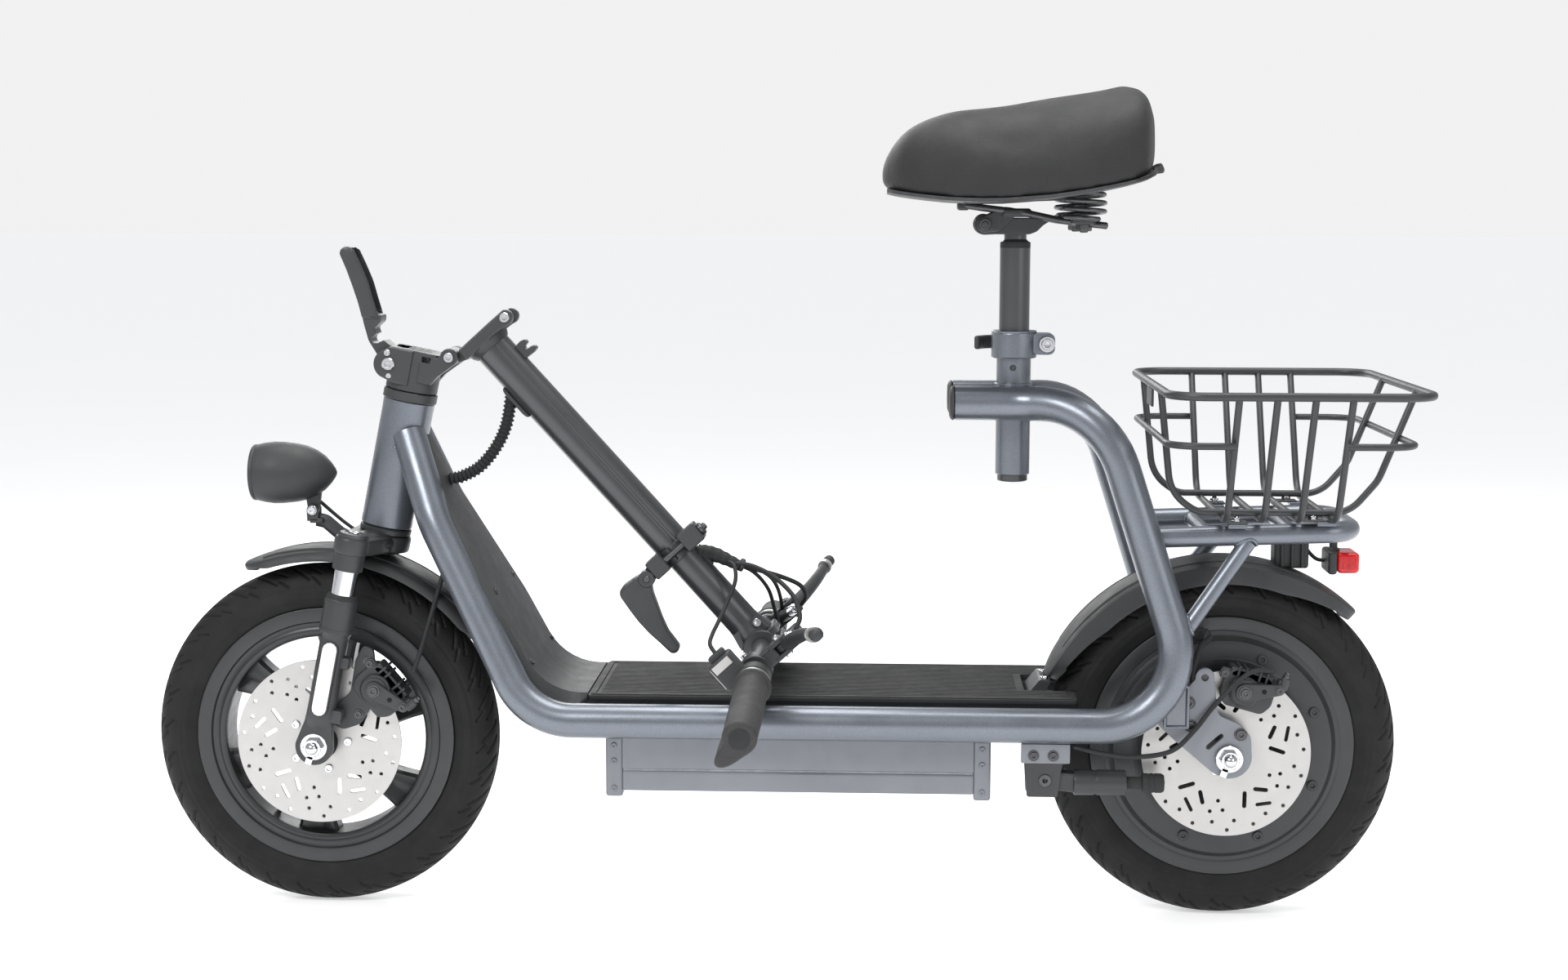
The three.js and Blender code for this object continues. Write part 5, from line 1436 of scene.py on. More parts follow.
def make_fork_crown():
    outline = arc(LEG_X, -LEG_Y, 17.6, 175, 355, 16) + [(8, -44)] + arc(0, 0, 27, -62, 62, 16) + [(8, 44)]
    outline += arc(LEG_X, LEG_Y, 17.6, 5, 185, 16) + [(-33, 34), (-31, 12), (-31, -12), (-33, -34)]
    crown = flat(rounded(outline, 5, 3), CROWN_LOW + 1, CROWN_HIGH, edge=3.4)
    hub = lathe([(0, -27), (19, -27), (21.5, -25), (23, -9), (23.4, -7.4), (25.6, -7), (25.8, -6.2), (25.8, -2.6),
                 (24.6, -1.6), (23.2, -0.5), (0, -0.5)], 64)
    sleeve = lathe([(12.2, -41.5), (14.4, -41.5), (15, -40.8), (15, -9), (15.2, -6.6), (13.4, -4.4), (9, -3.6),
                    (8.6, -4.6), (0, -4.6)], 48)
    sleeves = both(lambda side: sleeve.at(LEG_X, side * LEG_Y, 0))
    closed_sleeves = both(lambda side: lathe([(0, -40.6), (12.4, -40.6)], 24).at(LEG_X, side * LEG_Y, 0))
    arms = both(lambda side: sweep(flowing([(0, 0, -15), (-8, side * 34, -15.5), (LEG_X, side * LEG_Y, -20)], 8),
                                   lambda i: 21 - 0.36 * i, 36, section=(1, 0.55), up=(0, 0, 1)))
    piece("fork_crown_forging", crown + hub + arms + sleeves + closed_sleeves, STEERING, "steering", "black_metal",
          ["fork_crown"])
    tubes = both(lambda side: rod((LEG_X, side * LEG_Y, -140), (LEG_X, side * LEG_Y, -38), 12, 48, 1.5))
    piece("fork_stanchions", tubes, STEERING, "steering", "chrome")
    screws = Form()
    for side in (-1, 1):
        screws = screws + screw((LEG_X + 15.4, side * (LEG_Y - 8), -16), (1, 0, 0), 4, 3.4, 5.4)
        screws = screws + screw((LEG_X, side * LEG_Y, -5.2), (0, 0, 1), 5.6, 2.4)
    piece("fork_crown_screws", screws, STEERING, "steering", "chrome")
    steerer = rod((0, 0, -2), (0, 0, HEAD_LENGTH + 4), 13.6, 40)
    piece("steerer_tube", steerer, STEERING, "steering", "black_metal")


def leg_ring(centre_y, s, half_x, half_y):
    return [Vector((LEG_X + half_x * math.cos(a), centre_y + half_y * math.sin(a), s)) for a in turns(44)]


def make_fork_legs():
    for side, name in ((-1, "left"), (1, "right")):
        y = side * LEG_Y
        rings = []
        for s, half_x, half_y, shift in (
                (-206, 14.5, 4.8, 2), (-203, 14.8, 6.4, 1.6), (-198, 14.6, 9.5, 0.8), (-190, 14.2, 12.6, 0),
                (-180, 14, 13.8, 0), (-112, 14, 13.9, 0), (-107.5, 14.6, 14.4, 0), (-105, 16.2, 16.2, 0),
                (-104, 16.5, 16.5, 0), (-72, 16.5, 16.5, 0), (-70.8, 15.9, 15.9, 0), (-70.6, 15.2, 15.2, 0)):
            rings.append(leg_ring(y + side * shift * 0.5, s, half_x, half_y))
        y0, y1 = sorted((side * 62, side * 71.8))
        lug = arc(LEG_X, AXLE_S, 19, -180, 0, 20) + [(LEG_X + 16, -208), (LEG_X + 13, -194), (LEG_X - 13, -194),
                                                     (LEG_X - 16, -208)]
        form = loft(rings) + slab(rounded(lug, 3, 2), y0, y1, [circle(LEG_X, AXLE_S, 6.2, 24)], 1.6)
        for offset in (-74.5, -101.5):
            ring = lathe([(16.3, -0.9), (17, -0.6), (17, 0.6), (16.3, 0.9)], 44, closed=True)
            form = form + ring.at(LEG_X, y, offset)
        boss = block(LEG_X + 9, LEG_X + 22, y - 7, y + 7, -196, -182, 2.5) + block(
            LEG_X + 9, LEG_X + 20, y - 7, y + 7, -140, -128, 2.5)
        if side < 0:
            form = form + boss
        piece(f"fork_leg_{name}_cast", form, STEERING, "fork_lower", "black_metal", [f"fork_leg_{name}"])
        seal = lathe([(12.2, -70.7), (15.6, -70.7), (15.8, -69.6), (15, -67.4), (13, -66.4), (12.2, -66.4)], 44,
                     closed=True)
        piece(f"fork_seal_{name}", seal.at(LEG_X, y, 0), STEERING, "fork_lower", "rubber")
        low, high = -181.5, -121
        frame_y = side * (LEG_Y + 13.2)
        strip = slot_hole(LEG_X, low, LEG_X, high, 7.2)
        y0, y1 = sorted((frame_y, frame_y + side * 2.6))
        piece(f"fork_reflector_{name}", slab(strip, y0, y1, edge=0.9), STEERING, "fork_lower", "white_reflector")
        surround = slab(slot_hole(LEG_X, low, LEG_X, high, 8.8), *sorted((side * (LEG_Y + 9), frame_y + side * 1.6)),
                        edge=0.9)
        piece(f"fork_reflector_bezel_{name}", surround, STEERING, "fork_lower", "black_plastic")


def caliper_forms():
    """A cable disc caliper: the disc runs at y = 0, the wheel's centre is below and -Y faces out."""
    cheek = rounded([(-26, -12), (-19, -22), (19, -22), (26, -12), (26, 9), (15, 17), (-15, 17), (-26, 9)], 4)
    body = slab(cheek, -13, -3, edge=1.6) + slab(cheek, 3, 12, edge=1.6)
    body = body + block(-22, 22, -13, 12, 6.5, 17, 2.4) + block(-31, 31, -12, -5, 3, 14, 2.6)
    for x in (-14, -7, 7, 14):
        body = body + block(x - 1.3, x + 1.3, -14.2, 13, 8, 19, 0.7, 2)
    body = body + lathe([(0, 12), (14.4, 12), (15, 13), (15, 17.2), (13.4, 18.6), (12.4, 18.6), (12.4, 20.2),
                         (0, 20.2)], 44).put(Matrix.Translation((-4, 0, -4)) @ Y_AXIS.inverted())
    reach = Vector((31, 0, 12))
    arm_way = math.degrees(math.atan2(reach.z, reach.x))
    arm = slab(arc(-4, -4, 9, arm_way + 90, arm_way + 270, 14) + arc(-4 + reach.x, -4 + reach.z, 5.4, arm_way - 90,
               arm_way + 90, 10), -23.6, -20.4, [circle(-4 + reach.x * 0.55, -4 + reach.z * 0.55, 2.2, 12)], 0.9)
    body = body + arm
    body = body + rod((30, -20, 9), (30, -20, 21), 4.6, 20, 1) + block(24, 35, -22, -10, 12, 18, 1.6)
    pad = rounded([(-17, -21), (17, -21), (17, -4), (-17, -4)], 3)
    pads = slab(pad, -2.9, -1.45, edge=0.3) + slab(pad, 1.45, 2.9, edge=0.3)
    bright = screw((-4, -23.6, -4), (0, -1, 0), 4.8, 2.6, 6.6) + screw((27, -23.6, 8), (0, -1, 0), 3.4, 2.8, 4.6)
    bright = bright + screw((-27, -12, 8.5), (0, -1, 0), 3.8, 2.8, 5) + screw((27, -12, 8.5), (0, -1, 0), 3.2, 1.2, 4)
    bright = bright + nut((30, -20, 21), (0, 0, 1), 3.8, 3, 2.2, 3)
    return body, pads, bright


def make_caliper(name, place, body_name, node):
    body, pads, bright = caliper_forms()
    piece(f"{name}_caliper_body", body, place, body_name, "black_metal", [node])
    piece(f"{name}_caliper_pads", pads, place, body_name, "spring_steel")
    piece(f"{name}_caliper_screws", bright, place, body_name, "spring_steel")


def make_brakes():
    disc_y = 1000 * centre("front_brake_disc").y
    spot = Vector((66, disc_y, 231 - TYRE_RADIUS))
    lean = math.degrees(math.atan2(spot.x, spot.z))
    place = FRONT_WHEEL @ Matrix.Translation(spot) @ Matrix.Rotation(math.radians(lean), 4, "Y")
    make_caliper("front", place, "fork_lower", "front_caliper")
    bracket = slab(rounded([(12, 22), (26, 14), (44, 20), (62, 50), (58, 96), (48, 100), (40, 86), (34, 52),
                            (16, 36)], 4), disc_y - 9.5, disc_y - 4, [circle(42, 30, 3), circle(52, 84, 3)], 0.8)
    piece("front_caliper_bracket", bracket, FRONT_WHEEL, "fork_lower", "black_metal")
    screws = total([screw((x, disc_y - 9.5, z), (0, -1, 0), 3.6, 2.6, 5) for x, z in ((42, 30), (52, 84))])
    piece("front_bracket_screws", screws, FRONT_WHEEL, "fork_lower", "spring_steel")
    disc_y = 1000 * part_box("rear_brake_disc")[0].y + 1.1
    spot = Vector((19, disc_y, 243 - TYRE_RADIUS))
    lean = math.degrees(math.atan2(spot.x, spot.z))
    place = REAR_WHEEL @ Matrix.Translation(spot) @ Matrix.Rotation(math.radians(lean), 4, "Y")
    make_caliper("rear", place, "frame", "rear_caliper")
    front = flowing([(112, -10, 384), (122, -16, 366), (124, -24, 347), (118, -36, 320), (110, -48, 288),
                     (103, -57, 262), (99, -62, 250)], 8)
    piece("front_brake_hose", wire(front, 2.4), GROUND, "fork_lower", "rubber", ["front_brake_cable"])
    rear = flowing([(752, -97, 190), (778, -98.5, 184), (810, -98.5, 181), (845, -94, 186), (868, -84, 204),
                    (886, -79, 226), (908, -77, 250), (926, -75, 262), (946, -73, 262)], 8)
    piece("rear_brake_hose", wire(rear, 2.4), GROUND, "frame", "rubber", ["rear_brake_cable"])
    motor = flowing([(898, -60, 186), (880, -66, 214), (868, -70, 250), (874, -64, 280), (886, -52, 291)], 8)
    plug_form = rod((884, -54, 291), (868, -42, 296), 7, 28, 1.5)
    plug_form = plug_form + rod((868, -42, 296), (850, -30, 300), 5.4, 24, 1.5)
    for k in range(3):
        shift = Vector((-4, 3, 1.2)) * k
        plug_form = plug_form + rod(Vector((881, -51.7, 292)) + shift, Vector((879.5, -50.6, 292.4)) + shift, 7.7,
                                    28, 0.4)
    piece("motor_lead", wire(motor, 3.2), GROUND, "frame", "rubber")
    piece("motor_lead_plug", plug_form, GROUND, "frame", "rubber")


def make_front_guard():
    outer = 194
    guard = guard_form(outer, 31, 114.5, 60)
    piece("front_guard_moulding", guard, FRONT_WHEEL, "steering", "black_plastic", ["front_mudguard"], 40)
    path = [Vector(((outer - 2.4) * math.cos(a), 0, (outer - 2.4) * math.sin(a))) for a in
            (math.radians(36 + 72 * k / 30) for k in range(31))]
    rib = total([sweep([point + Vector((0, y, 0)) for point in path], 1.5, 8) for y in (-23, 23)])
    piece("front_guard_ribs", rib, FRONT_WHEEL, "steering", "black_plastic", sharp=60)
    bracket = block(-16, 16, -12, 12, CROWN_LOW - 1.6, CROWN_LOW + 1.4, 1) + both(
        lambda side: block(-8, 8, side * 9 - 3, side * 9 + 3, CROWN_LOW - 4, CROWN_LOW, 1))
    piece("front_guard_bracket", bracket, STEERING, "steering", "black_metal")


def make_headlight():
    low = local(GROUND, "headlight_shell")[0]
    lamp_z = 441.5
    outer = [(24.7, 0), (27.2, -0.4), (28.2, 0.4), (28.4, 3), (27.9, 3.8), (28.6, 5), (30.2, 12), (31.3, 21),
             (31.1, 30), (29.6, 44), (27.4, 54), (23, 64), (17.4, 72), (11, 78), (5, 82.4), (1.6, 84), (0, 84)]
    inner = [(0, 80.6), (4, 79), (10, 75), (16, 69.4), (21.4, 61.6), (25.4, 52.6), (27.6, 43), (29, 30), (29.2, 21),
             (28, 12), (26.2, 6.4), (24.7, 5.2)]
    skins = total(lathe(profile, 96, capped=False) for profile in (outer, inner, [(24.7, 5.2), (24.7, 0)]))
    form = form_of(mesh_of(skins, "lamp"), 0.01)
    aim = Matrix.Translation((low.x, 0, lamp_z)) @ X_AXIS
    tang = slab(arc(-12, 404, 5.6, 180, 360, 12) + [(-5, 414), (-4, 421), (-20, 421), (-19, 414)], -3.5, 3.5,
                [circle(-12, 404, 2.5, 16)], 1)
    piece("headlight_bowl", form.put(aim) + tang, GROUND, "headlight", "black_plastic", ["headlight_shell"], 40)
    lens = lathe([(0, 4.9), (24.2, 4.9), (24.2, 2.4), (22, 1.6), (14, 0.9), (0, 0.5)][::-1], 96)
    piece("headlight_front_lens", lens.put(aim), GROUND, "headlight", "clear_lens", ["headlight_lens"])
    bowl = lathe([(24, 6), (23.4, 8), (21, 14), (17, 20), (12, 25), (6, 27.6), (6, 28.4), (12, 26), (17, 21),
                  (21.6, 14.6), (24, 8.6)], 72, closed=True)
    piece("headlight_reflector", bowl.put(aim), GROUND, "headlight", "chrome")
    lamp = lathe([(0, 18), (2.6, 18.6), (3.4, 20.4), (3.4, 27), (7, 27.4), (7, 30), (0, 30)], 32)
    piece("headlight_led", lamp.put(aim), GROUND, "headlight", "white_reflector")
    arm_path = bent([(33, 0, 370), (14, 0, 380, 10), (0, 0, 392, 8), (-9, 0, 394)], 8)
    arm = sweep(arm_path, 4.2, 20, section=(1.7, 0.8), up=(0, 1, 0))
    yoke = block(-15, -1.5, -8, 8, 391, 396, 1.2)
    for y in (-8, 4.2):
        yoke = yoke + slab(arc(-12, 404, 6, 0, 180, 14) + [(-17.6, 393), (-6.4, 393)], y, y + 3.8,
                           [circle(-12, 404, 2.2, 16)], 0.8)
    piece("headlight_bracket", arm + yoke, GROUND, "steering", "black_metal")
    bolt = screw((-12, -8.2, 404), (0, -1, 0), 4, 2.6, 5) + nut((-12, 8.2, 404), (0, 1, 0), 4.6, 3.4, 2, 1.6)
    bolt = bolt + rod((-12, -8, 404), (-12, 8, 404), 2, 16, 0.3) + screw((31, 0, 376), (-0.4, 0, 0.9), 4, 2.4, 6)
    piece("headlight_bolts", bolt, GROUND, "steering", "chrome")
    lead = flowing([(-18, 3, 419), (-8, 6, 412), (4, 8, 401), (16, 8, 391), (29, 6, 382)], 8)
    piece("headlight_lead", wire(lead, 1.8), GROUND, "steering", "rubber")


# ---------------------------------------------------------------- stem hinge and latch
LATCH_PIN = (-22.4, 162.6)
LATCH_BOLT = (-32.6, 8.2)
LATCH_SWING = max(JOINTS["latch_close"]["range_deg"])
EAR_IN = 14.3
HINGE_S = FOLD_PIN.z


def make_hinge():
    body = lathe([(0, 139), (25.2, 139), (26, 139.8), (26, 170), (25.4, HINGE_S - 0.8), (24.6, HINGE_S - 0.4),
                  (0, HINGE_S - 0.4)], 80)
    head = flat(rounded([(-24, -25.8), (25, -25.8), (25, 25.8), (-24, 25.8)], 7), HINGE_S - 11, HINGE_S - 0.4, edge=1)
    ears = Form()
    for side in (-1, 1):
        y0, y1 = sorted((side * EAR_IN, side * 25.8))
        fold_ear = [(8, 150), (22, 150), (28, 160)] + arc(FOLD_PIN.x, HINGE_S, 9, -40, 178, 16) + [
            (24, HINGE_S - 3), (8, HINGE_S - 3)]
        ears = ears + slab(fold_ear, y0, y1, edge=1.2)
        y0, y1 = sorted((side * EAR_IN, side * 27.8))
        latch_ear = [(0, 145), (-14, 145)] + arc(*LATCH_PIN, 15, 248, 128, 16)
        latch_ear += [(-24, HINGE_S - 1), (0, HINGE_S - 1)]
        ears = ears + slab(rounded(latch_ear, 1.5, 2), y0, y1, edge=1.2)
    pocket = block(-45, -9, -EAR_IN, EAR_IN, 148, 190, 2)
    base = carved(body, pocket) + carved(head, pocket) + ears
    cap = lathe([(14, 128.9), (26.4, 128.9), (27, 129.6), (27, 137.6), (26.4, 138.3), (14, 138.3)], 80, closed=True)
    piece("hinge_base_casting", base + cap, STEERING, "steering", "black_metal", ["hinge_base"], 34)
    bright = Form()
    for side in (-1, 1):
        bright = bright + screw((LATCH_PIN[0], side * 27.6, LATCH_PIN[1]), (0, side, 0), 6.4, 2.6)
        bright = bright + screw((-25.4, side * 27.6, 173.4), (0, side, 0), 3.3, 1.6)
        bright = bright + screw((-20.1, side * 27.6, 151.2), (0, side, 0), 2.6, 0.9)
    bright = bright + rod((LATCH_PIN[0], -27.4, LATCH_PIN[1]), (LATCH_PIN[0], 27.4, LATCH_PIN[1]), 4.6, 28, 0.3)
    piece("hinge_base_bolts", bright, STEERING, "steering", "chrome")


def from_open(form, closed):
    """What the closing lever meets, turned back to where the open lever would have it."""
    pin = Matrix.Translation((LATCH_PIN[0], 0, LATCH_PIN[1]))
    return form.put(pin @ Matrix.Rotation(-math.radians(closed * LATCH_SWING), 4, "Y") @ pin.inverted())


def make_latch():
    heel = arc(*LATCH_PIN, 9.5, -160, 20, 14) + [(-19, 176), (-33, 183), (-42, 188), (-45.5, 194), (-40, 201),
                                                 (-41, 208), (-62, 208), (-57, 196), (-49, 180), (-37, 167)]
    lower = slab(rounded(heel, 2.4, 3), -13.6, 13.6, [circle(*LATCH_PIN, 5.3, 24)], 1.4)
    bolt_x, bolt_s = LATCH_BOLT[0], HINGE_S + LATCH_BOLT[1]
    tracks = [from_open(rod((bolt_x, -30, bolt_s), (bolt_x, 30, bolt_s), 4.8, 28), closed)
              for closed in (0, 0.33, 0.66, 1)]
    lower = carved(lower, *tracks)
    handle = [(-42, 203), (-52, 222), (-60, 238), (-70, 253), (-79.5, 266)] + arc(-86, 261, 7, 50, 200, 14) + [
        (-84, 246), (-75, 231), (-66, 215), (-59, 200)]
    grip = slab(rounded(handle, 3, 3), -15.5, 15.5, edge=2.6)
    cup = [(-36, 212), (-48, 232), (-62, 256), (-77, 275), (-83.5, 266.5), (-89.6, 262.6), (-90, 258), (-80, 246),
           (-71.5, 231), (-63, 214), (-58, 208)]
    tool = slab(rounded(cup, 4, 3), -12.4, 12.4, edge=2)
    channel = from_open(block(-36, 0, -8.5, 8.5, HINGE_S + 28, HINGE_S + 62, 1), 1)
    grip = carved(grip, tool, channel)
    rib = slab(rounded([(-60, 206), (-66, 216), (-78, 238), (-73, 240), (-60, 216), (-55, 206)], 2), -1.6, 1.6,
               edge=0.7)
    piece("latch_lever_cup", lower + grip + rib, STEERING, "latch", "black_metal", ["latch_lever"], 34)


# ---------------------------------------------------------------- stem
STEM_RADIUS = 19
STEM_END = 304
CLAMP_Y = -24


def make_stem():
    knuckle = [(-19.5, 1), (26, 1)] + arc(FOLD_PIN.x, 0, 8.5, -172, 90, 20) + [(24, 13.6), (-19.5, 13.6)]
    foot = slab(knuckle, -13.6, 13.6, edge=1)
    for side in (-1, 1):
        y0, y1 = sorted((side * EAR_IN, side * 23.8))
        cheek = [(24, 0.8), (24.3, 13.8), (-14, 13.8)] + arc(*LATCH_BOLT, 8, 62, 242, 14) + [(-20, 0.8)]
        foot = foot + slab(rounded(cheek, 1.5, 2), y0, y1, edge=1.6)
        foot = foot + block(-17, 22, *sorted((side * 13, side * 15)), 1.2, 13.4, 0.4)
    collar = lathe([(0, 12), (23.4, 12), (23.8, 12.8), (22.6, 17), (19.9, 21), (0, 21)], 64)
    foot = foot + collar
    piece("stem_foot_casting", foot, STEM, "stem", "black_metal", ["stem_foot"], 34)
    bright = rod((LATCH_BOLT[0], -24, LATCH_BOLT[1]), (LATCH_BOLT[0], 24, LATCH_BOLT[1]), 3.9, 28, 0.3)
    bright = bright + rod((FOLD_PIN.x, -26, 0), (FOLD_PIN.x, 26, 0), 3.9, 28, 0.3)
    for side in (-1, 1):
        bright = bright + screw((LATCH_BOLT[0], side * 23.7, LATCH_BOLT[1]), (0, side, 0), 5.2, 2.2)
        bright = bright + screw((FOLD_PIN.x, side * 26, 0), (0, side, 0), 5.2, 2.8)
    piece("stem_foot_bolts", bright, STEM, "stem", "chrome")

    def ring(s, radius):
        points = []
        for a in turns(96):
            groove = 0.0
            for seam in (math.radians(-112), math.radians(112)):
                away = abs((a - seam + math.pi) % (2 * math.pi) - math.pi)
                groove = max(groove, 1.1 * max(0.0, 1 - (away * radius / 1.8) ** 2))
            points.append(Vector(((radius - groove) * math.cos(a), (radius - groove) * math.sin(a), s)))
        return points

    tube = loft([ring(18, STEM_RADIUS), ring(STEM_END - 0.8, STEM_RADIUS), ring(STEM_END, STEM_RADIUS - 0.7),
                 ring(STEM_END, 17.5), ring(STEM_END - 4, 17.4), ring(18, 17.4)], closed=True)
    hook = rounded([(-17.8, 35), (-26, 34.4), (-30.4, 36), (-30.4, 40.4), (-24.8, 41.4), (-24.8, 45), (-31, 45.4),
                    (-33.8, 47), (-33.6, 51), (-28, 52), (-17.8, 51)], 1.6, 3)
    seat = slab(rounded([(17.6, 57), (20.8, 59), (22, 64), (22, 91), (20.8, 95.5), (17.6, 97)], 2, 3), -9, 9,
                edge=1.6)
    piece("stem_tube_profile", tube, STEM, "stem", "satin_black", ["stem_tube"], 34)
    piece("stem_hook", slab(hook, -6.8, 6.8, edge=0.9), STEM, "stem", "black_metal")
    piece("conduit_seat", seat, STEM, "stem", "black_plastic")
    low, high = 286, 302
    clamp = lathe([(19.1, low), (22.2, low), (23, low + 0.9), (23, high - 0.9), (22.2, high), (19.1, high)], 72,
                  closed=True)
    clamp = carved(clamp, block(-3, 3, -26, -16, low - 2, high + 2, 0.2))
    for x0, x1 in ((-34, -12.5), (12.5, 30)):
        clamp = clamp + block(x0, x1, -33, -8.5, low - 3, high + 1.6, 1.8)
    piece("height_clamp_blocks", clamp, STEM, "stem", "black_metal")
    skewer = rod((-42, CLAMP_Y, 294), (34, CLAMP_Y, 294), 3.6, 28, 0.8)
    skewer = skewer + rod((-38.6, CLAMP_Y, 294), (-34, CLAMP_Y, 294), 7, 28, 1)
    piece("height_clamp_skewer", skewer, STEM, "stem", "spring_steel")
    washers = rod((30.2, CLAMP_Y, 294), (33.2, CLAMP_Y, 294), 7.4, 32, 0.7)
    piece("height_clamp_washer", washers, STEM, "stem", "rubber")


def make_clamp_lever():
    outline = arc(38, 295, 7.2, 90, 270, 12) + [(48, 285.4), (60, 284)] + arc(61, 294, 9.6, -60, 0, 6) + [
        (72.4, 308), (73.6, 322), (73.4, 338), (72, 350)] + arc(65, 364, 6, 0, 180, 12) + [
        (57.6, 348), (53, 334), (48, 322), (43, 310)]
    paddle = slab(rounded(outline, 2.5, 3), CLAMP_Y - 8, CLAMP_Y + 8, [circle(38, 295, 3.7, 20)], 2.6)
    cam = lathe([(3.8, -9), (7.8, -9), (8.4, -8.2), (8.4, 8.2), (7.8, 9), (3.8, 9)], 36, closed=True)
    piece("clamp_lever_paddle", paddle + cam.put(Y_AXIS).at(38, CLAMP_Y, 295), STEM, "clamp_lever", "black_metal",
          ["stem_clamp_lever"])
    pin = rod((38, CLAMP_Y - 9.6, 295), (38, CLAMP_Y + 9.6, 295), 3.6, 24, 0.6)
    piece("clamp_lever_pin", pin, STEM, "clamp_lever", "spring_steel")


def make_conduit():
    points = flowing([CONDUIT_EXIT, (140, 0, 439), (158, 0, 449), (174, 0, 468), (185, 0, 491), (190.5, 0, 520)], 14)
    path = spread(points, 0.55)
    middle = len(path) // 2

    def hose(part):
        return sweep(part, lambda i: 6.8 - 1.8 * (0.5 + 0.5 * math.cos(2 * math.pi * i / 8)) ** 0.7, 28)

    lower = piece("conduit_lower", hose(path[:middle + 1]), GROUND, None, "rubber", ["cable_conduit"], 60)
    upper = piece("conduit_upper", hose(path[middle:]), GROUND, None, "rubber", [], 60)
    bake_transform(lower)
    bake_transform(upper)


make_fork_crown()
make_fork_legs()
make_brakes()
make_front_guard()
make_headlight()
make_hinge()
make_latch()
make_stem()
make_clamp_lever()
make_conduit()


# ---------------------------------------------------------------- inner stem and handlebar
BAR_HEIGHT = 425
BAR_RADIUS = 11
LEVER_PIVOT = (-31, 110)


def bar_at(y):
    """The handlebar's centre line in the stem's frame, at a distance y from the middle."""
    away = min(max((abs(y) - 70) / 255, 0), 1)
    return Vector((1 + 19 * away, y, BAR_HEIGHT + 15 * away))


def bar_path():
    return bent([tuple(bar_at(-321)), (1, -70, BAR_HEIGHT, 90), (1, 70, BAR_HEIGHT, 90), tuple(bar_at(321))], 12)


def along_bar(y):
    """A frame at a place on the handlebar, with Z outward along it and X to the rider."""
    side = 1 if y > 0 else -1
    way = (bar_at(side * 325) - bar_at(side * 200)).normalized()
    rear = Vector((1, 0, 0))
    rear = (rear - way * rear.dot(way)).normalized()
    up = way.cross(rear)
    return Matrix.Translation(bar_at(y)) @ Matrix((rear, up, way)).transposed().to_4x4()


def make_inner_stem():
    tube = lathe([(17, 100), (17, 392), (17.6, 398), (19, 404), (20.4, 410), (20.4, 414), (14.8, 414),
                  (14.8, 100)], 72, closed=True)
    sleeve = lathe([(11.2, -23), (18.2, -23), (19, -22.2), (19, -1.2), (18.3, -0.7), (18.3, 0.7), (19, 1.2),
                    (19, 22.2), (18.2, 23), (11.2, 23)], 72, closed=True).put(Y_AXIS).at(1, 0, BAR_HEIGHT)
    ears = block(-23.5, -13, -21, 21, BAR_HEIGHT - 11, BAR_HEIGHT - 1.2, 2) + block(
        -23.5, -13, -21, 21, BAR_HEIGHT + 1.2, BAR_HEIGHT + 11, 2)
    ribs = both(lambda side: slab([(-15, 396), (-18.6, 414), (18.6, 414), (15, 396)], *sorted((side * 13, side * 16)),
                                  edge=0.8))
    piece("inner_stem_tee", tube + sleeve + ears + ribs, STEM, "handlebar", "satin_black", ["inner_stem"])
    bright = Form()
    for y in (-13, 13):
        bright = bright + screw((-18.6, y, BAR_HEIGHT + 11), (0, 0, 1), 4, 3.6, 5)
    bright = bright + screw((-12, -17.6, 402), (-0.4, -1, 0), 4.4, 3)
    piece("handlebar_clamp_screws", bright, STEM, "handlebar", "chrome")
    boot_path = flowing([(-14, 0, 313), (-20, 0, 318), (-26, 0, 326), (-31, 0, 337), (-36, 0, 349)], 6)
    boot = sweep(boot_path, lambda i: 9.2 - 0.17 * i + (0.5 if i % 4 < 2 else 0), 32)
    base = slab(rounded([(-14, 304.5), (-19.4, 307), (-19.4, 329), (-14, 332)], 3), -8.5, 8.5, edge=2)
    piece("cable_boot", boot + base, STEM, "stem", "rubber")


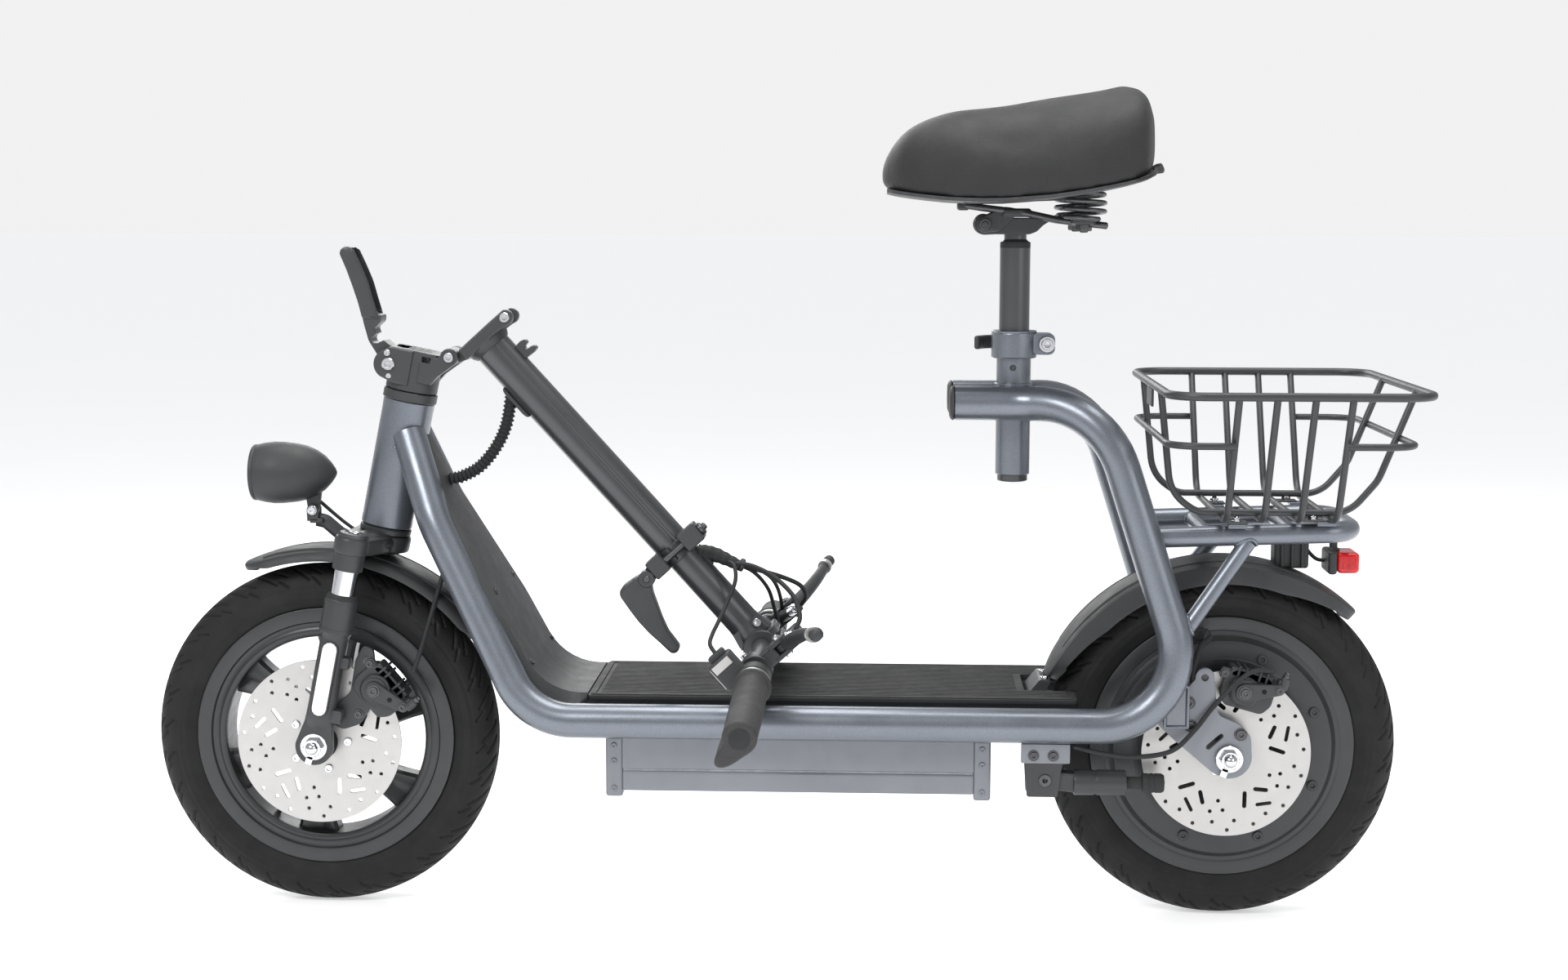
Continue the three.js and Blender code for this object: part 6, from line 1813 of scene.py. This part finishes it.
def make_bar():
    bar = sweep(bar_path(), BAR_RADIUS, 40)
    perches = Form()
    brights = Form()
    for side in (-1, 1):
        x0 = bar_at(110).x
        ring = lathe([(BAR_RADIUS, -8.5), (15.4, -8.5), (16.2, -7.6), (16.2, 7.6), (15.4, 8.5),
                      (BAR_RADIUS, 8.5)], 56, closed=True).put(along_bar(side * 110))
        arm = block(-24, x0 - 8, side * 110 - 8, side * 110 + 8, BAR_HEIGHT - 7, BAR_HEIGHT + 11, 2.4)
        cheeks = total([flat(rounded(arc(LEVER_PIVOT[0], side * 110, 8.6, 90, 270, 14) + [
            (-19, side * 110 - 9.4), (-19, side * 110 + 9.4)], 1.2, 2), low, low + 4.3, edge=0.9)
            for low in (BAR_HEIGHT - 7, BAR_HEIGHT + 6.6)])
        nose = rod((-16, side * 106, BAR_HEIGHT + 2), (-30, side * 90, BAR_HEIGHT + 2), 6.4, 32, 1.4)
        perches = perches + ring + arm + cheeks + nose
        barrel = lathe([(0, 0), (4.8, 0), (5.6, 0.8), (5.6, 3), (4.9, 3.6), (5.6, 4.2), (5.6, 6.6), (4.9, 7.2),
                        (5.6, 7.8), (5.6, 10), (4.6, 11), (3.4, 11.4), (3.4, 15), (0, 15)], 40)
        barrel = barrel.put(toward((-30, side * 90, BAR_HEIGHT + 2), (-45, side * 73, BAR_HEIGHT + 2)))
        brights = brights + barrel
        brights = brights + screw((LEVER_PIVOT[0], side * 110, BAR_HEIGHT + 10.8), (0, 0, 1), 4.2, 2.4)
        brights = brights + nut((LEVER_PIVOT[0], side * 110, BAR_HEIGHT - 7), (0, 0, -1), 4, 2.8, 2.2, 1.4)
        brights = brights + rod((LEVER_PIVOT[0], side * 110, BAR_HEIGHT - 7),
                                (LEVER_PIVOT[0], side * 110, BAR_HEIGHT + 10), 2.3, 20, 0.2)
        brights = brights + screw((x0, side * 110, BAR_HEIGHT - 14.6), (0, 0, -1), 3.6, 3)
    piece("handlebar_tube", bar + perches, STEM, "handlebar", "black_metal", ["handlebar"])
    piece("lever_barrels", brights, STEM, "handlebar", "chrome")


def make_switches():
    switch = block(5, 30, -157.5, -130.5, BAR_HEIGHT - 34, BAR_HEIGHT - 4, 3)
    ring = lathe([(BAR_RADIUS, -8), (15.6, -8), (16.4, -7.2), (16.4, 7.2), (15.6, 8), (BAR_RADIUS, 8)], 56,
                 closed=True)
    body = switch + ring.put(along_bar(-144))
    body = body + block(8, 26, -150, -138, BAR_HEIGHT - 40, BAR_HEIGHT - 33, 2)
    piece("switch_housing", body, STEM, "handlebar", "black_plastic")
    face = block(28.6, 30.6, -155, -133, BAR_HEIGHT - 31, BAR_HEIGHT - 7, 0.8)
    sill = block(7.5, 27.5, -158.3, -157.2, BAR_HEIGHT - 31.5, BAR_HEIGHT - 23, 0.5)
    piece("switch_face", face + sill, STEM, "handlebar", "bright_steel")
    keys = block(29.6, 32.4, -152, -136, BAR_HEIGHT - 29, BAR_HEIGHT - 22, 1.2)
    keys = keys + rod((29.6, -144, BAR_HEIGHT - 14), (33.2, -144, BAR_HEIGHT - 14), 4.4, 32, 1)
    piece("switch_keys", keys, STEM, "handlebar", "rubber")
    throttle_place = along_bar(150)
    hub = lathe([(12.8, -7), (15.6, -7), (16.4, -6.2), (16.4, 6.2), (15.6, 7), (12.8, 7)], 56, closed=True)
    paddle_path = flowing([(14, 0, 0), (17, 0, -9), (17.5, 0, -20), (14, 0, -31)], 8)
    paddle = sweep([Vector((p.x, 151, p.z + BAR_HEIGHT)) for p in paddle_path], lambda i: 3.9 - 0.02 * i, 24,
                   section=(1.35, 0.75), up=(0, 1, 0))
    pad = block(9.5, 19.5, 144.5, 157.5, BAR_HEIGHT - 34.5, BAR_HEIGHT - 22, 2.6)
    for k in range(4):
        pad = pad + block(18.8, 20.2, 145.5, 156.5, BAR_HEIGHT - 33 + 3 * k, BAR_HEIGHT - 31.6 + 3 * k, 0.5, 2)
    piece("throttle_thumb_lever", hub.put(throttle_place) + paddle + pad, STEM, "throttle", "black_plastic",
          ["throttle_lever"])
    mount = lathe([(BAR_RADIUS, -5), (16.8, -5), (17.6, -4.2), (17.6, 4.2), (16.8, 5), (BAR_RADIUS, 5)], 56,
                  closed=True)
    mount = mount.put(along_bar(136)) + block(-6, 14, 131, 141, BAR_HEIGHT + 8, BAR_HEIGHT + 22, 2.4)
    piece("throttle_mount", mount, STEM, "handlebar", "black_plastic")


def make_display():
    low, high = BAR_HEIGHT + 12, BAR_HEIGHT + 27.6
    shell = block(-30, 2, 34, 76, low, high, 3.6, 4) + block(-13, 15, 45, 61, BAR_HEIGHT - 15, BAR_HEIGHT - 0.5, 2.2)
    shell = shell + block(-13, 15, 45, 61, BAR_HEIGHT + 0.5, BAR_HEIGHT + 13, 2.2)
    shell = shell + block(-31, -27, 44, 66, low + 3, high - 3, 1)
    piece("display_case", shell, STEM, "handlebar", "black_plastic", ["display"])
    glass = flat(rounded([(-27, 37), (-6, 37), (-6, 73), (-27, 73)], 3), high - 0.6, high + 0.5, edge=0.4)
    piece("display_glass", glass, STEM, "handlebar", "screen_glass")
    keys = total([rod((-2, y, high - 1), (-2, y, high + 1.1), 2.4, 24, 0.6) for y in (45, 55, 65)])
    piece("display_keys", keys, STEM, "handlebar", "rubber")
    bolts = total([screw((x, 53, BAR_HEIGHT - 15), (0, 0, -1), 2.8, 2.4) for x in (-9.4, 11.4)])
    piece("display_screws", bolts, STEM, "handlebar", "chrome")


def grip_form(side):
    """A rubber grip with a palm rest that widens toward its outer end."""
    stations = [(166, 13.5, 0), (166.4, 18, 0), (167.4, 18.8, 0), (170.4, 18.8, 0), (171.4, 18, 0), (172, 15.9, 0)]
    stations += [(174 + 4 * k, 15.6 + 0.5 * math.sin(k / 36 * math.pi), min(max((4 * k - 44) / 84, 0), 1))
                 for k in range(37)]
    stations += [(320.6, 16, 0.98), (322.4, 15.6, 0.95), (323.6, 14.6, 0.9), (324, 13.4, 0.86), (324, 8, 0.4)]
    rings = []
    for y, radius, wing in stations:
        place = along_bar(side * y)
        wing = wing * wing * (3 - 2 * wing)
        ring = []
        for a in turns(72):
            u, v = math.cos(a), math.sin(a)
            tilt = side * v
            reach = radius
            if wing > 0:
                centre_x, centre_v, wide, thick = 12.5 * wing, -5 * wing, 13 + 8.5 * wing, 11 - 1.5 * wing
                qa = (u / wide) ** 2 + (tilt / thick) ** 2
                qb = -2 * (u * centre_x / wide ** 2 + tilt * centre_v / thick ** 2)
                qc = (centre_x / wide) ** 2 + (centre_v / thick) ** 2 - 1
                root = qb * qb - 4 * qa * qc
                if root > 0:
                    lobe = max(0.1, (-qb + math.sqrt(root)) / (2 * qa)) * (radius / 16)
                    reach = (radius ** 9 + lobe ** 9) ** (1 / 9)
            ring.append(place @ Vector((u * reach, v * reach, 0)))
        rings.append(ring)
    return loft(rings)


def make_grips():
    for side, name in ((-1, "left"), (1, "right")):
        grip = changed(grip_form(side), ("SUBSURF", {"levels": 1, "render_levels": 1}))
        piece(f"grip_{name}_rubber", grip, STEM, "handlebar", "grip_rubber", [f"grip_{name}"], 42)
        cap = lathe([(0, 0), (9.6, 0), (9.6, 0.8), (8.8, 1.4), (0, 1.6)], 48).put(along_bar(side * 323.6))
        piece(f"grip_cap_{name}", cap, STEM, "handlebar", "rubber")
        clamp = lathe([(BAR_RADIUS, -3.4), (16.6, -3.4), (17.4, -2.6), (17.4, 2.6), (16.6, 3.4),
                       (BAR_RADIUS, 3.4)], 56, closed=True).put(along_bar(side * 162.4))
        piece(f"grip_clamp_{name}", clamp, STEM, "handlebar", "bright_steel")


def make_brake_levers():
    for side, name in ((-1, "left"), (1, "right")):
        spine = flowing([(-33, side * 112, 0), (-41, side * 121, 0), (-52, side * 138, 0), (-62, side * 160, 0),
                         (-69, side * 184, 0), (-74, side * 208, 0), (-79, side * 226, 0)], 8)
        line = [Vector((p.x, p.y, BAR_HEIGHT + 2)) for p in spread(spine, 3)]
        count = len(line) - 1
        blade = sweep(line, lambda i: 6.6 - 1.9 * (i / count), 28, section=(0.85, 1.15), up=(0, 0, 1))
        knob_form = lathe([(0, -6.4), (3.8, -5.7), (6.1, -3.4), (6.9, 0), (6.1, 3.4), (3.8, 5.7), (0, 6.4)], 36)
        knob_form = knob_form.at(*line[-1])
        eye = lathe([(2.6, -4), (6.6, -4), (7.2, -3.4), (7.2, 3.4), (6.6, 4), (2.6, 4)], 40, closed=True)
        eye = eye.at(LEVER_PIVOT[0], side * 110, BAR_HEIGHT + 2)
        horn = block(-40, -30, *sorted((side * 97, side * 108)), BAR_HEIGHT - 1.8, BAR_HEIGHT + 5.8, 1.8)
        lever = f"brake_lever_{name}"
        piece(f"{lever}_blade", blade + knob_form + eye + horn, STEM, lever, "black_plastic", [lever])
        band = lathe([(5, -3.4), (7.2, -3.4), (7.7, -2.8), (7.7, 2.8), (7.2, 3.4), (5, 3.4)], 36, closed=True)
        at = len(line) - 7
        band = band.put(toward(line[at], line[at + 1]))
        piece(f"{lever}_band", band, STEM, lever, "bright_steel")


def make_loom():
    runs = {
        "right_brake": ([(-33, 3, 342), (-44, 6, 362), (-56, 22, 386), (-62, 44, 408), (-57, 62, 422),
                         (-46, 72, BAR_HEIGHT + 2)], 2.4),
        "left_brake": ([(-33, -3, 342), (-47, -8, 358), (-58, -26, 380), (-62, -46, 404), (-56, -62, 421),
                        (-46, -72, BAR_HEIGHT + 2)], 2.4),
        "left_switch": ([(-31, -5, 338), (-34, -17, 345), (-26, -28, 356), (-6, -38, 366), (8, -62, 372),
                         (14, -98, 374), (17, -130, 377), (17, -143, 386)], 2.1),
        "display_lead": ([(-34, 0, 344), (-41, 8, 364), (-38, 24, 388), (-26, 40, 410), (-16, 50, 428),
                          (-13, 54, 438)], 2.0),
        "throttle_lead": ([(-31, 6, 340), (-42, 20, 360), (-44, 52, 386), (-30, 90, 412), (-8, 118, 434),
                           (2, 131, 441)], 2.0),
    }
    for name, (points, radius) in runs.items():
        lead = piece(f"loom_{name}", wire(flowing(points, 10), radius), STEM, None, "rubber")
        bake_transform(lead)
    band = lathe([(2.2, -2), (6.4, -2), (6.8, -1.4), (6.8, 1.4), (6.4, 2), (2.2, 2)], 28, closed=True)
    piece("loom_tie", band.put(toward((-38, 0, 350), (-46, 4, 366))), STEM, "stem", "black_plastic")


# ---------------------------------------------------------------- seat post, saddle and springs
TILT_PIVOT = (662, 693)
SPRING_AT = [(side, GROUND.inverted() @ centre(f"saddle_spring_{name}"))
             for side, name in ((-1, "left"), (1, "right"))]


def make_seat_post():
    low = local(GROUND, "seat_post")[0]
    tube = lathe([(14.2, low.z), (15, low.z + 0.8), (15, 674.6), (14.6, 675.6), (13.4, 676), (11, 678.4), (11, 683),
                  (0, 683), (0, 668), (12.5, 667), (12.5, low.z)], 72)
    piece("seat_post_tube", tube.at(SEAT_TUBE_X, 0, 0), GROUND, "seat", "satin_black", ["seat_post"])
    ring = lathe([(14.9, 669.6), (15.04, 670), (15.04, 674.6), (14.6, 675.8), (11.2, 676.4), (11.2, 669.6)], 72,
                 closed=True)
    piece("seat_post_neck", ring.at(SEAT_TUBE_X, 0, 0), GROUND, "seat", "rubber")
    side_plate = arc(*TILT_PIVOT, 10.4, 92, 268, 18)
    side_plate += [(672, 683.2), (706, 683.2), (713, 686), (719, 692), (728, 697.6), (726, 699.4), (676, 699.4)]
    plates = both(lambda side: slab(rounded(side_plate, 1.6, 2), *sorted((side * 14, side * 19)),
                                    [circle(*TILT_PIVOT, 3.4, 20)], 0.9))
    core = slab(rounded([(654, 685), (708, 684), (709, 697), (654, 700)], 4), -14.4, 14.4, edge=1.5)
    core = carved(core, rod((TILT_PIVOT[0], -30, TILT_PIVOT[1]), (TILT_PIVOT[0], 30, TILT_PIVOT[1]), 3.4, 24, 0.1))
    teeth = Form()
    for k in range(16):
        turn = Matrix.Translation((TILT_PIVOT[0], 0, TILT_PIVOT[1])) @ Matrix.Rotation(2 * math.pi * k / 16, 4, "Y")
        pair = both(lambda side: block(5, 8.8, side * 19 - 0.5, side * 19 + 0.5, -0.5, 0.5, 0.2, 1))
        teeth = teeth + pair.put(turn)
    piece("saddle_clamp_body", plates + core + teeth, GROUND, "seat", "black_metal", ["saddle_clamp"])


def rail_path(side):
    return bent([(640, side * 14, 711.5), (656, side * 21, 709.5, 14), (702, side * 24, 704, 30),
                 (734, side * 40, 697, 26), (777, side * 57, 692)], 10)


def make_rails():
    rails = both(lambda side: wire(rail_path(side), 3.4, 24))
    nose = block(635.4, 646.6, -18.6, 18.6, 706.4, 714.6, 2.6, 4)
    bridge = flat(rounded([(677.6, -26.6), (709.8, -26.6), (709.8, 26.6), (677.6, 26.6)], 4), 700, 705, edge=1)
    bridge = bridge + flat(rounded([(681, -24), (706, -24), (706, 24), (681, 24)], 4), 705.4, 708.6, edge=1.2)
    bridge = bridge + both(lambda side: block(680, 707, side * 22 - 5, side * 22 + 5, 701, 708, 2))
    ear = arc(*TILT_PIVOT, 8, 95, 268, 14) + [(676, 686.4), (691, 701), (690, 709), (681.7, 710.2)]
    ears = both(lambda side: slab(rounded(ear, 1.5, 2), *sorted((side * 19.7, side * 24.4)), edge=0.9))
    seats = Form()
    bright = Form()
    for side, spot in SPRING_AT:
        seats = seats + lathe([(0, 693.4), (10.4, 693.4), (12.4, 694), (13, 695), (13, 698.2), (12, 699.4),
                               (0, 699.4)], 48).at(spot.x, spot.y, 0)
        bright = bright + nut((spot.x, spot.y, 693.4), (0, 0, -1), 7.8, 6.6, 4, 1.4)
    for side in (-1, 1):
        bright = bright + nut((*TILT_PIVOT[:1], side * 24.4, TILT_PIVOT[1]), (0, side, 0), 6.2, 4, 3, 2)
        bright = bright + screw((690, side * 24.2, 703.4), (0, side, 0), 3.6, 1.4)
    bright = bright + rod((TILT_PIVOT[0], -24, TILT_PIVOT[1]), (TILT_PIVOT[0], 24, TILT_PIVOT[1]), 3.0, 24, 0.2)
    piece("saddle_rail_wires", rails, GROUND, "saddle_rails", "spring_steel", ["saddle_rails"])
    piece("saddle_rail_bridge", nose + bridge + ears + seats, GROUND, "saddle_rails", "black_metal")
    piece("saddle_rail_nuts", bright, GROUND, "saddle_rails", "spring_steel")


def make_springs():
    for side, spot in SPRING_AT:
        name = "left" if side < 0 else "right"
        low, high = local(GROUND, f"saddle_spring_{name}")
        points = []
        turns, steps = 3.15, 46
        total_steps = int(turns * steps)
        for k in range(total_steps + 1):
            part = k / total_steps
            rise = low.z - 1.6 + (high.z - low.z + 4.4) * part
            ring = 19.8 - 2.4 * max(0, 1 - part * 5) - 1.2 * max(0, part * 5 - 4)
            a = 2 * math.pi * turns * part + 0.7
            points.append(Vector((spot.x + ring * math.cos(a), spot.y + side * ring * math.sin(a), rise)))
        spring = piece(f"saddle_spring_wire_{name}", wire(points, 2.35, 20), GROUND, None, "spring_steel",
                       [f"saddle_spring_{name}"], 60)
        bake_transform(spring)


SADDLE_LINES = [  # x, half-width, lower edge, crown
    (557.6, 12, 734, 743), (559.4, 28, 727.5, 755), (566, 41, 725, 768), (573, 53, 723.2, 777.5), (580, 61, 722, 785),
    (592, 70, 720.3, 793), (606, 77, 718.6, 798.6), (622, 81.5, 717, 802.4), (640, 85, 716, 804),
    (660, 88.6, 715.6, 805.3), (680, 93, 716, 807.4), (700, 99, 717.4, 810.6), (720, 106, 719, 814),
    (740, 113, 721.8, 816.8), (760, 119, 725, 819.4),
    (776, 122, 728, 821.8), (790, 122.6, 731, 825), (800, 121.6, 733.6, 827.6), (807, 119.4, 735.6, 828.6),
    (811.5, 116, 737.2, 828), (814.5, 111, 738.6, 826.4), (817, 103, 740, 823), (819, 92, 741.2, 817.6),
    (821, 77, 742.6, 807), (823.2, 58, 744, 791), (825.6, 36, 745.4, 772), (827.6, 13, 747, 757)]


def saddle_section(x, half, low, high):
    """The saddle's outline across X: upright sides, a crowned top and a flat underside."""
    ring = []
    for k in range(49):
        a = math.pi * k / 48
        c, s = math.cos(a), math.sin(a)
        y = half * math.copysign(abs(c) ** 0.62, c)
        z = low + (high - low) * abs(s) ** 0.62
        belly = 1 + 0.018 * math.sin(math.pi * min(1.0, (z - low) / max(1.0, high - low)))
        dished = 1.6 * math.exp(-(y / 22) ** 2) if 600 < x < 800 else 0
        ring.append(Vector((x, y * belly, z - dished * min(1.0, abs(x - 600) / 40, abs(800 - x) / 40))))
    for k in range(1, 16):
        y = -half + 2 * half * k / 16
        ring.append(Vector((x, y, low)))
    return ring


SWELL_CAP = 3.6
SWELL_STEPS = 20


def swollen(form, cap):
    """The cushion blown up a little by cloth simulation, its lower edge held, no point moving past the cap."""
    mesh = mesh_of(form, "cushion_rest")
    pad = bpy.data.objects.new("cushion_rest", mesh)
    bpy.context.scene.collection.objects.link(pad)
    hold = pad.vertex_groups.new(name="hold")
    low_edge = {round(x): low for x, half, low, high in SADDLE_LINES}
    spots = sorted(low_edge)
    held = []
    for vertex in mesh.vertices:
        x = vertex.co.x
        near = min(spots, key=lambda spot: abs(spot - x))
        if vertex.co.z < low_edge[near] + 6:
            held.append(vertex.index)
    hold.add(held, 1.0, "REPLACE")
    for vertex in mesh.vertices:
        vertex.co *= 0.001
    swell = pad.modifiers.new("swell", "CLOTH")
    swell.settings.use_pressure = True
    swell.settings.uniform_pressure_force = 4
    swell.settings.effector_weights.gravity = 0
    swell.settings.vertex_group_mass = "hold"
    swell.point_cache.frame_start = 1
    swell.point_cache.frame_end = SWELL_STEPS
    scene = bpy.context.scene
    for step in range(1, SWELL_STEPS + 1):
        scene.frame_set(step)
    blown = pad.evaluated_get(bpy.context.evaluated_depsgraph_get()).to_mesh()
    verts = []
    for before, after in zip(mesh.vertices, blown.vertices):
        start, way = 1000 * before.co, 1000 * (after.co - before.co)
        if way.length > cap:
            way *= cap / way.length
        verts.append(start + way)
    faces = [tuple(polygon.vertices) for polygon in mesh.polygons]
    bpy.data.objects.remove(pad)
    scene.frame_set(1)
    return Form(verts, faces)


def make_saddle():
    inset = 2.8  # room for the cloth to swell into
    rings = []
    for x, half, low, high in SADDLE_LINES:
        shift = x + inset * (1 - 2 * (x - 560.6) / 269)
        rings.append(saddle_section(shift, half - inset, low + 1.2, high - inset))
    body = changed(loft(rings), ("REMESH", {"mode": "VOXEL", "voxel_size": 4.2}),
                   ("SMOOTH", {"factor": 0.5, "iterations": 7}))
    body = swollen(body, SWELL_CAP)
    body = changed(body, ("SMOOTH", {"factor": 0.5, "iterations": 14}),
                   ("SUBSURF", {"levels": 1, "render_levels": 1}))
    cushion = piece("saddle_cushion_vinyl", body, GROUND, "saddle", "vinyl", ["saddle_cushion"], 70)

    edge = [Vector((x + (5.5 if x > 822 else 0), -half + 0.8, low + 1.8))
            for x, half, low, high in SADDLE_LINES if x > 796]
    far_edge = [Vector((p.x, -p.y, p.z)) for p in reversed(edge)]
    trim = spread(flowing(edge + [Vector((834, 0, 748.4))] + far_edge, 6), 3)
    count = len(trim) - 1
    hem = sweep(trim, lambda i: 0.5 + 2.4 * math.sin(math.pi * i / count) ** 0.5, 18, section=(0.8, 1.4),
                up=(0, 0, 1))
    piece("saddle_hem", hem, GROUND, "saddle", "vinyl", sharp=60)

    rings = []
    for x, half, low, high in SADDLE_LINES[2:]:
        inner = half - 4
        lower = [Vector((x, inner * math.sin(math.pi / 2 * (k / 12 - 1)), low - 0.4 - 2.6 * math.cos(
            math.pi / 2 * (k / 12 - 1)))) for k in range(25)]
        rings.append(lower + [point + Vector((0, 0, 3)) for point in reversed(lower)])
    pan = loft(rings)
    ribs = Form()
    for y in (-60, -46, -32, 32, 46, 60):
        ribs = ribs + slab(rounded([(640, 712.5), (640, 716), (740, 720), (740, 716.5)], 1.2), y - 1.2, y + 1.2,
                           edge=0.4)
    piece("saddle_pan_shell", pan + ribs, GROUND, "saddle", "black_plastic", ["saddle_pan"])
    cups = total([lathe([(0, 720), (12, 720), (13, 721), (13, 725), (0, 725)], 40).at(spot.x, spot.y, 0)
                  for side, spot in SPRING_AT])
    piece("saddle_spring_cups", cups, GROUND, "saddle", "black_metal")


# ---------------------------------------------------------------- kickstand
STAND = Vector((723.5, -86.5, 156.6))


def make_kickstand():
    plate_outline = rounded([(700, 173.6), (747.4, 173.6), (747.4, 193), (700, 193)], 1.5)
    plate = slab(plate_outline, -100, -95, [circle(712, 181.5, 3), circle(731, 181.5, 3)], 0.8)
    cheek = rounded([(706, 140), (736, 140), (739, 166), (741, 175), (704, 175)], 2.4)
    cheeks = slab(cheek, -98.8, -95.2, [circle(STAND.x, STAND.z, 3.2, 20)], 0.7) + slab(
        cheek, -77.8, -74.2, [circle(STAND.x, STAND.z, 3.2, 20)], 0.7)
    roof = block(704.4, 744.6, -98.8, -74.2, 172.6, 176.4, 1.2)
    piece("kickstand_bracket_plate", plate, GROUND, "frame", "case_paint", ["kickstand_bracket"])
    piece("kickstand_bracket_fork", cheeks + roof, GROUND, "frame", "black_metal")
    bolts = total([screw((x, -100, 181.5), (0, -1, 0), 4, 3, 5.4) for x in (712, 731)])
    piece("kickstand_bracket_bolts", bolts, GROUND, "frame", "spring_steel")
    pin = lathe([(2.6, -100.4), (5.8, -100.4), (6.2, -99.9), (6.2, -98.6), (4, -98.4), (4, -73), (2.6, -73)], 36,
                closed=True).put(Y_AXIS).at(STAND.x, 0, STAND.z)
    piece("kickstand_pin", pin, GROUND, "frame", "spring_steel")
    knuckle = slab(rounded(arc(STAND.x, STAND.z, 9, 92, 268, 16) + [(756, 143), (756, 162)], 1.5, 2), -94.4, -78.6,
                   [circle(STAND.x, STAND.z, 4.4, 20)], 1.6)
    sleeve = lathe([(6.6, 753), (9, 751.4), (11.6, 752), (12.5, 753.4), (12.5, 771), (11.9, 772), (11.9, 774),
                    (12.5, 775), (12.5, 801.6), (11.4, 802.8), (6.6, 802.8)], 56, closed=True)
    solid_end = lathe([(0, 751.6), (9, 751.6), (9, 768), (0, 768)], 40)
    leg = knuckle + (sleeve + solid_end).put(X_AXIS).at(0, STAND.y, 152.5)
    piece("kickstand_leg_casting", leg, GROUND, "kickstand", "black_metal", ["kickstand_leg"])
    foot = lathe([(0, 772), (5.4, 772), (6, 772.8), (6, 818), (8.6, 818.6), (9.5, 820), (9.5, 824), (8.9, 825),
                  (9.5, 826), (9.5, 829), (8.9, 830), (9.5, 831), (9.5, 837), (8, 839.6), (0, 840)], 56)
    foot = foot.put(X_AXIS).at(0, STAND.y, 152.5)
    piece("kickstand_foot_cap", foot, GROUND, "kickstand_foot", "rubber", ["kickstand_foot"])
    spring_line = coil(0, 38, 3.4, 11, 0.8).put(toward(Vector((735, -72, 160)), Vector((772, -72, 153))))
    piece("kickstand_spring", spring_line, GROUND, "kickstand", "spring_steel", sharp=60)


make_inner_stem()
make_bar()
make_switches()
make_display()
make_grips()
make_brake_levers()
make_loom()
make_seat_post()
make_rails()
make_springs()
make_saddle()
make_kickstand()

# ---------------------------------------------------------------- levelled shading of the flat faces
level_shading()
